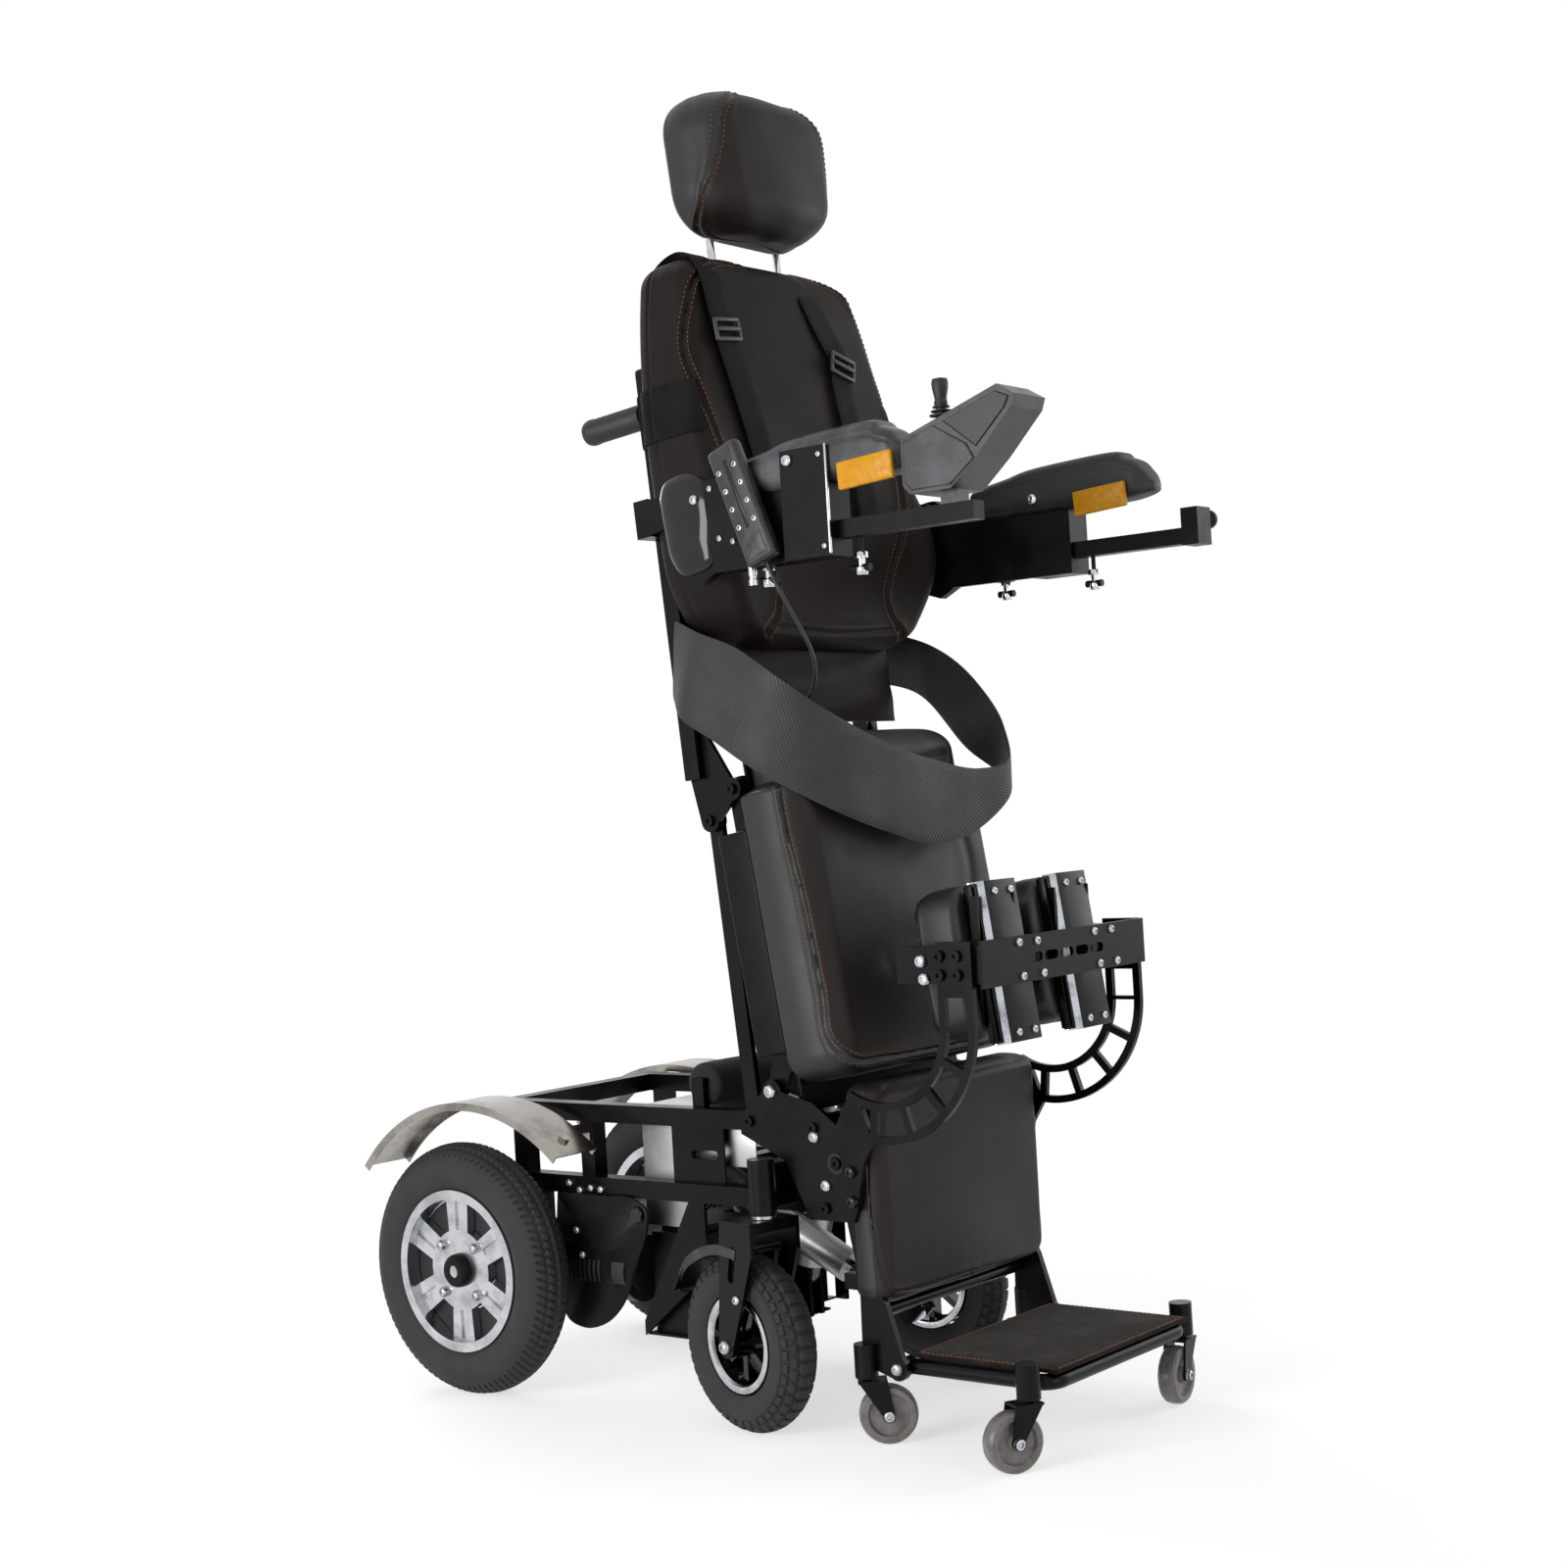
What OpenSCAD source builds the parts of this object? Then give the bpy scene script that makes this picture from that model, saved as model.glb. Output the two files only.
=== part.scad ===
// Standing power wheelchair in its raised pose, built as an assembly.
// Millimetres. Floor at z = 0, front towards -y, user's right towards -x.

/* [Rear wheels] */
// outside radius of rear tyre
wheel_r = 178; // [150:1:200]
// rear axle distance behind middle of chair
axle_y = 435; // [400:1:470]
// half of rear track, wheel centre to chair centre
track_half = 222; // [205:1:260]
// rear tyre's round section radius
tyre_sec = 37; // [28:0.5:45]
// wall of tyre casing
tyre_wall = 7; // [4:0.5:10]
// rear rim at its lips radius
lip_r = 114.5; // [95:0.5:130]
// rim barrel that carries beads radius
barrel_r = 106; // [90:0.5:120]
// rim between its lips half width
rim_half = 31; // [24:0.5:40]
// wall of rims, lips and barrel
rim_wall = 4.5; // [3:0.5:8]
// radius of rear hub disc that carries lug bolts
hub_r = 57; // [50:1:64]
// spoke at hub width
spoke_in_w = 30; // [20:1:40]
// spoke at barrel width
spoke_out_w = 44; // [30:1:60]
// spokes along axle depth
spoke_t = 14; // [8:1:24]
// how far spoke face sits inside lip
spoke_inset = 9; // [4:1:20]
// groove pressed in each spoke width
groove_w = 9; // [4:0.5:14]
// tread and spoke grooves depth
groove_d = 3; // [1:0.5:5]
// round hub cap radius
hub_cap_r = 22; // [16:1:30]
// how far hub cap stands out
hub_cap_h = 13; // [6:1:24]
// wheel lug bolts' circle radius
lug_circle_r = 47; // [38:1:56]
// lug bolt head radius
lug_r = 6.5; // [4:0.5:9]
// number of spokes in rear rim
spoke_count = 6; // [5:1:8]
// number of wheel lug bolts
lug_count = 4; // [4:1:6]
// rear axle radius
axle_r = 8.5; // [6:0.5:12]

/* [Front casters] */
// outside radius of caster tyre
caster_r = 117; // [95:1:130]
// caster tyre's round section radius
cast_sec = 30; // [22:0.5:36]
// caster rim at its lips radius
clip_r = 62; // [50:0.5:72]
// caster rim half width
cast_half = 22; // [16:0.5:30]
// caster spoke width
cspoke_w = 9; // [5:0.5:14]
// number of caster spokes
cspokes = 7; // [5:1:9]
// caster hub radius
chub_r = 17; // [12:0.5:24]
// caster stem distance from chair centre
stem_x = 212; // [190:1:240]
// caster stem distance from middle of chair
stem_y = -106; // [-140:1:-70]
// distance from stem axis back to wheel axle
trail = 42; // [25:1:60]
// caster stem pin radius
stem_r = 10; // [8:0.5:14]
// outside radius of stem housing
house_r = 18; // [14:0.5:24]
// lower end of stem housing height
house_z = 287; // [260:1:310]
// stem housing length
house_h = 71; // [50:1:90]
// caster fork plates thickness
fork_t = 6; // [4:0.5:9]
// inside width of caster fork
fork_gap = 70; // [60:1:84]
// fork leg at crown width
fork_leg_w = 62; // [40:1:80]
// fork leg's end around axle radius
fork_end_r = 15; // [10:0.5:22]
// fork crown height
crown_t = 14; // [8:1:24]
// caster axle radius
caxle_r = 6; // [4:0.5:9]
// gap between caster tyre and its mudguard
guard_gap = 9; // [5:1:16]
// sheet metal mudguards thickness
guard_t = 2; // [1:0.5:4]
// turn of right caster from straight ahead
caster_turn_r = -12; // [-45:1:45]
// turn of left caster from straight ahead
caster_turn_l = 6; // [-45:1:45]

/* [Footplate casters] */
// footplate caster wheel radius
small_r = 37.5; // [25:0.5:50]
// footplate caster wheel width
small_w = 24; // [16:1:32]
// distance of footplate caster stems from centre
foot_stem_x = 184; // [160:1:200]
// rear footplate caster stems, forward of middle
heel_stem_y = -237; // [-270:1:-210]
// front footplate caster stems, forward of middle
toe_stem_y = -480; // [-510:1:-440]
// lower end of caster sockets height
sock_z = 85; // [78:0.5:100]
// caster sockets length
sock_h = 42; // [30:1:60]
// outside radius of caster sockets
sock_r = 15; // [12:0.5:20]
// footplate caster stem pin radius
foot_stem_r = 6; // [4:0.5:8]
// offset from stem to wheel axle
foot_trail = 25; // [15:1:35]
// small fork plates thickness
sheet_t = 3; // [2:0.5:5]
// small caster axle radius
foot_axle_r = 4; // [3:0.5:6]
// turn of right rear footplate caster
turn_rr = -141; // [-180:1:180]
// turn of left rear footplate caster
turn_lr = -20; // [-180:1:180]
// turn of right front footplate caster
turn_rf = 62; // [-180:1:180]
// turn of left front footplate caster
turn_lf = 97; // [-180:1:180]

/* [Base frame] */
// side of square frame tube
tube = 25; // [20:1:30]
// distance of side frames from centre
frame_x = 150; // [130:1:170]
// top of upper rails
top_z = 410; // [390:1:430]
// top of lower rails
low_z = 308; // [290:1:330]
// rear end of upper rails
end_y = 425; // [400:1:440]
// rear end of lower rails
low_end_y = 395; // [360:1:410]
// place of upper front cross tube
up_y = -179; // [-200:1:-160]
// place of lower front cross tube
low_y = -192; // [-210:1:-175]
// place of middle upright
post_y = 250; // [220:1:290]
// rear edge of side panel
panel_rear_y = 100; // [80:1:130]
// side panel length
panel_l = 92; // [60:1:120]
// plates thickness
plate_t = 3; // [2:0.5:5]
// oblong slot in side panel half width
slot_r = 6; // [4:0.5:9]
// distance between slot's end centres
slot_l = 18; // [10:1:30]
// place of middle cross tube
mid_y = 150; // [130:1:170]
// side of battery strut bar
strut_w = 20; // [14:1:26]
// place of padded seat rest
roller_y = 50; // [35:1:65]
// padded seat rest radius
roller_r = 29; // [22:0.5:34]
// half length of padded seat rest
roller_half = 138; // [110:1:142]
// steel bar in seat rest radius
roller_bar_r = 9; // [6:0.5:12]

/* [Battery and drive] */
// battery box half width
batt_half = 136; // [110:1:145]
// front face of battery box
batt_y = 68; // [60:1:90]
// battery box depth
batt_d = 100; // [80:1:120]
// underside of battery tray
tray_z = 92; // [80:1:110]
// battery box height
batt_h = 148; // [120:1:152]
// battery box corners radius
batt_round = 10; // [5:1:16]
// drive motor radius
motor_r = 46; // [38:1:52]
// distance of motor from centre
motor_x = 126; // [115:1:130]
// front end of drive motor
motor_y = 186; // [178:1:200]
// gearbox radius
gear_r = 56; // [48:1:64]
// gearbox along axle depth
gear_w = 52; // [44:1:60]
// gap between gearbox and tyre
gear_gap = 5; // [3:0.5:8]
// cooling ribs on motor height
motor_rib = 3; // [1:0.5:5]
// number of cooling ribs
motor_ribs = 7; // [4:1:12]

/* [Fenders] */
// inside radius of rear fender
fend_in = 274; // [250:1:290]
// fender centre, forward of axle
fend_dy = 40; // [20:1:50]
// fender centre below axle
fend_dz = 35; // [20:1:50]
// rear fender half width
fend_half = 40; // [36:1:44]
// rolled fender edge depth
fend_lip = 9; // [5:1:14]
// rear end of fender above level angle
fend_rear = 40; // [39:1:60]
// front end of fender above level angle
fend_front = 131; // [126:1:135]

/* [Pivots] */
// knee pivot height
knee_z = 442; // [430:1:455]
// knee pivot, forward of middle
knee_y = -113; // [-125:1:-100]
// leg rest pivot, forward of middle
leg_y = -214; // [-225:1:-205]
// leg rest pivot height
leg_z = 354; // [345:1:365]
// lower link pivot behind knee pivot
link_dy = 40; // [34:1:46]
// lower link pivot below knee pivot
link_dz = 40; // [34:1:46]
// pivot pin radius
pin_r = 6; // [5:0.5:8]
// leg rest pin radius
leg_pin_r = 8; // [6:0.5:10]
// radial running clearance of pins in bores
run_clear = 0.06; // [0.02:0.01:0.1]
// inner face of pivot plates from centre
plate_x = 184; // [180:1:190]
// pivot plates thickness
pivot_t = 7; // [5:0.5:10]
// inner face of lugs that turn on pins
lug_x = 172; // [168:1:176]
// lugs that turn on pins thickness
lug_t = 9; // [6:0.5:11]
// round lug ends radius
eye_r = 15; // [12:0.5:18]
// bolt heads radius
bolt_r = 7.5; // [5:0.5:10]
// bolt heads height
bolt_h = 5; // [3:0.5:8]
// hex socket holes in bolt heads radius
bolt_hex_r = 3.2; // [2:0.1:5]

/* [Seat] */
// raised seat from upright lean
seat_lean = 9; // [6:0.5:14]
// knee pivot to hip hinge along seat
seat_reach = 395; // [370:1:420]
// hip hinge in front of knee pivot's line
hip_v = 24.5; // [20:0.5:30]
// distance of seat tubes from centre
st_x = 170; // [165:1:172]
// lower end of seat tubes above knee pivot
st_start = 30; // [24:1:40]
// seat board thickness
board_t = 4; // [3:0.5:8]
// seat cushion half width
seat_half_w = 205; // [190:1:220]
// lower edge of seat cushion above knee pivot
cushion_start = 22; // [18:1:30]
// seat cushion length
cushion_l = 430; // [400:1:450]
// seat cushion thickness
cushion_t = 100; // [70:1:115]
// crown of cushion faces
crown = 10; // [4:1:18]
// gap that keeps soft pieces clear of moving neighbours
soft_gap = 0.4; // [0.3:0.1:2]

/* [Back] */
// back from upright lean
back_lean = 5; // [2:0.5:10]
// distance of back tubes from centre
bt_x = 190; // [182:1:196]
// rear of hip hinge to middle of back tubes
bt_set = 55; // [50:1:60]
// lower end of back tubes above hip hinge
bt_start = 20; // [16:1:30]
// back tubes length
bt_l = 545; // [500:1:580]
// rear face of back cushion behind hip hinge
back_rear = 38; // [34:1:42]
// back cushion thickness
back_t = 92; // [70:1:110]
// lower edge of back cushion above hip hinge
back_start = 190; // [170:1:210]
// back cushion height
back_l = 530; // [480:1:560]
// back cushion at its widest half width
back_half_w = 228; // [205:1:231]
// back cushion at its top half width
back_top_half = 150; // [130:1:175]
// back cushion at its foot half width
back_foot_half = 168; // [150:1:190]
// forward swell of side bolsters
bolster = 26; // [10:1:40]
// push handle grips length
grip_l = 105; // [80:1:130]
// push handle grips radius
grip_r = 15; // [12:0.5:18]
// push handle below top of back tube
grip_drop = 52; // [40:1:80]

/* [Headrest] */
// distance of headrest posts from centre
post_x = 72; // [60:1:80]
// headrest posts radius
post_r = 6; // [5:0.5:8]
// gap between back and headrest
head_gap = 35; // [25:1:55]
// headrest height
head_h = 212; // [180:1:230]
// headrest half width
head_half_w = 124; // [105:1:140]
// headrest thickness
head_t = 92; // [70:1:105]
// post inside back length
post_l = 190; // [170:1:210]
// posts in front of back tubes' middle
post_set = 18; // [14:1:24]

/* [Arms] */
// arm hinge, forward of middle
arm_y = -86; // [-100:1:-80]
// arm hinge above hip hinge
arm_rise = 369; // [355:1:385]
// inner face of arm plate from centre
arm_x = 250; // [240:1:262]
// arm plate thickness
arm_t = 8; // [5:0.5:10]
// front end of arm plate
arm_end_y = -340; // [-360:1:-320]
// lower edge of arm plate from arm hinge
arm_low_dz = -97; // [-110:1:-85]
// upper edge of arm plate from arm hinge
arm_top_dz = -9; // [-20:1:-8]
// inner face of arm pads
pad_in_x = 228; // [226:1:235]
// arm pads width
pad_w = 64; // [60:1:80]
// rear end of arm pads
pad_y = -186; // [-200:1:-170]
// arm pads length
pad_l = 290; // [260:1:310]
// underside of arm pads from arm hinge
pad_dz = -9; // [-15:1:0]
// arm pads thickness
pad_t = 70; // [50:1:80]
// side of arm bars
bar_side = 22; // [16:1:26]
// middle of arm bars from arm hinge
bar_dz = -65; // [-75:1:-55]
// front end of arm bars
bar_y = -540; // [-560:1:-520]
// handset clear of right arm pad
handset_gap = 1; // [0.5:0.5:4]
// joystick module width
module_w = 66; // [56:1:70]
// rear face of joystick module
module_y = -452; // [-460:1:-445]
// underside of joystick module from arm hinge
module_dz = -39; // [-45:1:-33]
// joystick module's rear face height
tail_h = 56; // [48:1:60]
// step from underside up to rear face
chin = 10; // [6:1:14]
// rise of module's top towards its nose
mod_rise = 44; // [36:1:50]
// nose beyond top length
nose_l = 23; // [18:1:30]
// blunt nose height
nose_h = 14; // [10:1:20]
// rear face to front of flat underside
flat_l = 68; // [60:1:76]
// rear face to bend under nose
bend_l = 108; // [100:1:116]
// bend above underside height
bend_h = 34; // [28:1:40]
// joystick's ball base radius
ball_r = 16; // [13:0.5:18]
// joystick knob radius
stick_r = 10; // [7:0.5:14]
// joystick pivot, forward of middle
stick_y = -490; // [-500:1:-480]
// joystick pivot from arm hinge
stick_dz = 31; // [25:1:40]
// joystick above its pivot height
stick_h = 66; // [50:1:80]
// handset length
handset_l = 158; // [140:1:175]
// handset width
handset_w = 50; // [42:1:58]
// handset depth
handset_d = 19; // [16:1:26]
// handset from upright lean
hand_lean = 20; // [10:1:30]
// handset cable radius
cable_r = 2.5; // [2:0.1:3.5]

/* [Legs] */
// inner face of leg arms from centre
leg_x = 171; // [168:1:174]
// leg arms width
leg_w = 26; // [20:1:32]
// footplate hinge, forward of middle
fold_y = -283; // [-295:1:-275]
// footplate hinge height
fold_z = 98; // [92:1:104]
// top of footplate tubes
foot_top_z = 110; // [104:1:118]
// front of footplate tubes
toe_y = -506; // [-520:1:-490]
// footplate tubes half width
foot_half = 158; // [150:1:160]
// footplate tubes radius
ftube_r = 10; // [8:0.5:13]
// foot mat thickness
mat_t = 5; // [3:0.5:8]
// calf pad half width
calf_half = 160; // [140:1:165]
// lower edge of calf pad
calf_low_z = 176; // [165:1:190]
// calf pad height
calf_h = 278; // [250:1:284]
// rear face of calf pad
calf_y = -222; // [-230:1:-218]
// calf pad thickness
calf_t = 46; // [36:1:54]

/* [Knee support] */
// inner face of arch plates from centre
arch_x = 191; // [188:1:195]
// arch plates thickness
arch_t = 8; // [5:0.5:10]
// middle of arch ring, forward of middle
arch_y = -295; // [-305:1:-285]
// middle of arch ring height
arch_z = 530; // [520:1:540]
// outside radius of arch ring
arch_r = 148; // [135:1:160]
// inside radius of arch ring
arch_in_r = 96; // [85:1:110]
// arch's rims and ribs width
arch_rib = 10; // [6:0.5:14]
// cells cut in arch ring
arch_cells = 5; // [3:1:8]
// lower edge of knee cross bar
kbar_z = 576; // [565:1:585]
// knee cross bar height
kbar_h = 58; // [45:1:70]
// front face of knee cross bar
kbar_y = -454; // [-465:1:-445]
// knee cross bar thickness
kbar_t = 4; // [3:0.5:6]
// adjuster blocks depth
block_d = 128; // [110:1:140]
// adjuster blocks height
block_h = 46; // [36:1:54]
// inner face of adjuster blocks
block_x = 171; // [165:1:175]
// distance of knee pads from centre
kpad_x = 88; // [80:1:96]
// knee pad half width
kpad_half = 66; // [55:1:75]
// knee pad height
kpad_h = 190; // [160:1:210]
// knee pad thickness
kpad_t = 52; // [40:1:64]
// plate behind knee pad half width
kplate_half = 42; // [34:1:50]
// front face of knee pads
kpad_y = -398; // [-410:1:-390]

/* [Actuators] */
// distance of actuators from centre
act_x = 48; // [42:1:56]
// actuator tube radius
act_r = 22; // [18:0.5:26]
// actuator rod radius
act_rod_r = 10; // [8:0.5:12]
// lift actuator tube length
lift_tube_l = 234; // [220:1:240]
// lift actuator foot, behind middle
lift_y = 38; // [30:1:44]
// lift actuator foot height
lift_z = 150; // [142:1:160]
// lift lug along seat from knee pivot
lift_lug_u = 92; // [86:1:98]
// lift lug behind knee pivot's line
lift_lug_v = 20; // [16:1:24]
// leg actuator tube length
leg_tube_l = 240; // [225:1:255]
// leg actuator foot, behind middle
lega_y = 118; // [110:1:124]
// leg actuator foot height
lega_z = 300; // [294:1:306]
// leg actuator eye, forward of middle
leg_eye_y = -216; // [-222:1:-210]
// leg actuator eye height
leg_eye_z = 140; // [132:1:150]
// actuator eye half width
eye_half = 8; // [6:0.5:11]
// side gap between actuator eye and its lugs
eye_gap = 0.6; // [0.4:0.1:1]

/* [Belts] */
// webbing thickness
web_t = 2.5; // [1.5:0.1:4]
// shoulder straps width
strap_w = 38; // [30:1:50]

/* [Details] */
// one millimetre of soft strap's or cable's route
route_unit = 1; // [0.8:0.01:1.2]
// foot of knee arch on pivot plate
arch_end_y = -236; // [-242:1:-230]
// bend of leg arm
bend_y = -244; // [-250:1:-238]
// bend of leg arm height
bend_z = 204; // [190:1:215]
// back links width
link_w = 22; // [18:1:26]
// inner face of arm bracket
arm_in_x = 232; // [230:0.5:236]
// lower edge of hip panel above hip pivot
hip_low = 84; // [80:1:95]
// hip panel half width
hip_half = 165; // [140:1:168]
// distance of hip panel in front of hip pivot
hip_set = 16; // [12:1:24]
// hip panel thickness
hip_t = 14; // [10:1:18]
// gap between strap and cushion
strap_gap = 3; // [2:0.5:5]
// shoulder straps clear of post guides
strap_set = 10; // [4:1:14]
// chest band at each side length
band_l = 112; // [90:1:120]
// chest band above hip pivot height
band_z = 500; // [470:1:520]
// moulded arm cover thickness
cover_t = 14; // [10:1:18]
// box at front of arm plate length
box_l = 70; // [60:1:80]
// middle of handset along chair
handset_y = -217; // [-225:1:-210]
// middle of handset from arm hinge
handset_dz = -20; // [-30:1:-10]
// handset's keys height
key_h = 2; // [1:0.5:3]
// ball knob radius
knob_r = 13; // [10:0.5:15]
// step between ribs of joystick boot
boot_step = 5; // [4:0.5:6]
// bore in actuator tube depth
act_bore = 195; // [190:1:200]
// lift actuator's rod length
lift_rod_l = 217; // [210:1:220]
// leg actuator's rod length
leg_rod_l = 215; // [205:1:225]
// start angle of caster mudguard above rear
guard_low_a = 28; // [20:1:40]
// end angle of caster mudguard
guard_high_a = 106; // [100:1:115]
// slot in caster leg lean
fork_slot_a = 12; // [5:1:20]
// angle of fender bolt back from its front end
fender_bolt_a = 6; // [4:0.5:10]
// share of housing's radius its web is wide
web_share = 0.75; // [0.6:0.05:0.9]
// share of panel where its slot sits
slot_share = 0.62; // [0.5:0.01:0.7]
// share of motor's radius its end cap has
end_cap_share = 0.7; // [0.6:0.05:0.8]
// share of knee pad's height its plate reaches each way
plate_share = 0.42; // [0.36:0.01:0.46]
// share of tyre section where tread grooves run
tread_share = 0.36; // [0.3:0.01:0.45]
// share of socket's radius fork reaches forward
nose_share = 0.8; // [0.6:0.05:0.95]
// share of calf pad its plate is wide
calf_share = 0.92; // [0.85:0.01:0.95]
// share of seat cushion its board is wide
board_share = 0.93; // [0.88:0.01:0.95]
// share of grip's radius its core has
core_share = 0.66; // [0.5:0.02:0.8]
// share of arm pad side skin covers
skin_share = 0.66; // [0.5:0.02:0.8]
// share of actuator's radius its gear head has
head_share = 1.15; // [1.05:0.05:1.3]

// bend radius of footplate tube
fbend_r = 24; // [18:1:32]

/* [Hidden] */
$fn = 96;
link_y = knee_y + link_dy;
link_z = knee_z - link_dz;
hip_y = knee_y + seat_reach*sin(seat_lean) - hip_v*cos(seat_lean);
hip_z = knee_z + seat_reach*cos(seat_lean) + hip_v*sin(seat_lean);
pin_bore_r = pin_r + run_clear;
leg_bore_r = leg_pin_r + run_clear;
stem_bore_r = stem_r + run_clear;
foot_bore_r = foot_stem_r + run_clear;
half_length = axle_y + wheel_r;
tray_top = tray_z + plate_t;
fork_top_z = house_z - 2*plate_t;
foot_crown_z = sock_z - sheet_t;
gear_out_x = track_half - tyre_sec - gear_gap;
link_lean = atan((hip_y - knee_y)/(hip_z - knee_z));
link_l = norm([hip_y - knee_y, hip_z - knee_z]);
q_y = link_dy*cos(back_lean) + link_dz*sin(back_lean);
q_z = link_dy*sin(back_lean) - link_dz*cos(back_lean);
roller_z = top_z + roller_r + soft_gap;
board_v = hip_v + tube/2;
cushion_v = board_v + board_t;
lift_eye_y = knee_y + lift_lug_u*sin(seat_lean) + lift_lug_v*cos(seat_lean);
lift_eye_z = knee_z + lift_lug_u*cos(seat_lean) - lift_lug_v*sin(seat_lean);
lift_l = norm([lift_eye_y - lift_y, lift_eye_z - lift_z]);
lift_a = atan2(lift_y - lift_eye_y, lift_eye_z - lift_z);
leg_l = norm([leg_eye_y - lega_y, leg_eye_z - lega_z]);
leg_a = atan2(lega_y - leg_eye_y, leg_eye_z - lega_z);
arm_z = hip_z + arm_rise;
pad_z = arm_z + pad_dz;
arm_low_z = arm_z + arm_low_dz;
arm_top_z = arm_z + arm_top_dz;
bar_z = arm_z + bar_dz;
module_z = arm_z + module_dz;
stick_z = arm_z + stick_dz;
handset_z = arm_z + handset_dz;
arm_pin_y = (arm_y - hip_y)*cos(back_lean) - (arm_z - hip_z)*sin(back_lean);
arm_pin_z = (arm_y - hip_y)*sin(back_lean) + (arm_z - hip_z)*cos(back_lean);
kmid_z = kbar_z + kbar_h/2;
bar_x = arm_x + arm_t + bar_side/2;
half_width = pad_in_x + pad_w + handset_gap + handset_d;
head_start = back_start + back_l + head_gap;
strap_x = post_x + post_r + plate_t + strap_w/2 + strap_set;
seat_in_x = bt_x - tube/2 - strap_gap;
notch_u = seat_reach - 3*eye_r;
stick_x = -(pad_in_x + module_w/2);
box_w = pad_in_x + pad_w + soft_gap + plate_t - arm_x - arm_t;

// piece to draw, or all of them

// moved along chair and up
module at(y, z) translate([0, y, z]) children();
// round bar along x
module rod_x(r, x0, x1) translate([x0, 0, 0]) rotate([0, 90, 0]) cylinder(r = r, h = x1 - x0);
// round bar along y
module rod_y(r, y0, y1) at(y1, 0) rotate([90, 0, 0]) cylinder(r = r, h = y1 - y0);
// round bar along z
module rod_z(r, z0, z1) at(0, z0) cylinder(r = r, h = z1 - z0);
// box between two corners
module block(x0, x1, y0, y1, z0, z1) translate([x0, y0, z0]) cube([x1 - x0, y1 - y0, z1 - z0]);
// outline in y and z, given thickness along x
module slab_x(x0, x1) translate([x0, 0, 0]) rotate([90, 0, 90]) linear_extrude(height = x1 - x0) children();
// round outline with round hole
module eye2d(r, hole) difference() {
  circle(r = r);
  circle(r = hole);
}
// button head with hex socket, facing +x
module bolt_x(x0) difference() {
  rod_x(bolt_r, x0, x0 + bolt_h);
  rod_x(bolt_hex_r, x0 + bolt_h/2, x0 + bolt_h + board_t, $fn = 6);
}
// seat coordinates: z along seat, -y towards rider
module seat_place() at(knee_y, knee_z) rotate([-seat_lean, 0, 0]) children();
// back coordinates: z up back, -y towards rider
module back_place() at(hip_y, hip_z) rotate([-back_lean, 0, 0]) children();
// copy for user's right
module right() mirror([1, 0, 0]) children();
// both sides at once
module both() {
  children();
  right() children();
}

// closed skin through equal rings of points, counter-clockwise from above
module loft(rings) {
  m = len(rings);
  n = len(rings[0]);
  low = [for (c = [0:2]) [for (p = rings[0]) p[c]]*[for (p = rings[0]) 1]/n];
  top = [for (c = [0:2]) [for (p = rings[m - 1]) p[c]]*[for (p = rings[0]) 1]/n];
  polyhedron(
    points = concat([for (r = rings) each r], [low, top]),
    faces = concat(
      [for (k = [0:m - 2], i = [0:n - 1]) [k*n + i, (k + 1)*n + i, (k + 1)*n + (i + 1) % n]],
      [for (k = [0:m - 2], i = [0:n - 1]) [k*n + i, (k + 1)*n + (i + 1) % n, k*n + (i + 1) % n]],
      [for (i = [0:n - 1]) [m*n, i, (i + 1) % n]],
      [for (i = [0:n - 1]) [m*n + 1, (m - 1)*n + (i + 1) % n, (m - 1)*n + i]]));
}
// shares of half width where cushion's front is drawn
face_shares = [-1, -0.985, -0.94, -0.86, -0.8, -0.76, -0.72, -0.6, -0.4, -0.2, 0,
  0.2, 0.4, 0.6, 0.72, 0.76, 0.8, 0.86, 0.94, 0.985, 1];
// shares of half width along cushion's rear
rear_shares = [0.97, 0.6, 0, -0.6, -0.97];
// share of half width where seam is sewn
seam_share = 0.76;
// share of length over which ends are rounded
end_share = 0.1;
// share of half width that sides draw in
waist_share = 0.025;
// sewn seam depth
seam_d = 4;
// fall of cushion's face towards its end, 0 in middle to 1
function end_fall(f) = let (e = max(0, abs(2*f - 1) - (1 - 2*end_share))/(2*end_share)) e*e;
// face height at share of half width: crown, rounded edge and seam
function face_out(a, crown_h, edge) = crown_h*(1 - a*a)
  - edge*pow(max(0, (abs(a) - 0.8)/0.2), 3)
  - seam_d*exp(-pow((abs(a) - seam_share)/0.03, 2));
// one ring of cushion, its rear at y_rear and its face at -y
function pad_ring(w, y_rear, t, z, crown_h, edge, swell) = concat(
  [for (a = face_shares) [w*a, y_rear - t - face_out(a, crown_h, edge) - swell*pow(abs(a), 4), z]],
  [[w*(1 - waist_share), y_rear - t*0.35, z], [w, y_rear - t*0.12, z]],
  [for (a = rear_shares) [w*a, y_rear, z]],
  [[-w, y_rear - t*0.12, z], [-w*(1 - waist_share), y_rear - t*0.35, z]]);
// width share at rounded ends
function end_w(f) = 1 - 0.1*pow(end_fall(f), 2);

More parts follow.
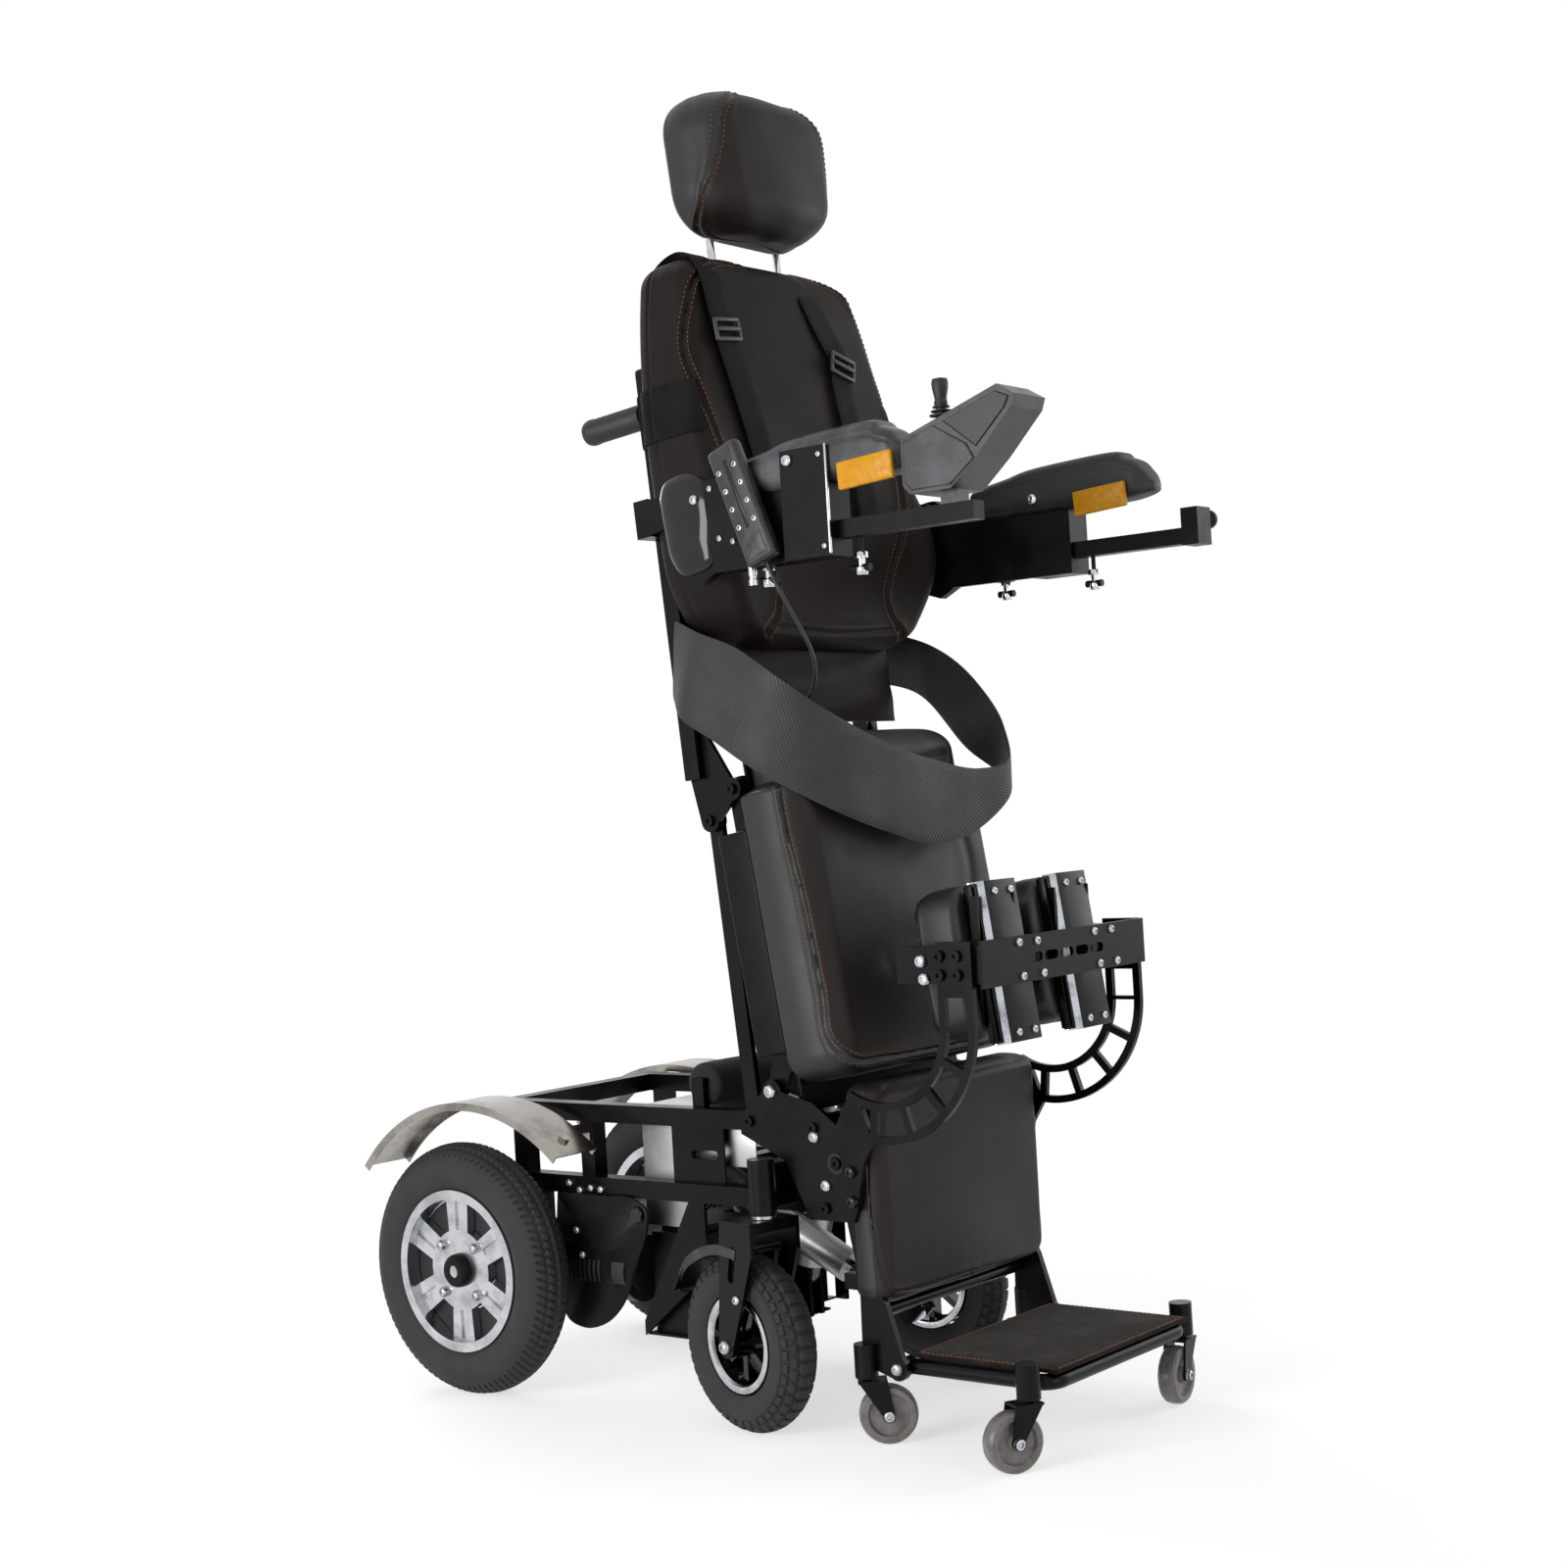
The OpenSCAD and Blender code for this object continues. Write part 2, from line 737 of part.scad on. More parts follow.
// welded side of base: rails, posts, panel, hangers and caster housing
module side_frame() color("#15161a") difference() {
  union() {
    x0 = frame_x - tube/2;
    x1 = frame_x + tube/2;
    block(x0, x1, up_y + tube/2, end_y, top_z - tube, top_z);
    block(x0, x1, low_y + tube/2, low_end_y, low_z - tube, low_z);
    block(x0, x1, post_y - tube/2, post_y + tube/2, low_z - tube/2, top_z - tube/2);
    block(x0, x1, low_end_y - tube, low_end_y, low_z - tube/2, top_z - tube/2);
    block(x0, x1, up_y + tube/2, up_y + 3*tube/2, low_z - tube/2, top_z - tube/2);
    block(frame_x - plate_t/2, frame_x + plate_t/2, panel_rear_y - panel_l, panel_rear_y,
      low_z - tube/2, top_z - tube/2);
    slab_x(frame_x - plate_t, frame_x + plate_t) polygon([
      [batt_y - strut_w, low_z - tube/2], [batt_y, low_z - tube/2],
      [batt_y + batt_d, tray_z + strut_w], [batt_y + batt_d, tray_z],
      [batt_y, tray_z + strut_w*4], [batt_y, tray_z], [batt_y - strut_w, tray_z]]);
    at(stem_y, 0)
      block(frame_x, stem_x, -house_r*web_share, house_r*web_share,
        low_z - tube/2, house_z + house_h - crown_t/2);
    translate([stem_x, stem_y, 0]) rod_z(house_r, house_z, house_z + house_h);
  }
  translate([stem_x, stem_y, 0]) rod_z(stem_bore_r, house_z - fork_t, house_z + house_h - fork_t);
  for (k = [-1, 1])
    at(panel_rear_y - panel_l*slot_share + k*slot_l, (top_z - tube + low_z)/2)
      rod_x(slot_r, frame_x - tube, frame_x + tube);
  at(panel_rear_y - panel_l*slot_share, (top_z - tube + low_z)/2)
    block(frame_x - tube, frame_x + tube, -slot_l, slot_l, -slot_r, slot_r);
}
module side_frame_l() side_frame();
module side_frame_r() right() side_frame();

// pair of lugs with pin between them, about origin, standing along +z
module lugs(reach) {
  for (k = [-1, 1]) translate([k*(eye_half + eye_gap + pivot_t/2), 0, 0])
    slab_x(-pivot_t/2, pivot_t/2) {
      circle(r = eye_r);
      translate([-eye_r, -reach]) square([2*eye_r, reach]);
    }
}

// cross tubes, battery tray, lugs of both actuators and roller bar
module cross_members() color("#15161a") union() {
  x1 = frame_x - tube/2;
  lip_x = act_x + eye_half + eye_gap + pivot_t + strut_w;
  block(-x1, x1, end_y - tube, end_y, top_z - tube, top_z);
  block(-plate_x, plate_x, up_y - tube/2, up_y + tube/2, top_z - tube, top_z);
  block(-plate_x, plate_x, low_y - tube/2, low_y + tube/2, low_z - tube, low_z);
  block(-x1, x1, mid_y - tube/2, mid_y + tube/2, low_z - tube, low_z);
  translate([-act_x, lega_y, lega_z]) {
    rotate([90, 0, 0]) lugs(mid_y - tube/2 - lega_y + plate_t);
    rod_x(pin_r, -eye_half - eye_gap - pivot_t, eye_half + eye_gap + pivot_t);
  }
  translate([act_x, lift_y, lift_z]) {
    lugs(lift_z - tray_z);
    rod_x(pin_r, -eye_half - eye_gap - pivot_t, eye_half + eye_gap + pivot_t);
  }
  block(-lip_x, lip_x, batt_y - 2*strut_w, batt_y, tray_z, tray_top);
  block(-lip_x, lip_x, batt_y - strut_w, batt_y, tray_z, tray_z + strut_w);
  block(-frame_x + plate_t, frame_x - plate_t, batt_y, batt_y + batt_d, tray_z, tray_top);
  both() block(roller_half + soft_gap, frame_x, roller_y - strut_w/2, roller_y + strut_w/2,
    top_z, roller_z + strut_w/2);
  at(roller_y, roller_z) rod_x(roller_bar_r, -roller_half - plate_t, roller_half + plate_t);
}

// padded rest seat lies on when it is down
module seat_roller() color("#1b1c20") at(roller_y, roller_z) difference() {
  rod_x(roller_r, -roller_half, roller_half);
  rod_x(roller_bar_r + soft_gap, -frame_x, frame_x);
}

// battery case with rounded upright edges, lid step and carrying slot
module battery_box() color("#222327") difference() {
  union() {
    at(batt_y + batt_d/2, tray_top) linear_extrude(height = batt_h - batt_round)
      offset(r = batt_round) square([2*(batt_half - batt_round),
        batt_d - 2*batt_round], center = true);
    at(batt_y + batt_d/2, tray_top) linear_extrude(height = batt_h)
      offset(r = batt_round) square([2*(batt_half - 2*batt_round),
        batt_d - 4*batt_round], center = true);
  }
  block(-tube, tube, batt_y + batt_d/2 - batt_round, batt_y + batt_d/2 + batt_round,
    tray_top + batt_h - batt_round/2, tray_top + 2*batt_h);
}

// drive motor, its gearbox, mounting bracket and axle
module motor() color("#2b2c30") union() {
  translate([motor_x, 0, wheel_r]) {
    rod_y(motor_r - motor_rib, motor_y, axle_y - gear_r/2);
    rod_y(motor_r*end_cap_share, motor_y - motor_rib*2, motor_y + motor_rib);
    for (i = [0:motor_ribs - 1])
      at(motor_y + motor_r + i*3*motor_rib, 0) rod_y(motor_r, 0, motor_rib);
    rod_y(motor_r, motor_y, motor_y + motor_r/2);
    rod_y(motor_r, axle_y - gear_r*2, axle_y - gear_r/2);
  }
  at(axle_y, wheel_r) {
    rod_x(gear_r, gear_out_x - gear_w, gear_out_x);
    rod_x(axle_r, gear_out_x - plate_t, track_half + rim_half - spoke_inset - plate_t);
    rod_x(hub_cap_r, gear_out_x - plate_t, gear_out_x + gear_gap);
  }
  block(frame_x - tube/2, frame_x + tube/2, low_end_y - 2*tube, low_end_y, wheel_r, low_z - tube);
  for (k = [0, 1]) at(low_end_y - tube/2 - k*tube, low_z - 3*tube/2)
    bolt_x(frame_x + tube/2);
}
module motor_l() motor();
module motor_r() right() motor();

// brushed steel sheet over rear tyre, rolled edges and bracket to post
module fender() color("#c9ccd0") translate([track_half, axle_y - fend_dy, wheel_r - fend_dz]) union() {
  rotate([0, 90, 0]) rotate([0, 0, 90 + fend_rear]) rotate_extrude(angle = fend_front - fend_rear,
    $fn = 120) {
    translate([fend_in, -fend_half]) square([guard_t, 2*fend_half]);
    for (k = [-1, 1]) translate([fend_in - fend_lip, k*fend_half - (k + 1)*guard_t/2])
      square([fend_lip + guard_t, guard_t]);
  }
  y1 = post_y - axle_y + fend_dy;
  difference() {
    intersection() {
      block(frame_x + tube/2 - track_half, 0, y1 - tube/3, y1 + tube/3,
        top_z - 2*tube - wheel_r + fend_dz, top_z - wheel_r + fend_dz);
      rod_x(fend_in + guard_t/2, -track_half, track_half);
    }
    block(frame_x + tube/2 - track_half + plate_t, track_half, y1 - tube, y1 + tube, 0,
      top_z - 3*tube/2 - wheel_r + fend_dz - plate_t);
  }
  rotate([fend_front - fender_bolt_a, 0, 0]) at(fend_in + guard_t, 0)
    rod_y(bolt_r, -plate_t, bolt_h);
}
module fender_l() fender();
module fender_r() right() fender();

// side plate that carries knee pivot, link pivot and leg pivot
module pivot_plate() color("#101114") union() {
  x1 = plate_x + pivot_t;
  slab_x(plate_x, x1) {
    translate([knee_y, knee_z]) circle(r = eye_r);
    translate([link_y, link_z]) circle(r = eye_r);
    polygon([[link_y + eye_r, link_z], [link_y + eye_r, top_z - tube], [up_y + 2*tube, leg_z],
      [low_y + tube, low_z - tube - plate_t], [arch_end_y, low_z - tube - plate_t],
      [arch_end_y - tube/2, low_z], [arch_end_y - tube/2, leg_z + tube], [up_y, knee_z - tube/2],
      [knee_y - eye_r, knee_z], [knee_y, knee_z + eye_r]]);
  }
  at(knee_y, knee_z) pin_in(pin_r, lug_x);
  at(link_y, link_z) pin_in(pin_r, lug_x);
  at(leg_y, leg_z) pin_in(leg_pin_r, leg_x);
  for (p = [[knee_y, knee_z], [link_y, link_z], [leg_y, leg_z], [up_y, top_z - tube/2],
    [low_y, low_z - tube/2]]) translate([0, p[0], p[1]]) bolt_x(x1);
}
// pin standing inwards from plate, with keeper at its end
module pin_in(r, x_lug) {
  rod_x(r, x_lug - eye_gap - plate_t, plate_x + pivot_t/2);
  rod_x(r + plate_t, x_lug - eye_gap - plate_t, x_lug - eye_gap);
}
module pivot_plate_l() pivot_plate();
module pivot_plate_r() right() pivot_plate();

// ribbed arch that carries knee support in front of shins
module knee_arch() color("#111216") union() {
  a_end = 300;
  slab_x(arch_x, arch_x + arch_t) {
    translate([arch_y, arch_z]) difference() {
      intersection() {
        circle(r = arch_r);
        polygon([[0, 0], for (a = [180:40:a_end]) 2*arch_r*[cos(a), sin(a)]]);
      }
      circle(r = arch_in_r);
      for (k = [0:arch_cells - 1])
        rotate(180 + (k + 0.5)*(a_end - 180)/arch_cells) arch_window((a_end - 180)/arch_cells);
    }
    difference() {
      translate([arch_y - arch_r, arch_z]) square([arch_r - arch_in_r, kbar_z + kbar_h - arch_z]);
      translate([arch_y - arch_r + arch_rib, arch_z])
        square([arch_r - arch_in_r - 2*arch_rib, kbar_z - arch_rib - arch_z]);
    }
    polygon([[arch_y + arch_in_r*cos(a_end), arch_z + arch_in_r*sin(a_end)],
      [arch_y + arch_r*cos(a_end), arch_z + arch_r*sin(a_end)],
      [arch_end_y + tube/3, leg_z], [arch_end_y + tube/3, low_z - tube/2],
      [arch_end_y - tube/2, low_z - tube/2], [arch_end_y - tube, leg_z],
      [arch_y + arch_r*cos(a_end - 24), arch_z + arch_r*sin(a_end - 24)],
      [arch_y + arch_in_r*cos(a_end - 8), arch_z + arch_in_r*sin(a_end - 8)]]);
  }
  for (z = [low_z, leg_z - tube/3]) at(arch_end_y - tube/4, z) bolt_x(arch_x + arch_t);
  for (y = [block_d/4, block_d*0.45]) for (z = [-block_h/4, block_h/4])
    at(kbar_y + y, kmid_z + z) bolt_x(arch_x + arch_t);
}
// opening between two ribs of arch
module arch_window(a) difference() {
  intersection() {
    circle(r = arch_r - arch_rib);
    polygon([[0, 0], 2*arch_r*[cos(a/2), -sin(a/2)], 2*arch_r*[cos(a/2), sin(a/2)]]);
  }
  circle(r = arch_in_r + arch_rib);
  for (k = [-1, 1]) rotate(k*a/2) translate([0, -arch_rib/2]) square([arch_r, arch_rib]);
}
module knee_arch_l() knee_arch();
module knee_arch_r() right() knee_arch();

// slotted cross bar of knee support, adjuster blocks and pad plates
module knee_bar() color("#0d0e11") union() {
  difference() {
    block(-arch_x, arch_x, kbar_y, kbar_y + kbar_t, kbar_z, kbar_z + kbar_h);
    for (x = [-2, -1, 0, 1, 2]) translate([x*slot_l*2, 0, kmid_z]) {
      block(-slot_l/2, slot_l/2, kbar_y - kbar_t, kbar_y + 2*kbar_t, -slot_r, slot_r);
      for (k = [-1, 1]) translate([k*slot_l/2, 0, 0])
        rod_y(slot_r, kbar_y - kbar_t, kbar_y + 2*kbar_t);
    }
  }
  both() {
    difference() {
      block(block_x, arch_x, kbar_y + kbar_t, kbar_y + block_d, kmid_z - block_h/2,
        kmid_z + block_h/2);
      block(block_x - plate_t, arch_x - plate_t, kbar_y + block_d/2, kbar_y + block_d - strut_w,
        kmid_z - block_h/4, kmid_z + block_h/4);
    }
    translate([kpad_x, 0, 0]) {
      block(-kplate_half/2, kplate_half/2, kbar_y + kbar_t, kpad_y - plate_t,
        kmid_z - block_h/4, kmid_z + block_h/4);
      block(-kplate_half, kplate_half, kpad_y - plate_t, kpad_y,
        kmid_z - kpad_h*plate_share, kmid_z + kpad_h*plate_share);
      for (k = [-1, 1]) translate([k*(kplate_half - plate_t/2), 0, 0])
        block(-plate_t/2, plate_t/2, kpad_y - plate_t - fend_lip, kpad_y,
          kmid_z - kpad_h*plate_share, kmid_z + kpad_h*plate_share);
    }
  }
}
// padded knee rest, hollowed along its middle for knee
module knee_pad() color("#17181c") translate([kpad_x, 0, kmid_z - kpad_h/2])
  loft([for (k = [0:10]) let (f = k/10, w = kpad_half*(1 - 0.16*pow(abs(2*f - 1), 3)),
      e = end_fall(f))
    [for (a = [-1:0.2:1]) [w*a, kpad_y + soft_gap, f*kpad_h],
     [w, kpad_y + kpad_t*0.4, f*kpad_h],
     for (a = [1:-0.2:-1]) [w*a, kpad_y + kpad_t*(1 - 0.35*e)
       - crown*(1 - a*a)*(1 - e) - crown*pow(a, 8), f*kpad_h],
     [-w, kpad_y + kpad_t*0.4, f*kpad_h]]]);
module knee_pad_l() knee_pad();
module knee_pad_r() right() knee_pad();

// hollow tyre with two grooves round its tread
module rear_tyre() color("#17181a") translate([track_half, axle_y, wheel_r]) rotate([0, 90, 0])
  rotate_extrude() difference() {
    translate([wheel_r - tyre_sec, 0]) circle(r = tyre_sec);
    translate([wheel_r - tyre_sec, 0]) circle(r = tyre_sec - tyre_wall);
    translate([0, -tyre_sec]) square([barrel_r, 2*tyre_sec]);
    translate([0, -tyre_wall]) square([wheel_r - tyre_sec, 2*tyre_wall]);
    for (k = [-1, 1]) translate([wheel_r - 2*groove_d, k*tyre_sec*tread_share - groove_w/4])
      square([2*groove_d, groove_w/2]);
  }
module tyre_l() rear_tyre();
module tyre_r() right() rear_tyre();

// alloy rim: barrel with lips, grooved spokes, lug bolts and domed cap
module rear_rim() color("#d4d6d9") translate([track_half, axle_y, wheel_r]) rotate([0, 90,
  0]) difference() {
  union() {
    rotate_extrude() {
      translate([barrel_r - rim_wall, -rim_half]) square([rim_wall, 2*rim_half]);
      for (k = [0, 1]) translate([barrel_r - rim_wall, k*(2*rim_half - rim_wall) - rim_half])
        square([lip_r - barrel_r + rim_wall, rim_wall]);
    }
    face_z = rim_half - spoke_inset;
    at(0, face_z - spoke_t) linear_extrude(height = spoke_t) {
      circle(r = hub_r);
      for (i = [0:spoke_count - 1]) rotate(i*360/spoke_count)
        polygon([[0, -spoke_in_w/2], [barrel_r - rim_wall/2, -spoke_out_w/2],
          [barrel_r - rim_wall/2, spoke_out_w/2], [0, spoke_in_w/2]]);
    }
    rod_z(hub_cap_r + rim_wall, -rim_half, face_z);
    at(0, face_z) rotate_extrude() polygon([[0, 0], [hub_cap_r, 0], [hub_cap_r, hub_cap_h*0.6],
      [hub_cap_r*0.86, hub_cap_h*0.9], [hub_cap_r*0.5, hub_cap_h], [0, hub_cap_h]]);
    for (i = [0:lug_count - 1]) rotate((i + 0.5)*360/lug_count) translate([lug_circle_r, 0, 0])
      rod_z(lug_r, face_z - plate_t, face_z + bolt_h, $fn = 6);
  }
  rod_z(axle_r + run_clear, -2*rim_half, rim_half - spoke_inset - board_t/2);
  for (i = [0:spoke_count - 1]) rotate(i*360/spoke_count)
    translate([hub_r, -groove_w/2, rim_half - spoke_inset - groove_d])
      cube([barrel_r - rim_wall - hub_r - rim_wall, groove_w, 2*groove_d]);
}
module rim_l() rear_rim();
module rim_r() right() rear_rim();

// place of front caster's swivel axis, turned as it stands
module caster_place(side, turn) translate([side*stem_x, stem_y, 0]) rotate([0, 0, turn]) children();
// fork of front caster: stem, crown, two slotted legs, axle and mudguard
module caster_fork() color("#1c1d21") union() {
  rod_z(stem_r, fork_top_z - crown_t/2, house_z + house_h - 2*fork_t);
  rod_z(house_r - fork_t/2, fork_top_z - crown_t/2, house_z - eye_gap);
  half = fork_gap/2 + fork_t;
  block(-half, half, -fork_leg_w/3, trail, fork_top_z - crown_t, fork_top_z);
  both() {
    slab_x(fork_gap/2, half) difference() {
      union() {
        polygon([[-fork_leg_w/3, fork_top_z], [trail, fork_top_z],
          [trail + fork_end_r, caster_r], [trail - fork_end_r, caster_r],
          [-fork_leg_w/3, fork_top_z - 3*crown_t]]);
        translate([trail, caster_r]) circle(r = fork_end_r);
      }
      translate([trail/2, fork_top_z - 4*crown_t]) rotate(fork_slot_a) {
        translate([-slot_r, -slot_l]) square([2*slot_r, 2*slot_l]);
        for (k = [-1, 1]) translate([0, k*slot_l]) circle(r = slot_r);
      }
    }
    at(trail, caster_r) bolt_x(half);
  }
  at(trail, caster_r) {
    rod_x(caxle_r, -half, half);
    rotate([0, 90, 0]) rotate([0, 0, 90 + guard_low_a]) rotate_extrude(angle = guard_high_a - guard_low_a)
      translate([caster_r + guard_gap, -fork_gap/2 - fork_t/2]) square([guard_t, fork_gap + fork_t]);
  }
}
module caster_fork_l() caster_place(1, caster_turn_l) caster_fork();
module caster_fork_r() caster_place(-1, caster_turn_r) caster_fork();
// solid tyre with block tread cut across it
module caster_tyre() color("#16171a") at(trail, caster_r) rotate([0, 90, 0]) difference() {
  rotate_extrude() difference() {
    translate([caster_r - cast_sec, 0]) circle(r = cast_sec);
    translate([0, -cast_sec]) square([clip_r + soft_gap, 2*cast_sec]);
    for (k = [-1, 0, 1]) translate([caster_r - groove_d - abs(k)*groove_d,
      k*cast_sec*tread_share - groove_d/2])
      square([3*groove_d, groove_d]);
  }
}
module caster_tyre_l() caster_place(1, caster_turn_l) caster_tyre();
module caster_tyre_r() caster_place(-1, caster_turn_r) caster_tyre();
// spoked caster rim with bored hub
module caster_rim() color("#b9bcc1") at(trail, caster_r) rotate([0, 90, 0]) difference() {
  union() {
    rotate_extrude() translate([clip_r - rim_wall, -cast_half]) square([rim_wall, 2*cast_half]);
    at(0, -cast_half/2) linear_extrude(height = cast_half)
      for (i = [0:cspokes - 1]) rotate(i*360/cspokes)
        translate([0, -cspoke_w/2]) square([clip_r - rim_wall/2, cspoke_w]);
    rod_z(chub_r, -fork_gap/2 + eye_gap, fork_gap/2 - eye_gap);
  }
  rod_z(caxle_r + run_clear, -fork_gap, fork_gap);
}
module caster_rim_l() caster_place(1, caster_turn_l) caster_rim();
module caster_rim_r() caster_place(-1, caster_turn_r) caster_rim();

// place of small caster under footplate
module foot_place(side, y, turn) translate([side*foot_stem_x, y, 0]) rotate([0, 0, turn]) children();
// bent sheet fork of small caster with its stem and axle
module foot_fork() color("#2a2b2f") union() {
  half = small_w/2 + eye_gap;
  rod_z(foot_stem_r, foot_crown_z - sheet_t, sock_z + sock_h - 2*sheet_t);
  block(-half - sheet_t, half + sheet_t, -sock_r*nose_share, foot_trail,
    foot_crown_z - sheet_t, foot_crown_z);
  both() {
    slab_x(half, half + sheet_t) {
      polygon([[-sock_r*nose_share, foot_crown_z], [foot_trail, foot_crown_z],
        [foot_trail + foot_axle_r*2, small_r], [foot_trail - foot_axle_r*2, small_r]]);
      translate([foot_trail, small_r]) circle(r = foot_axle_r*2);
    }
    at(foot_trail, small_r) bolt_x(half + sheet_t);
  }
  at(foot_trail, small_r) rod_x(foot_axle_r, -half - sheet_t, half + sheet_t);
}
module foot_fork_rr() foot_place(-1, heel_stem_y, turn_rr) foot_fork();
module foot_fork_lr() foot_place(1, heel_stem_y, turn_lr) foot_fork();
module foot_fork_rf() foot_place(-1, toe_stem_y, turn_rf) foot_fork();
module foot_fork_lf() foot_place(1, toe_stem_y, turn_lf) foot_fork();
// small wheel with rounded tread and recessed web
module foot_wheel() color("#8d8f8c") at(foot_trail, small_r) rotate([0, 90, 0])
  rotate_extrude() {
    h = small_w/2;
    b = foot_axle_r + run_clear;
    polygon([[b, -h], [b*2.2, -h], [b*2.6, -h*0.55], [small_r*0.66, -h*0.55], [small_r*0.72, -h],
      [small_r*0.9, -h], [small_r*0.97, -h*0.75], [small_r, -h*0.3],
      [small_r, h*0.3], [small_r*0.97, h*0.75], [small_r*0.9, h], [small_r*0.72, h],
      [small_r*0.66, h*0.55], [b*2.6, h*0.55], [b*2.2, h], [b, h]]);
  }
module foot_wheel_rr() foot_place(-1, heel_stem_y, turn_rr) foot_wheel();
module foot_wheel_lr() foot_place(1, heel_stem_y, turn_lr) foot_wheel();
module foot_wheel_rf() foot_place(-1, toe_stem_y, turn_rf) foot_wheel();
module foot_wheel_lf() foot_place(1, toe_stem_y, turn_lf) foot_wheel();

// blind swivel socket of small caster
module foot_socket(y) translate([foot_stem_x, y, 0]) rod_z(sock_r, sock_z, sock_z + sock_h);
module foot_socket_bore(y) translate([foot_stem_x, y, 0])
  rod_z(foot_bore_r, sock_z - sheet_t, sock_z + sock_h - sheet_t);

// leg arms with cross tubes, calf plate, lugs and caster sockets
module leg_frame() color("#131417") difference() {
  union() {
    both() {
      slab_x(leg_x, leg_x + lug_t) {
        translate([leg_y, leg_z]) circle(r = leg_w*0.65);
        polygon([[leg_y + leg_w/2, leg_z], [bend_y + leg_w/2, bend_z],
          [heel_stem_y + sock_r/2, sock_z + sock_h],
          [heel_stem_y + sock_r/2, sock_z + sock_r], [fold_y, fold_z - eye_r],
          [fold_y - eye_r, fold_z], [fold_y - eye_r/2, fold_z + eye_r],
          [bend_y - leg_w, bend_z - leg_w], [bend_y - leg_w/2, bend_z], [leg_y - leg_w/2, leg_z]]);
        translate([fold_y, fold_z]) circle(r = eye_r);
      }
      foot_socket(heel_stem_y);
      at(fold_y, fold_z) {
        rod_x(pin_r, foot_half - ftube_r - plate_t, leg_x + lug_t/2);
        bolt_x(leg_x + lug_t);
      }
    }
    for (z = [calf_low_z + tube, calf_low_z + calf_h - 3*tube])
      at(calf_y + plate_t/2 + ftube_r*0.9, z) rod_x(ftube_r*0.9, -calf_half, calf_half);
    block(-calf_half*calf_share, calf_half*calf_share, calf_y, calf_y + plate_t,
      calf_low_z + tube/2, calf_low_z + calf_h - tube);
    both() {
      block(calf_half - plate_t, leg_x, calf_y, calf_y + strut_w, calf_low_z + tube - ftube_r,
        calf_low_z + tube + ftube_r);
      block(leg_x - 2*plate_t, leg_x + plate_t, bend_y, calf_y + strut_w, calf_low_z + tube - ftube_r,
        calf_low_z + tube + ftube_r);
    }
    at(leg_eye_y - strut_w, leg_eye_z + strut_w) rod_x(ftube_r*0.9, -leg_x - plate_t, leg_x + plate_t);
    translate([-act_x, leg_eye_y, leg_eye_z]) rotate([-135, 0, 0]) lugs(strut_w);
  }
  both() {
    at(leg_y, leg_z) rod_x(leg_bore_r, 0, 2*leg_x);
    foot_socket_bore(heel_stem_y);
  }
}
// padded calf rest with soft crown and drawn-in edges
module calf_pad() color("#17181c") at(0, calf_low_z)
  loft([for (k = [0:12]) let (f = k/12, e = end_fall(f))
    pad_ring(calf_half*end_w(f), calf_y - soft_gap, calf_t*(1 - 0.4*e), f*calf_h,
      crown*(1 - e), calf_t*0.3, 0)]);

// folding footplate: bent tube, floor sheet, hinge eyes, caster sockets
module footplate() color("#1b1c20") difference() {
  union() {
    r = ftube_r;
    z = foot_top_z - r - plate_t/2;
    both() {
      translate([foot_half, 0, z]) rod_y(r, toe_y + r + fbend_r, fold_y);
      translate([foot_half - fbend_r, toe_y + r + fbend_r, z]) rotate([0, 0, -90])
        rotate_extrude(angle = 90) translate([fbend_r, 0]) circle(r = r);
      translate([foot_half, fold_y, fold_z]) rod_x(eye_r - plate_t, -r*0.8, r*0.8);
      block(foot_half, foot_stem_x, toe_stem_y - r*0.8, toe_stem_y + r*0.8, z - r*0.7, z + r*0.7);
      foot_socket(toe_stem_y);
    }
    at(toe_y + r, z) rod_x(r, fbend_r - foot_half, foot_half - fbend_r);
    for (k = [1, 2]) at(fold_y + k*(toe_y - fold_y)/3, z)
      rod_x(r*0.8, -foot_half, foot_half);
    block(-foot_half, foot_half, toe_y + r + fbend_r, fold_y - 2*r, foot_top_z - plate_t, foot_top_z);
    block(fbend_r - foot_half, foot_half - fbend_r, toe_y + r, toe_y + r + fbend_r,
      foot_top_z - plate_t, foot_top_z);
  }
  both() {
    at(fold_y, fold_z) rod_x(pin_bore_r, 0, foot_half*2);
    foot_socket_bore(toe_stem_y);
  }
}
// carpeted mat with rounded corners on footplate
module foot_mat() color("#2c2a2b") at(0, foot_top_z) linear_extrude(height = mat_t)
  translate([-foot_half, toe_y]) {
    w = 2*foot_half;
    l = fold_y - ftube_r - toe_y;
    r = ftube_r;
    translate([r, 0]) square([w - 2*r, l]);
    translate([0, r]) square([w, l - 2*r]);
    for (x = [r, w - r], y = [r, l - r]) translate([x, y]) circle(r = r);
  }

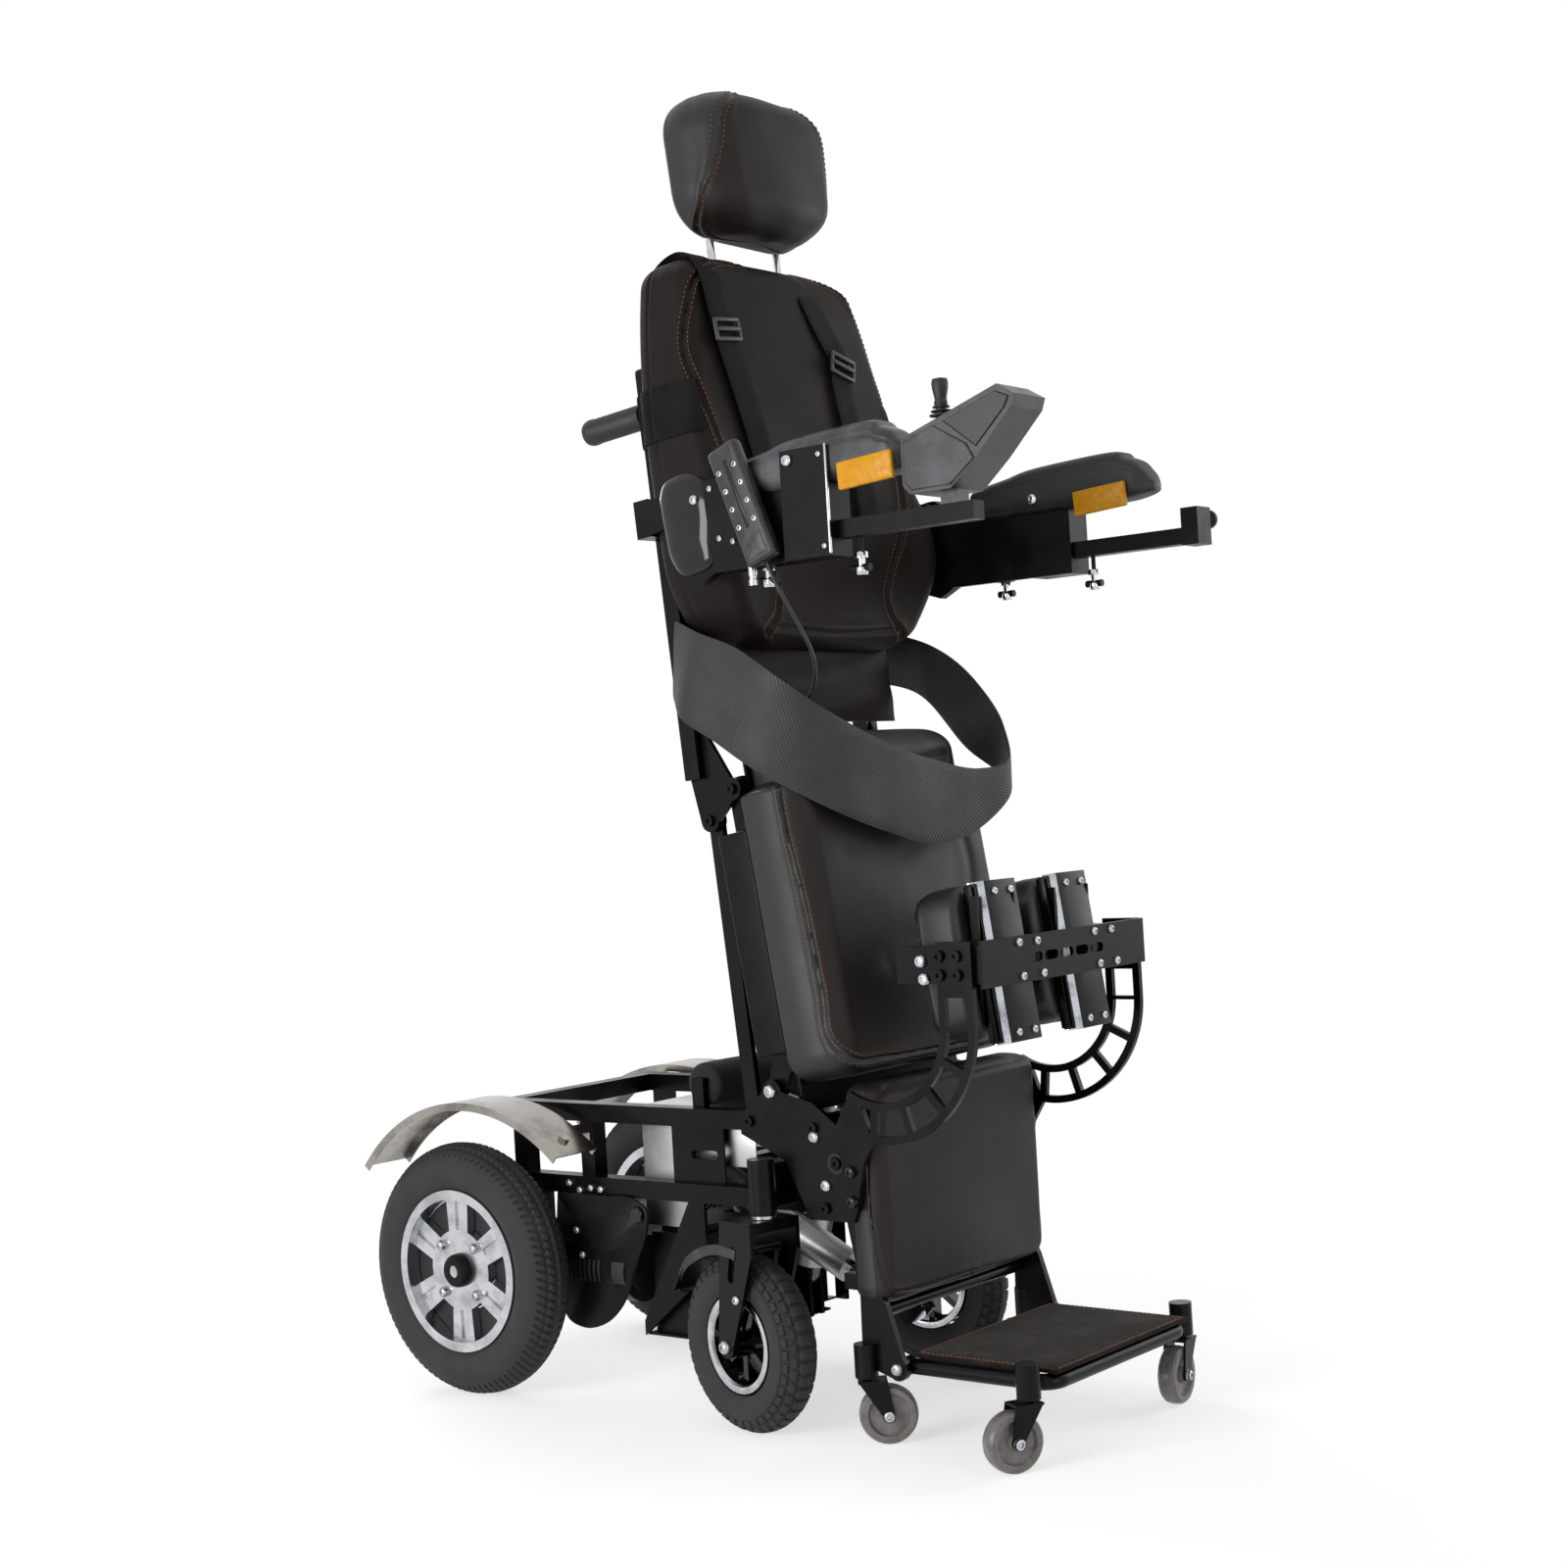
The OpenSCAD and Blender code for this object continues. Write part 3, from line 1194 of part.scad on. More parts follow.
// seat frame: two tubes, cross tubes, board, knee lugs and actuator lugs
module seat_frame() color("#17181b") seat_place() difference() {
  union() {
    both() {
      block(st_x - tube/2, st_x + tube/2, -hip_v - tube/2, -hip_v + tube/2, st_start,
        seat_reach + eye_r);
      slab_x(lug_x, lug_x + lug_t) {
        circle(r = eye_r);
        polygon([[eye_r, 0], [-hip_v + tube/2, st_start + tube], [-hip_v - tube/2, st_start + tube],
          [-hip_v - tube/2, st_start], [-eye_r, 0]]);
      }
    }
    for (u = [lift_lug_u, seat_reach - 2*tube])
      block(-st_x, st_x, -hip_v - tube/2, -hip_v + tube/2, u - tube/2, u + tube/2);
    translate([act_x, lift_lug_v, lift_lug_u]) rotate([90, 0, 0]) rotate([180, 0,
      0]) lugs(hip_v + lift_lug_v - tube/2 + plate_t);
    block(-seat_half_w*board_share, seat_half_w*board_share, -cushion_v, -board_v, cushion_start,
      cushion_start + cushion_l);
  }
  rod_x(pin_bore_r, -2*lug_x, 2*lug_x);
  at(-hip_v, seat_reach) rod_x(pin_bore_r, -2*lug_x, 2*lug_x);
  both() block(seat_in_x, seat_half_w, -cushion_v - plate_t, -board_v, notch_u, 2*seat_reach);
}
// seat cushion with side bolsters, sewn seams and rolled front edge
module seat_cushion() color("#16171b") seat_place() at(0, cushion_start) difference() {
  loft([for (k = [0:16]) let (f = k/16, e = end_fall(f), g = seam_d*exp(-pow((f - 0.88)/0.025, 2)))
    pad_ring(seat_half_w*end_w(f), -cushion_v - soft_gap, cushion_t*(1 - 0.35*e) - g, f*cushion_l,
      crown*(1 - e), cushion_t*0.25, 0)]);
  both() block(seat_in_x, 2*seat_half_w, -3*cushion_t, 0, notch_u - cushion_start, 2*cushion_l);
}

// two side links that keep back upright, joined by cross tube
module back_link() color("#1d1e22") at(link_y, link_z) rotate([-link_lean, 0, 0]) difference() {
  union() {
    both() slab_x(lug_x, lug_x + lug_t) {
      translate([-link_w/2, 0]) square([link_w, link_l]);
      for (z = [0, link_l]) translate([0, z]) circle(r = link_w*0.6);
    }
    at(0, link_l/2) rod_x(link_w/3, -lug_x - plate_t, lug_x + plate_t);
  }
  for (z = [0, link_l]) at(0, z) rod_x(pin_bore_r, -2*lug_x, 2*lug_x);
}

// back frame: tubes, hinge plates, push grips, arm brackets, post sleeves
module back_frame() color("#16171a") back_place() difference() {
  union() {
    y0 = bt_set - tube/2;
    y1 = bt_set + tube/2;
    top = bt_start + bt_l;
    both() {
      block(bt_x - tube/2, bt_x + tube/2, y0, y1, bt_start, top);
      slab_x(plate_x, plate_x + pivot_t) {
        circle(r = eye_r);
        translate([q_y, q_z]) circle(r = eye_r);
        polygon([[-eye_r, 0], [0, -eye_r], [q_y, q_z - eye_r], [q_y + eye_r, q_z], [y1, bt_start],
          [y1, bt_start + 3*tube], [y0, bt_start + 3*tube], [0, eye_r]]);
      }
      rod_x(pin_r, st_x - tube/2 - plate_t, plate_x + plate_t);
      at(q_y, q_z) rod_x(pin_r, lug_x - plate_t, plate_x + plate_t);
      bolt_x(plate_x + pivot_t);
      at(q_y, q_z) bolt_x(plate_x + pivot_t);
      translate([bt_x, 0, top - grip_drop]) {
        rod_y(grip_r*core_share, bt_set, y1 + grip_l);
        rod_y(grip_r, y1 + plate_t, y1 + grip_l - plate_t);
      }
      block(bt_x, arm_in_x + plate_t*2, y0, y1, arm_pin_z - tube, arm_pin_z + tube);
      slab_x(arm_in_x, arm_in_x + 2*plate_t) {
        translate([arm_pin_y, arm_pin_z]) circle(r = eye_r);
        polygon([[y1, arm_pin_z - tube], [y1, arm_pin_z + tube], [arm_pin_y, arm_pin_z + eye_r],
          [arm_pin_y, arm_pin_z - eye_r]]);
      }
      at(arm_pin_y, arm_pin_z) rod_x(pin_r, arm_in_x + plate_t, arm_x + arm_t + bolt_h/2);
      translate([post_x, post_set, 0]) rod_z(post_r + plate_t, top - 3*tube/2,
        back_start + back_l + plate_t);
      block(post_x - post_r, post_x + post_r, post_set, y0 + plate_t, top - tube + plate_t, top - plate_t);
    }
    for (z = [back_start - 2*tube, top - tube])
      block(-bt_x, bt_x, y0, y1, z, z + tube);
  }
  both() translate([post_x, post_set, 0]) rod_z(post_r + run_clear, back_start, back_start + 2*back_l);
}
// half width of back cushion at share f of its height
function back_w(f) = f < 0.24 ? back_foot_half + (back_half_w - back_foot_half)*sin(90*f/0.24)
  : back_half_w - (back_half_w - back_top_half)*pow((f - 0.24)/0.76, 2.6);
// swell of back cushion's side bolsters at share f of its height
function back_swell(f) = bolster*exp(-pow((f - 0.3)/0.22, 2));
// cross seam of back cushion depth
function back_tuck(f) = seam_d*exp(-pow((f - 0.16)/0.025, 2));
// contoured back cushion with bolsters, seams and notches for head posts
module back_cushion() color("#16171b") back_place() difference() {
  at(0, back_start) loft([for (k = [0:18]) let (f = k/18, e = end_fall(f))
    pad_ring(back_w(f)*end_w(f), back_rear, back_t*(1 - 0.35*e) - back_tuck(f), f*back_l,
      crown*(1 - e), back_t*0.25, back_swell(f))]);
  both() block(post_x - post_r - 2*plate_t, post_x + post_r + 2*plate_t,
    post_set - post_r - 2*plate_t, bt_set, min(bt_start + bt_l - 2*tube,
    head_start - post_l - 2*strut_w), back_start + 2*back_l);
}
// quilted cloth that closes gap below back cushion
module hip_panel() color("#1a1b20") back_place() at(0, hip_low)
  loft([for (k = [0:8]) let (f = k/8, w = hip_half, s = hip_t*(0.35 + 0.65*sin(180*f)),
      h = (back_start - soft_gap - hip_low)*f)
    [for (a = [-1:0.2:1]) [w*a, -hip_set - s*(1 - 0.7*pow(a, 6))*(1 - 0.25*pow(cos(540*a), 2)), h],
     for (a = [1:-0.2:-1]) [w*a, -hip_set + s*0.2*(1 - pow(a, 6)), h]]]);

// flat strap through pairs of edge points, thickened along its own face
module strap(rows, t) {
  n = len(rows);
  mids = [for (r = rows) (r[0] + r[1])/2];
  nrm = [for (k = [0:n - 1]) let (d = mids[min(k + 1, n - 1)] - mids[max(k - 1, 0)], c = cross(d,
    rows[k][0] - rows[k][1]))
    c/norm(c)];
  loft([for (k = [0:n - 1]) [rows[k][0] + nrm[k]*t/2, rows[k][1] + nrm[k]*t/2,
    rows[k][1] - nrm[k]*t/2, rows[k][0] - nrm[k]*t/2]]);
}
// wide lap belt that sags across front of hips
module lap_belt() color("#121318") strap([for (p = belt_route) [[p[0], p[1], p[2]], [p[0], p[3], p[4]]]],
  web_t*2);
// x, then y and z of lap belt's upper and lower edge
belt_route = [[-205.4, -8, 1062, 2, 958], [-224, -60, 1040, -25, 932], [-226, -118, 1016, -80, 900],
  [-217, -190, 966, -152, 852], [-164, -230, 922, -224, 800], [-75, -246, 886, -240, 768],
  [20, -254, 862, -246, 748], [112, -262, 848, -252, 764], [184, -262, 860, -258, 806],
  [214, -236, 905, -230, 832], [226, -190, 962, -168, 874], [226, -106, 1026, -86, 960],
  [205.4, -10, 1060, 0, 985]]*route_unit;

// face of back cushion at height s and x across
function back_front(s, x) = let (f = (s - back_start)/back_l, e = end_fall(f), a = x/back_w(f))
  back_t*(1 - 0.35*e) - back_rear + face_out(a, crown*(1 - e), back_t*0.25) + seam_d;
// shoulder straps over top of back and chest band at its sides
module harness() color("#0f1013") back_place() union() {
  both() {
    top = back_start + back_l;
    strap([strap_row(back_rear + strap_gap, top - 2*strap_w), strap_row(back_rear + strap_gap, top - strap_w),
      strap_row(back_rear + strap_gap, top), strap_row(back_rear - strap_gap, top + strap_gap),
      strap_row(-back_front(top, strap_x), top + strap_gap),
      for (d = [0, 0.4, 0.8, 1.2, 1.8, 2.6, 3.6, 4.8, 6]) let (s = top - d*strap_w/2)
        strap_row(-back_front(s, strap_x) - 2*strap_gap, s)], web_t);
    strap([for (k = [0:6]) let (y = bt_set + tube/2 - k*band_l/6) band_row(y)], web_t);
  }
}
function strap_row(y, z) = [[strap_x + strap_w/2, y, z], [strap_x - strap_w/2, y, z]];
function band_x(y, z) = y > bt_set - tube/2 - strap_gap ? bt_x + tube/2 + web_t
  : back_w((z - back_start)/back_l) + strap_gap;
function band_row(y) = [for (z = [band_z - strap_w, band_z + strap_w]) [band_x(y, z), y, z]];

// two chromed posts that carry headrest
module headrest_posts() color("#c4c7cb") back_place() both() translate([post_x, post_set, 0])
  rod_z(post_r, head_start - post_l, head_start + head_h/3);
// thick headrest with crowned face and drawn-in sides
module headrest_pad() color("#16171b") back_place() difference() {
  at(0, head_start) loft([for (k = [0:12]) let (f = k/12, e = end_fall(f))
    pad_ring(head_half_w*end_w(f)*(1 - 0.05*(1 - f)), post_set + head_t/2, head_t*(1 - 0.2*e), f*head_h,
      crown*(1 - e), head_t*0.25, 0)]);
  both() translate([post_x, post_set, 0]) rod_z(post_r + soft_gap, head_start - post_l,
    head_start + head_h/3 + soft_gap);
}

// arm side plate with hinge eye, moulded cover, box and adjuster bar
module arm_plate() {
  slab_x(arm_x, arm_x + arm_t) difference() {
    union() {
      translate([arm_y, arm_z]) circle(r = eye_r + plate_t);
      polygon([[arm_y, arm_z + eye_r], [arm_y + eye_r, arm_z], [arm_y - tube, arm_low_z + tube],
        [arm_y - 2*tube, arm_low_z], [arm_end_y, arm_low_z], [arm_end_y, arm_top_z], [pad_y + plate_t,
        arm_top_z],
        [pad_y + plate_t, arm_z + eye_r]]);
    }
    translate([arm_y, arm_z]) circle(r = pin_bore_r);
  }
  slab_x(arm_x + arm_t, arm_x + arm_t + cover_t) difference() {
    union() {
      translate([arm_y, arm_z]) circle(r = eye_r*2);
      polygon([[arm_y + 2*eye_r, arm_z], [arm_y + eye_r, arm_low_z], [arm_y - tube, arm_low_z - tube/2],
        [pad_y + tube, arm_low_z + tube/2], [pad_y + tube/4, arm_z], [arm_y - tube, arm_z + 2*eye_r]]);
    }
    translate([arm_y, arm_z]) circle(r = bolt_r + eye_gap);
  }
  block(arm_x + arm_t, arm_x + arm_t + box_w, arm_end_y, arm_end_y + box_l, arm_low_z, arm_top_z);
  block(bar_x - bar_side/2, bar_x + bar_side/2, bar_y, arm_end_y + box_l/2, bar_z - bar_side/2,
    bar_z + bar_side/2);
  for (y = [arm_end_y - tube, arm_end_y + box_l + 2*tube]) translate([arm_x + arm_t + tube/3, y, 0]) {
    rod_z(pin_r/2, arm_low_z - 2*tube/3, bar_z);
    at(0, arm_low_z - 2*tube/3) rod_y(pin_r*0.8, -tube/2, tube/2);
  }
  block(arm_x, arm_x + arm_t + tube/2, arm_end_y + box_l + 3*tube/2, arm_end_y + box_l + 5*tube/2,
    arm_low_z,
    arm_low_z + tube/2);
}
// upholstered arm pad with rounded front and reflector strips
module arm_pad(side, l) translate([side*(pad_in_x + pad_w/2), pad_y, pad_z]) rotate([90, 0, 0])
  loft([for (k = [0:12]) let (f = k/12, g = pow(max(0, (f - 0.72)/0.28), 2), e = pow(max(0,
    (0.06 - f)/0.06), 2),
      w = pad_w/2*(1 - 0.3*g - 0.06*e), h = pad_t*(1 - 0.3*g - 0.1*e))
    [for (a = [0:15]) let (t = 360*a/16 + 11.25, cx = cos(t), cy = sin(t),
        q = pow(pow(abs(cx), 4) + pow(abs(cy), 4), -0.25))
      [w*cx*q, soft_gap + pad_t*0.15*g + h/2 + h/2*cy*q, f*l]]]);
module arm_pad_l() color("#17181b") arm_pad(1, pad_l);
module arm_pad_r() color("#17181b") arm_pad(-1, pad_y - module_y - strap_gap);
// right arm with side skin beside pad and handset holder
module arm_r() color("#1a1b1e") right() union() {
  arm_plate();
  block(pad_in_x + pad_w + soft_gap, arm_x + arm_t + box_w, arm_end_y, arm_end_y + box_l, arm_low_z,
    pad_z + pad_t*skin_share);
  block(arm_x + arm_t/2, half_width - handset_d, handset_y - tube/2, handset_y + tube/2, handset_z - tube/2,
    arm_top_z);
}
// left arm with clamp block and ball knob for second control
module arm_l() color("#1a1b1e") union() {
  arm_plate();
  block(bar_x - bar_side, bar_x + bar_side/2 + plate_t, bar_y, bar_y + tube, bar_z - bar_side/2 - plate_t,
    bar_z + bar_side/2 + tube);
  at(bar_y + tube/2, bar_z + bar_side) {
    rod_x(pin_r/2, bar_x, half_width - knob_r);
    translate([half_width - knob_r, 0, 0]) sphere(r = knob_r);
  }
}
// wedge-shaped joystick module with round seat for stick
module joystick_module() color("#17181a") difference() {
  union() {
    slab_x(-pad_in_x - module_w, -pad_in_x) polygon([[module_y, module_z + chin],
      [module_y, module_z + chin + tail_h],
      [nose_l - half_length, module_z + chin + tail_h + mod_rise],
      [-half_length, module_z + chin + tail_h + mod_rise - nose_h],
      [-half_length + chin/2, module_z + chin + tail_h + mod_rise - 2*nose_h],
      [module_y - bend_l, module_z + bend_h], [module_y - flat_l, module_z],
      [module_y - chin, module_z]]);
    block(-bar_x - bar_side/2, -bar_x + bar_side/2, module_y - flat_l, module_y - flat_l + tube,
      bar_z + bar_side/2, module_z + chin);
  }
  translate([stick_x, stick_y, stick_z]) rod_z(ball_r + eye_gap/2, -ball_r - eye_gap, half_length);
}
// joystick: ball base, ribbed boot and waisted knob
module joystick() color("#101113") translate([stick_x, stick_y, stick_z]) union() {
  sphere(r = ball_r);
  rod_z(stick_r*0.6, 0, stick_h*0.6);
  for (k = [0:3]) at(0, ball_r + boot_step*(k + 0.6))
    rotate_extrude() polygon([[0, 0], [ball_r*(0.9 - 0.13*k), boot_step*0.3],
      [ball_r*(0.9 - 0.13*k), boot_step*0.6], [0, boot_step*0.9]]);
  at(0, stick_h*0.5) rotate_extrude() polygon([[0, 0], [stick_r*0.8, 0], [stick_r*0.72, stick_h*0.12],
    [stick_r*0.95, stick_h*0.3], [stick_r, stick_h*0.4], [stick_r*0.9, stick_h*0.47], [0, stick_h*0.5]]);
}
// hand control with two rows of keys
module handset() color("#1d1e20") translate([-half_width, handset_y, handset_z]) rotate([-hand_lean, 0,
  0]) union() {
  r = handset_w/6;
  slab_x(key_h, handset_d) translate([-handset_w/2, -handset_l/2]) {
    translate([r, 0]) square([handset_w - 2*r, handset_l]);
    translate([0, r]) square([handset_w, handset_l - 2*r]);
    for (y = [r, handset_w - r], z = [r, handset_l - r]) translate([y, z]) circle(r = r);
  }
  for (c = [-1, 1], k = [-2:2]) at(c*handset_w/4, k*handset_l/6)
    block(0, key_h + plate_t, -handset_w/7, handset_w/7, -handset_l/16, handset_l/16);
}
// loose cable of handset, from its foot behind belt to back frame
module handset_cable() color("#0c0d0e") {
  n = len(cable_route);
  loft([for (k = [0:n - 1]) let (d = cable_route[min(k + 1, n - 1)] - cable_route[max(k - 1, 0)],
      u = cross([0, 1, 0], d)/norm(cross([0, 1, 0], d)), v = cross(d, u)/norm(cross(d, u)))
    [for (t = [0:45:315]) cable_route[k]*route_unit + cable_r*(cos(t)*u + sin(t)*v)]]);
}
// way of handset cable
cable_route = [[-300, -246, 1108], [-298, -255, 1084], [-288, -264, 1056], [-270, -268, 1027],
  [-246, -264, 1000], [-221, -249, 975], [-194, -220, 954], [-178, -190, 938], [-178, -160, 930],
  [-186, -120, 932], [-190, -80, 935], [-190, -50, 933], [-190, -27, 930]];

// place of actuator, its foot at origin and its rod along z
module lift_place() translate([act_x, lift_y, lift_z]) rotate([lift_a, 0, 0]) children();
module leg_place() translate([-act_x, lega_y, lega_z]) rotate([leg_a, 0, 0]) children();
// actuator body: foot eye, gear head and bored tube
module act_tube(l) difference() {
  union() {
    rod_x(eye_r, -eye_half, eye_half);
    block(-eye_half, eye_half, -eye_r, eye_r, 0, eye_r + plate_t);
    rod_z(act_r*head_share, eye_r + plate_t, eye_r + plate_t + 2*act_r);
    rod_z(act_r, eye_r + plate_t, eye_r + plate_t + l);
  }
  rod_x(pin_bore_r, -act_r, act_r);
  rod_z(act_rod_r + run_clear, eye_r + plate_t + l - act_bore, leg_l + lift_l);
}
// actuator rod with eye and pin at its end
module act_rod(l, rod_l) union() {
  rod_z(act_rod_r, l - rod_l, l - eye_r - plate_t);
  block(-eye_half, eye_half, -act_rod_r, act_rod_r, l - eye_r - 2*plate_t, l);
  at(0, l) rod_x(eye_r, -eye_half, eye_half);
}
module lift_tube() color("#b4b7bb") lift_place() act_tube(lift_tube_l);
module lift_rod() color("#d8dadd") lift_place() act_rod(lift_l, lift_rod_l);
module leg_tube() color("#b4b7bb") leg_place() act_tube(leg_tube_l);
module leg_rod() color("#d8dadd") leg_place() act_rod(leg_l, leg_rod_l);

side_frame_r();
side_frame_l();
cross_members();
battery_box();
motor_r();
motor_l();
fender_r();
fender_l();
pivot_plate_r();
pivot_plate_l();
seat_roller();
knee_arch_r();
knee_arch_l();
knee_bar();
knee_pad_r();
knee_pad_l();
tyre_r();
rim_r();
tyre_l();
rim_l();
caster_fork_r();
caster_tyre_r();
caster_rim_r();
caster_fork_l();
caster_tyre_l();
caster_rim_l();
foot_fork_rr();
foot_wheel_rr();
foot_fork_lr();
foot_wheel_lr();
foot_fork_rf();
foot_wheel_rf();
foot_fork_lf();
foot_wheel_lf();
leg_frame();
calf_pad();
footplate();
foot_mat();
seat_frame();
seat_cushion();
back_link();
back_frame();
back_cushion();
hip_panel();
lap_belt();
harness();
headrest_posts();
headrest_pad();
arm_r();
arm_pad_r();
joystick_module();
joystick();
handset();
handset_cable();
arm_l();
arm_pad_l();
lift_tube();
lift_rod();
leg_tube();
leg_rod();
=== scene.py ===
"""Standing power wheelchair: upholstery, tyres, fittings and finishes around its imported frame.

Front is -Y, up is +Z and the rider's right is -X. Sizes are millimetres until a piece is made.
"""

import logging
import math
from dataclasses import dataclass, field
from enum import Enum
from typing import Callable, Sequence

import bmesh
import bpy
import numpy as np
from mathutils import Matrix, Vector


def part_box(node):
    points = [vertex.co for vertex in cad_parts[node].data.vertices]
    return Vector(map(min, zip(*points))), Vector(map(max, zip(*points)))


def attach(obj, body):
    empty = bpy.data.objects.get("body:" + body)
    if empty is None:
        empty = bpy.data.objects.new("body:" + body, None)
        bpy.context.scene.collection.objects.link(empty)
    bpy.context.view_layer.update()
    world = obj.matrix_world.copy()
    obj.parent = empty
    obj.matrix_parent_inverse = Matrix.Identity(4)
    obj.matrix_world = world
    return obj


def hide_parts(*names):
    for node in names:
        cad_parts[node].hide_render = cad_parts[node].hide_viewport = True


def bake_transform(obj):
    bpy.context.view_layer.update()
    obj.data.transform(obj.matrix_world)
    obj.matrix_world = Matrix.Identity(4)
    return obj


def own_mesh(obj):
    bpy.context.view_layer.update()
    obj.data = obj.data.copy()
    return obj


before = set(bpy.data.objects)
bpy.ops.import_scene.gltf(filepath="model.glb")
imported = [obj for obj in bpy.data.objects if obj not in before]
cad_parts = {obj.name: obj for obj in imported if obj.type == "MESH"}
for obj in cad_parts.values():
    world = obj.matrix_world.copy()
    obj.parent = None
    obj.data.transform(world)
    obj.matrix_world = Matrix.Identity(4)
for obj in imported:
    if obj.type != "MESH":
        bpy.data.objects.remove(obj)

log = logging.getLogger("wheelchair")
MM = 0.001
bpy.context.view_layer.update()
Array = np.ndarray
SIDES = {"r": -1.0, "l": 1.0}
CORNERS = ("rr", "lr", "rf", "lf")
UP = np.array([0.0, 0.0, 1.0])
# Noise levels between which the patches of a finish fade in.
PATCH_EDGE = (0.42, 0.68)
# Period of a wave texture at scale 1.
WAVE_PERIOD = 0.314


def linear(colour: str) -> tuple[float, float, float, float]:
    """Turns an sRGB hex colour into linear light.

    Args:
        colour: six hex digits after a hash.

    Returns:
        Red, green, blue and alpha.
    """
    parts = np.array([int(colour[k:k + 2], 16) for k in (1, 3, 5)]) / 255.0
    light = np.where(parts <= 0.04045, parts / 12.92, ((parts + 0.055) / 1.055) ** 2.4)
    return (*light.tolist(), 1.0)


def add_node(tree: bpy.types.NodeTree, kind: str, settings: dict | None = None,
             inputs: dict | None = None) -> bpy.types.Node:
    """Adds a node, sets it up and links it.

    Args:
        tree: the material's or world's nodes.
        kind: the node's type name.
        settings: attributes of the node.
        inputs: socket name or index to a constant, or to the socket that feeds it.

    Returns:
        The new node.
    """
    node = tree.nodes.new(kind)
    for key, value in (settings or {}).items():
        setattr(node, key, value)
    for key, value in (inputs or {}).items():
        if isinstance(value, bpy.types.NodeSocket):
            tree.links.new(value, node.inputs[key])
        else:
            node.inputs[key].default_value = value
    return node


def seen_plainly(tree: bpy.types.NodeTree) -> bpy.types.NodeSocket:
    """Adds a switch that is 1 for rays from the camera, from mirrors and through glass.

    Args:
        tree: the material's or world's nodes.

    Returns:
        The switch's socket.
    """
    path = add_node(tree, "ShaderNodeLightPath")
    mirror = add_node(tree, "ShaderNodeMath", {"operation": "MAXIMUM"},
                      {0: path.outputs["Is Camera Ray"], 1: path.outputs["Is Glossy Ray"]})
    glass = add_node(tree, "ShaderNodeMath", {"operation": "MAXIMUM"},
                     {0: mirror.outputs[0], 1: path.outputs["Is Transmission Ray"]})
    return glass.outputs[0]


class Pattern(Enum):
    """The fine relief of a surface."""

    GRAIN = "grain"
    TWILL = "twill"
    PEEL = "peel"
    BRUSHED = "brushed"
    LOOPS = "loops"


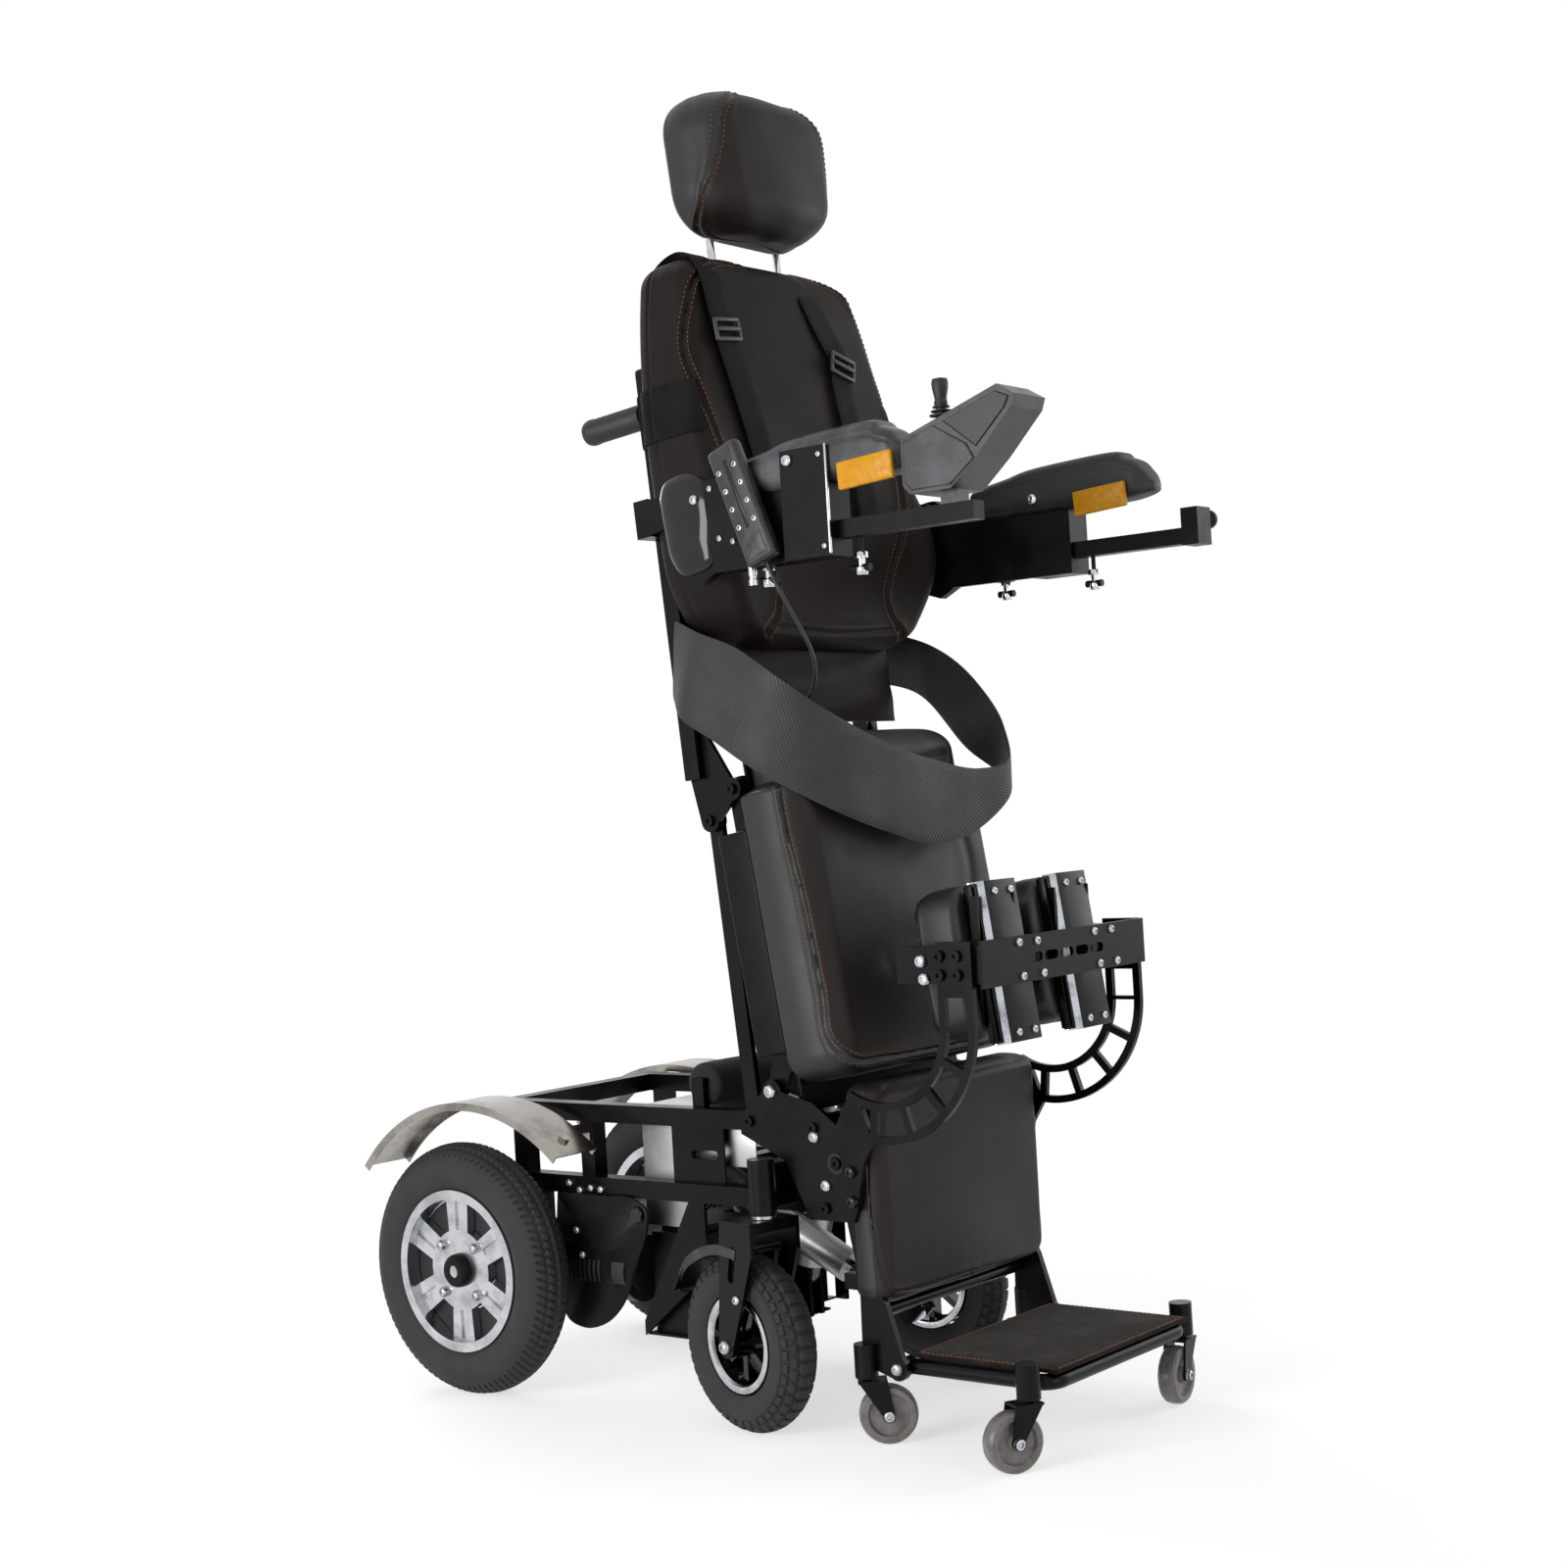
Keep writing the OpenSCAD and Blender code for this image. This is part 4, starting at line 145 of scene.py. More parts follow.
@dataclass(frozen=True)
class Finish:
    """A surface finish: two colours that drift into each other, a fine relief and its gloss.

    Attributes:
        name: the real material and how it was made.
        colour: main colour.
        tint: colour of its worn, dusty or faded patches.
        patch_mm: size of those patches.
        rough: roughness of the main colour and of the patches.
        pattern: kind of relief.
        pitch_mm: spacing of the relief.
        relief_mm: height of the relief.
        metallic: 1 for bare metal.
        specular: strength of its reflection, 0.5 for a plain plastic.
        extras: constants of other shader sockets.
        stretch: how far the relief is drawn out along x, y and z.
    """

    name: str
    colour: str
    tint: str
    patch_mm: float
    rough: tuple[float, float]
    pattern: Pattern
    pitch_mm: float
    relief_mm: float
    metallic: float = 0.0
    specular: float = 0.5
    extras: tuple[tuple[str, float], ...] = ()
    stretch: tuple[float, float, float] = (1.0, 1.0, 1.0)

    def material(self) -> bpy.types.Material:
        """Returns the finish as a node material, made once."""
        found = bpy.data.materials.get(self.name)
        if found:
            return found
        made = bpy.data.materials.new(self.name)
        made.use_nodes = True
        tree = made.node_tree
        shader = tree.nodes["Principled BSDF"]
        shader.inputs["Metallic"].default_value = self.metallic
        shader.inputs["Specular IOR Level"].default_value = self.specular
        for socket, value in self.extras:
            shader.inputs[socket].default_value = value
        place = add_node(tree, "ShaderNodeTexCoord")
        drift = add_node(tree, "ShaderNodeTexNoise", {},
                         {"Vector": place.outputs["Object"], "Scale": 1 / (self.patch_mm * MM),
                          "Detail": 4.0, "Roughness": 0.6})
        share = add_node(tree, "ShaderNodeMapRange", {},
                         {"Value": drift.outputs["Fac"], "From Min": PATCH_EDGE[0],
                          "From Max": PATCH_EDGE[1]})
        blend = add_node(tree, "ShaderNodeMix", {"data_type": "RGBA"},
                         {0: share.outputs[0], 6: linear(self.colour), 7: linear(self.tint)})
        gloss = add_node(tree, "ShaderNodeMapRange", {},
                         {"Value": share.outputs[0], "To Min": self.rough[0], "To Max": self.rough[1]})
        bump = add_node(tree, "ShaderNodeBump", {},
                        {"Height": self.relief(tree, place), "Distance": self.relief_mm * MM,
                         "Strength": 1.0})
        tree.links.new(blend.outputs[2], shader.inputs["Base Color"])
        tree.links.new(gloss.outputs[0], shader.inputs["Roughness"])
        tree.links.new(bump.outputs[0], shader.inputs["Normal"])
        return made

    def relief(self, tree: bpy.types.NodeTree, place: bpy.types.Node) -> bpy.types.NodeSocket:
        """Adds the pattern's texture.

        Args:
            tree: the material's nodes.
            place: its texture coordinates.

        Returns:
            The socket that gives the height.
        """
        per_metre = 1 / (self.pitch_mm * MM)
        spread = add_node(tree, "ShaderNodeMapping", {},
                          {"Vector": place.outputs["Object"], "Scale": [1 / s for s in self.stretch]})
        if self.pattern is Pattern.TWILL:
            ribs = add_node(tree, "ShaderNodeTexWave", {"bands_direction": "DIAGONAL"},
                            {"Vector": place.outputs["UV"], "Scale": WAVE_PERIOD * per_metre,
                             "Distortion": 0.6, "Detail": 1.0})
            return ribs.outputs["Fac"]
        if self.pattern in (Pattern.GRAIN, Pattern.LOOPS):
            cells = add_node(tree, "ShaderNodeTexVoronoi", {"feature": "SMOOTH_F1"},
                             {"Vector": spread.outputs[0], "Scale": per_metre, "Smoothness": 0.6})
            return cells.outputs["Distance"]
        grit = add_node(tree, "ShaderNodeTexNoise", {},
                        {"Vector": spread.outputs[0], "Scale": per_metre, "Detail": 2.0})
        return grit.outputs["Fac"]


# Stitched artificial leather: embossed grain, drawn twice its real pitch so that it shows, soft gloss.
LEATHER = Finish("artificial_leather_embossed", "#191411", "#211a16", 160, (0.54, 0.46), Pattern.GRAIN,
                 2.4, 0.16, specular=0.26)
# The duller leather of the back cushion and the hip panel.
BACK_SKIN = Finish("artificial_leather_matt", "#191412", "#211b18", 160, (0.62, 0.54), Pattern.GRAIN,
                   2.4, 0.16, specular=0.15)
# Side gussets of seat, headrest, calf and knee pads: shinier, a cooler black.
GUSSET = Finish("artificial_leather_gusset", "#18181b", "#202024", 150, (0.5, 0.4), Pattern.GRAIN,
                2.4, 0.14, specular=0.45)
# Right arm pad skin, smoother from use, greyer along the top: the grey is partly wear, and the skin is drawn
# lighter than the left pad's, which is the same skin, as painted light on the lit pad.
LIT_ARM_SKIN = Finish("polyurethane_arm_skin_lit", "#3a3a3e", "#636266", 48, (0.3, 0.46), Pattern.GRAIN, 1.8, 0.1,
                  specular=0.4)
# Nylon webbing woven in a diagonal rib, matt with a soft edge light.
WEBBING = Finish("nylon_webbing_woven", "#0b0b0c", "#121113", 90, (0.78, 0.68), Pattern.TWILL, 3.0, 0.35,
                 specular=0.16, extras=(("Sheen Weight", 0.04), ("Sheen Roughness", 0.4)))
# Padded belt cloth: tighter twill, satin.
BELT_CLOTH = Finish("polyester_belt_twill", "#18171a", "#201f23", 110, (0.6, 0.5), Pattern.TWILL, 3.4, 0.3,
                    extras=(("Sheen Weight", 0.12), ("Sheen Roughness", 0.35)))
# Orange brown polyester thread with a slight shine.
THREAD = Finish("polyester_thread_twisted", "#7a4226", "#94583a", 20, (0.5, 0.6), Pattern.TWILL, 1.2, 0.1)
# Needle-punched carpet on the footplate: small loops, dull, with dust.
CARPET = Finish("needle_punched_carpet", "#1d1815", "#332c27", 45, (0.95, 0.9), Pattern.LOOPS, 3.2, 1.1,
                specular=0.1, extras=(("Sheen Weight", 0.08),))
# Black stove enamel on steel tube, glossy with a fine orange peel.
ENAMEL = Finish("stove_enamel_on_steel", "#060607", "#0c0c0e", 70, (0.26, 0.4), Pattern.PEEL, 4.0, 0.05,
                specular=0.12, extras=(("Coat Weight", 0.08), ("Coat Roughness", 0.1)))
# Gloss black sheet parts, nearly mirror smooth.
GLOSS_BLACK = Finish("gloss_enamel_on_sheet", "#060608", "#0b0b0d", 90, (0.08, 0.16), Pattern.PEEL, 9.0, 0.04,
                     specular=0.3, extras=(("Coat Weight", 0.3), ("Coat Roughness", 0.05)))
# Enamelled sheet under road dust: brown grey, dull.
DUSTY = Finish("enamel_on_sheet_dusty", "#1d1b19", "#47413b", 28, (0.4, 0.62), Pattern.PEEL, 3.0, 0.08)
# Folds of the knee plates: bright mirror metal with cloudy patches, a painted highlight that stands for the
# lamp's reflection on the glossy fold.
KNEE_FOLD_HIGHLIGHT = Finish("knee_fold_painted_highlight", "#c2c6cc", "#74777d", 26, (0.1, 0.22), Pattern.PEEL, 9.0, 0.03,
                  metallic=1.0)
# Moulded ABS covers, satin with a fine spark texture.
ABS = Finish("abs_moulded_satin", "#0b0b0d", "#131316", 60, (0.34, 0.48), Pattern.PEEL, 1.6, 0.06,
             specular=0.14)
# Handset and adjuster mouldings: a greyer, finger-marked ABS.
GREY_ABS = Finish("abs_moulded_grey", "#232326", "#3a393d", 22, (0.36, 0.5), Pattern.PEEL, 1.4, 0.06)
# Rubbed ABS of the joystick module: grey where hands wear it.
WORN_ABS = Finish("abs_moulded_rubbed", "#2c2c2f", "#5c5b60", 30, (0.32, 0.5), Pattern.PEEL, 1.6, 0.06)
# Die-cast motor housing with a sandy skin.
CASTING = Finish("aluminium_casting_painted", "#141417", "#1f1f22", 40, (0.5, 0.6), Pattern.PEEL, 2.4, 0.14)
# Brushed stainless sheet of the mudguards: long fine lines, soft streaked light.
BRUSHED = Finish("stainless_sheet_brushed", "#a39e98", "#726d68", 55, (0.2, 0.34), Pattern.BRUSHED, 1.2,
                 0.05, metallic=1.0, stretch=(1.0, 24.0, 1.0))
# Machined and polished alloy of the rims: bright with fine turning lines.
ALLOY = Finish("aluminium_alloy_polished", "#c9cbce", "#a4a6aa", 30, (0.18, 0.3), Pattern.BRUSHED, 1.0, 0.03,
               metallic=1.0, stretch=(8.0, 1.0, 1.0))
# Zinc plating of bolts and screws: bright, slightly cloudy.
ZINC = Finish("zinc_plated_steel", "#c3c5c9", "#93959a", 9, (0.22, 0.36), Pattern.PEEL, 1.0, 0.03,
              metallic=1.0)
# Chromed tube, mirror bright.
CHROME = Finish("chromed_steel_tube", "#d2d4d7", "#b7b9bd", 40, (0.06, 0.12), Pattern.PEEL, 3.0, 0.01,
                metallic=1.0)
# Silver anodised actuator tubes and battery cover: even, softly streaked light.
ANODISED = Finish("aluminium_anodised_silver", "#b4b4b6", "#9b9b9e", 60, (0.34, 0.45), Pattern.BRUSHED, 1.4,
                  0.03, metallic=1.0, stretch=(1.0, 1.0, 16.0))
# Tyre rubber: dull, dusty grey on top of black.
RUBBER = Finish("tyre_rubber_vulcanised", "#201f20", "#383433", 60, (0.72, 0.85), Pattern.PEEL, 2.2, 0.25)
# Soft rubber of joystick and push grips: dark with a low sheen. On the left arm pad it stands for the same
# skin as the right pad's, drawn darker as painted shade.
SOFT_RUBBER = Finish("synthetic_rubber_moulded", "#121214", "#1d1d20", 25, (0.5, 0.62), Pattern.PEEL, 1.4,
                     0.08)
# Cast polyurethane tread of the small wheels: grey, cloudy, lets some light in.
URETHANE = Finish("polyurethane_cast_clear", "#989491", "#7a7673", 12, (0.3, 0.45), Pattern.PEEL, 2.0, 0.06,
                  extras=(("Transmission Weight", 0.35), ("IOR", 1.5)))
# Amber acrylic reflector with moulded prism cells.
AMBER = Finish("acrylic_reflector_amber", "#ffb824", "#f7a015", 9, (0.24, 0.36), Pattern.GRAIN, 3.4, 0.3,
               specular=0.25)
# Closed-cell foam sleeve, matt and slightly pitted.
FOAM = Finish("foam_rubber_sleeve", "#131315", "#222124", 30, (0.85, 0.92), Pattern.GRAIN, 2.0, 0.3)
# Cable sheath, smooth vinyl.
SHEATH = Finish("vinyl_cable_sheath", "#0e0e10", "#19191c", 18, (0.36, 0.5), Pattern.PEEL, 1.2, 0.03)


def unit(vectors: Array) -> Array:
    """Returns the vectors at length one."""
    return vectors / np.maximum(np.linalg.norm(vectors, axis=-1, keepdims=True), 1e-9)


def cos_sin(degrees: float) -> tuple[float, float]:
    """Returns cosine and sine of an angle in degrees."""
    return math.cos(math.radians(degrees)), math.sin(math.radians(degrees))


def matrix_of(columns: Sequence) -> Matrix:
    """Returns an object's matrix from its x, y and z directions and its place."""
    rows = np.eye(4)
    rows[:3] = np.stack(columns, 1)
    return Matrix(rows.tolist())


def smooth(points: Sequence, count: int) -> Array:
    """Draws a smooth curve through points: cubic spans whose slope at a point follows its neighbours.

    Args:
        points: rows of any width.
        count: number of rows returned, evenly spread along the chords.

    Returns:
        The sampled rows.
    """
    knots = np.asarray(points, float)
    reach = np.r_[0, np.cumsum(np.linalg.norm(np.diff(knots, axis=0), axis=1))]
    slope = np.gradient(knots, reach, axis=0)
    at = np.linspace(0, reach[-1], count)
    k = np.clip(np.searchsorted(reach, at, side="right") - 1, 0, len(knots) - 2)
    span = (reach[k + 1] - reach[k])[:, None]
    q = (at[:, None] - reach[k][:, None]) / span
    return ((2 * q**3 - 3 * q**2 + 1) * knots[k] + (q**3 - 2 * q**2 + q) * span * slope[k]
            + (3 * q**2 - 2 * q**3) * knots[k + 1] + (q**3 - q**2) * span * slope[k + 1])


@dataclass
class Skin:
    """Points, faces and flat coordinates of a piece, in millimetres."""

    points: Array
    quads: Array
    tris: Array
    quad_uv: Array
    tri_uv: Array

    @classmethod
    def grid(cls, rows: Array, ring: bool = False) -> "Skin":
        """Joins a grid of points into quads, with flat coordinates that follow its lengths.

        The last column meets the first.

        Args:
            rows: points by row and column.
            ring: whether the last row meets the first; if not, fans close both.

        Returns:
            The skin.
        """
        m, n = rows.shape[:2]
        index = np.arange(m * n).reshape(m, n)
        index = np.c_[index, index[:, :1]]
        index = np.r_[index, index[:1]] if ring else index
        shape = np.concatenate([rows, rows[:, :1]], 1)
        shape = np.concatenate([shape, shape[:1]], 0) if ring else shape
        v = np.r_[0, np.cumsum(np.linalg.norm(np.diff(shape, axis=0), axis=2).mean(1))]
        u = np.r_[0, np.cumsum(np.linalg.norm(np.diff(shape, axis=1), axis=2).mean(0))]
        flat = np.stack(np.meshgrid(u, v), -1)
        corners = ((slice(None, -1), slice(None, -1)), (slice(None, -1), slice(1, None)),
                   (slice(1, None), slice(1, None)), (slice(1, None), slice(None, -1)))
        quads = np.stack([index[c] for c in corners], -1).reshape(-1, 4)
        quad_uv = np.stack([flat[c] for c in corners], -2).reshape(-1, 4, 2)
        points = rows.reshape(-1, 3)
        tris = np.zeros((0, 3), int)
        if not ring:
            ends = np.stack([rows[0].mean(0), rows[-1].mean(0)])
            low = np.stack([np.full(n, m * n), np.roll(index[0, :n], -1), index[0, :n]], -1)
            top = np.stack([np.full(n, m * n + 1), index[m - 1, :n], np.roll(index[m - 1, :n], -1)], -1)
            tris = np.concatenate([low, top])
            points = np.concatenate([points, ends])
        return cls(points, quads, tris, quad_uv, np.zeros((len(tris), 3, 2)))

    @classmethod
    def joined(cls, skins: Sequence["Skin"]) -> "Skin":
        """Puts several skins into one."""
        shift = np.cumsum([0] + [len(s.points) for s in skins[:-1]])
        return cls(np.concatenate([s.points for s in skins]),
                   np.concatenate([s.quads + k for s, k in zip(skins, shift)]),
                   np.concatenate([s.tris + k for s, k in zip(skins, shift)]),
                   np.concatenate([s.quad_uv for s in skins]),
                   np.concatenate([s.tri_uv for s in skins]))

    def stamped(self, origins: Array, axes: Array) -> "Skin":
        """Copies the skin to many places.

        Args:
            origins: place of each copy.
            axes: three unit rows for each copy, which take the skin's own x, y and z.

        Returns:
            All the copies in one skin.
        """
        count = len(origins)
        points = origins[:, None] + np.einsum("tj,njk->ntk", self.points, axes)
        step = (np.arange(count) * len(self.points))[:, None, None]
        return Skin(points.reshape(-1, 3), (self.quads[None] + step).reshape(-1, 4),
                    (self.tris[None] + step).reshape(-1, 3), np.tile(self.quad_uv, (count, 1, 1)),
                    np.tile(self.tri_uv, (count, 1, 1)))


def seated(skin: Skin, origin: Sequence[float], axes: Array) -> Skin:
    """Returns a skin set down once, with its x, y and z along three unit rows."""
    return skin.stamped(np.asarray([origin], float), np.asarray(axes, float)[None])


def axes_of(axis: Sequence[float]) -> tuple[Array, Array, Array]:
    """Returns two vectors square to an axis, and the axis, as a right-handed set."""
    w = unit(np.asarray(axis, float))
    hint = np.array([0.0, 0.0, 1.0]) if abs(w[2]) < 0.9 else np.array([0.0, 1.0, 0.0])
    u = unit(np.cross(hint, w))
    return u, np.cross(w, u), w


def turned(profile: Sequence, origin: Sequence[float], axis: Sequence[float], segments: int = 48,
           hex_rows: int = 0, ring: bool = False) -> Skin:
    """Turns a profile about an axis: each row is a circle of the profile's radius at its height.

    Args:
        profile: pairs of radius and height along the axis.
        origin: where the axis starts.
        axis: its direction.
        segments: points on each circle.
        hex_rows: number of first rows that are hexagons of that radius.
        ring: whether the profile closes on itself, as a tyre's does.

    Returns:
        The skin.
    """
    u, v, w = axes_of(axis)
    r, h = np.asarray(profile, float).T
    t = np.arange(segments) * 2 * np.pi / segments
    radius = np.repeat(r[:, None], segments, 1)
    sixth = np.mod(t, np.pi / 3) - np.pi / 6
    radius[:hex_rows] *= math.cos(math.pi / 6) / np.cos(sixth)
    rows = (np.asarray(origin, float) + radius[..., None] * (np.cos(t)[:, None] * u + np.sin(t)[:, None] * v)
            + h[:, None, None] * w)
    return Skin.grid(rows, ring=ring)


def tube(path: Array, radius: float | Array, sides: int = 12, hint: Sequence[float] = (0, 0, 1)) -> Skin:
    """Carries a circle along a path, square to it at every point.

    Args:
        path: points of the middle line.
        radius: one radius, or one for each point.
        sides: points on the circle.
        hint: a direction that the path never runs along.

    Returns:
        The skin.
    """
    along = unit(np.gradient(path, axis=0))
    u = unit(np.cross(np.asarray(hint, float), along))
    v = np.cross(along, u)
    t = np.arange(sides) * 2 * np.pi / sides
    r = np.broadcast_to(np.asarray(radius, float), (len(path),))[:, None, None]
    rows = path[:, None] + r * (np.cos(t)[:, None] * u[:, None] + np.sin(t)[:, None] * v[:, None])
    return Skin.grid(rows)


def stitch(length: float, radius: float) -> Skin:
    """Returns one stitch along x: a short rod with tapered ends."""
    ends = np.linspace(-length / 2, length / 2, 4)
    return tube(np.stack([ends, 0 * ends, 0 * ends], -1), radius * np.array([0.5, 1, 1, 0.5]), 6)


def wheel_rows(middle: Array, axle: Array, back: Array, t: Array, radius: Array, height: Array) -> Array:
    """Places rows round an axle.

    Args:
        middle: the wheel's middle.
        axle: direction of its axle.
        back: direction of angle 0.
        t: angle of each row, as a column.
        radius: radius by row and column.
        height: place along the axle, of the same shape or one that spreads to it.

    Returns:
        The points by row and column.
    """
    return (middle + np.broadcast_to(height, radius.shape)[..., None] * axle
            + (radius * np.cos(t))[..., None] * back + (radius * np.sin(t))[..., None] * UP)


def ribbon(edge_a: Array, edge_b: Array, thick: float, columns: int = 9) -> Skin:
    """Lays a flat strap between two edge curves, thickened along its own face and thinner at its edges.

    Args:
        edge_a: points of one edge.
        edge_b: points of the other edge.
        thick: thickness.
        columns: points across each face.

    Returns:
        The skin.
    """
    share = np.linspace(0, 1, columns)[:, None]
    mid = edge_a[:, None] * (1 - share) + edge_b[:, None] * share
    face = unit(np.cross(np.gradient(mid, axis=0), (edge_b - edge_a)[:, None]))
    lift = face * thick / 2 * np.sqrt(1 - 0.9 * np.abs(2 * share - 1) ** 10)
    return Skin.grid(np.concatenate([mid + lift, (mid - lift)[:, ::-1]], 1))


def plate(outline: Array, axis: int, low: float, high: float, edge: float = 0.8) -> Skin:
    """Raises an outline into a plate with softened edges: its rings step in by the edge at both faces.

    Args:
        outline: points in the two other axes, in order.
        axis: axis along which the plate is thick.
        low: first face.
        high: second face.
        edge: width of the softened edge.

    Returns:
        The skin.
    """
    outline = np.asarray(outline, float)
    middle = outline.mean(0)
    inner = middle + (outline - middle) * (1 - edge / np.linalg.norm(outline - middle, axis=1).mean())
    rings = ((inner, low), (outline, low + edge), (outline, high - edge), (inner, high))
    rows = np.stack([np.insert(ring, axis, level, axis=1) for ring, level in rings])
    return Skin.grid(rows)


def rounded_box(low: Sequence[float], high: Sequence[float], radius: float, steps: int = 6) -> Skin:
    """Makes a box whose edges along z are arcs and whose top and bottom rims are arcs too.

    Args:
        low: lowest corner.
        high: highest corner.
        radius: radius of the edges.
        steps: points on each quarter arc.

    Returns:
        The skin.
    """
    low, high = np.asarray(low, float), np.asarray(high, float)
    quarter = np.linspace(0, np.pi / 2, steps)
    t = np.concatenate([quarter + k * np.pi / 2 for k in range(4)])
    half = (high - low) / 2
    sign = np.repeat(np.array([[1, 1], [-1, 1], [-1, -1], [1, -1]]), steps, axis=0)
    core = sign * (half[:2] - radius)
    arc = np.stack([np.cos(t), np.sin(t)], -1) * radius
    inset = np.r_[1 - np.sin(quarter), (1 - np.sin(quarter))[::-1]]
    rise = radius * (1 - np.cos(quarter)) - half[2]
    level = np.r_[rise, -rise[::-1]]
    flat = core[None] + arc[None] * (1 - inset)[:, None, None]
    rows = np.concatenate([flat, np.broadcast_to(level[:, None, None], (*flat.shape[:2], 1))], -1)
    return Skin.grid(rows + (low + high) / 2)


def boxes(spans: Sequence, radius: float, steps: int = 6) -> Skin:
    """Joins rounded boxes of one radius, each given by its lowest and highest corner."""
    return Skin.joined([rounded_box(low, high, radius, steps) for low, high in spans])


def make(name: str, skin: Skin, finish: Finish, body: str | None, nodes: Sequence[str] = (),
         sharp: float = 40.0) -> bpy.types.Object:
    """Makes a piece of the object from its skin, dresses it and lets it ride on a body.

    Args:
        name: the piece's name.
        skin: its surface in millimetres.
        finish: its finish.
        body: the body it moves with, or none for a piece that rides on no body, such as one that runs between
            two.
        nodes: solids of the frame that it stands for.
        sharp: angle in degrees above which an edge stays sharp.

    Returns:
        The piece.
    """
    mesh = bpy.data.meshes.new(name)
    mesh.from_pydata((skin.points * MM).tolist(), [], [*skin.quads.tolist(), *skin.tris.tolist()])
    flat = np.concatenate([skin.quad_uv.reshape(-1, 2), skin.tri_uv.reshape(-1, 2)]) * MM
    mesh.uv_layers.new(name="flat").data.foreach_set("uv", flat.ravel())
    work = bmesh.new()
    work.from_mesh(mesh)
    bmesh.ops.recalc_face_normals(work, faces=work.faces)
    work.to_mesh(mesh)
    work.free()
    mesh.polygons.foreach_set("use_smooth", np.ones(len(mesh.polygons), bool))
    mesh.set_sharp_from_angle(angle=math.radians(sharp))
    mesh.materials.append(finish.material())
    piece = bpy.data.objects.new(name, mesh)
    bpy.context.scene.collection.objects.link(piece)
    if body:
        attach(piece, body)
    if nodes:
        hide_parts(*nodes)
    log.info("%s on %s: %d faces", name, body, len(mesh.polygons))
    return piece


def bolts(name: str, places: Sequence, axis: Sequence[float], body: str, radius: float,
          height: float, finish: Finish = ZINC) -> bpy.types.Object:
    """Sets domed bolt heads with hexagon sockets on a face.

    Args:
        name: the piece's name.
        places: points on the face.
        axis: direction that the heads look.
        body: the body they move with.
        radius: head radius.
        height: head height.
        finish: plating.

    Returns:
        The piece.
    """
    profile = [(radius * 0.42, height - 1.7), (radius * 0.45, height - 0.1), (radius * 0.56, height),
               (radius * 0.84, height * 0.82), (radius * 0.98, height * 0.45), (radius, height * 0.2),
               (radius, 0)]
    head = turned(profile, (0, 0, 0), (0, 0, 1), 24, hex_rows=2)
    u, v, w = axes_of(axis)
    places = np.asarray(places, float)
    return make(name, head.stamped(places, np.broadcast_to(np.stack([u, v, w]), (len(places), 3, 3))),
                finish, body, sharp=50)


@dataclass(frozen=True)
class Datum:
    """A frame of its own for a pad: across, towards its face and along its length."""

    origin: tuple[float, float, float]
    across: tuple[float, float, float] = (1.0, 0.0, 0.0)
    face: tuple[float, float, float] = (0.0, -1.0, 0.0)
    along: tuple[float, float, float] = (0.0, 0.0, 1.0)

    @property
    def axes(self) -> Array:
        """Returns the three directions as rows."""
        return np.array([self.across, self.face, self.along])

    def place(self, x: Array, t: Array, s: Array) -> Array:
        """Returns points from distances across, towards the face and along."""
        return np.asarray(self.origin) + np.stack(np.broadcast_arrays(x, t, s), -1) @ self.axes

    @classmethod
    def leaning(cls, y: float, z: float, lean: float) -> "Datum":
        """Returns a frame on the middle plane that leans back by an angle in degrees."""
        c, s = cos_sin(lean)
        return cls((0.0, y, z), (1.0, 0.0, 0.0), (0.0, -c, s), (0.0, s, c))


@dataclass(frozen=True)
class Fold:
    """A sewn seam or a crease: a groove along a route over a cushion.

    Attributes:
        route: pairs of share round the half outline, negative on the other side, and share of length.
        depth: depth of the groove.
        width: its half width.
        rows: offsets of the stitch rows beside it, none for a crease.
        both: whether it is repeated on the other side.
    """

    route: tuple[tuple[float, float], ...]
    depth: float = 3.0
    width: float = 3.0
    rows: tuple[float, ...] = ()
    both: bool = False


# Shares round a pad's half outline where face, edge, gusset and rear edge end.
FRONT, EDGE, SIDE, REAR = 0.4, 0.5, 0.7, 0.75
# The same ends as shares of the columns, so that the edges get more of them.
COLUMN_ENDS = (0, 0.42, 0.58, 0.8, 0.88, 1.0)
# Millimetres round a half outline, for the flat on which folds are routed.
ROUND_MM = 430.0
# How much thinner a pad gets where its end steps in, and the largest corners as shares of what is left.
END_THIN, CORNER_SHARE, REAR_SHARE = 1.45, 0.48, 0.3
# Stitches of the upholstery: pitch, length, thread radius and height above the cover.
PITCH, STITCH, THREAD_MM, STITCH_LIFT = 7.0, 4.6, 0.75, 0.35


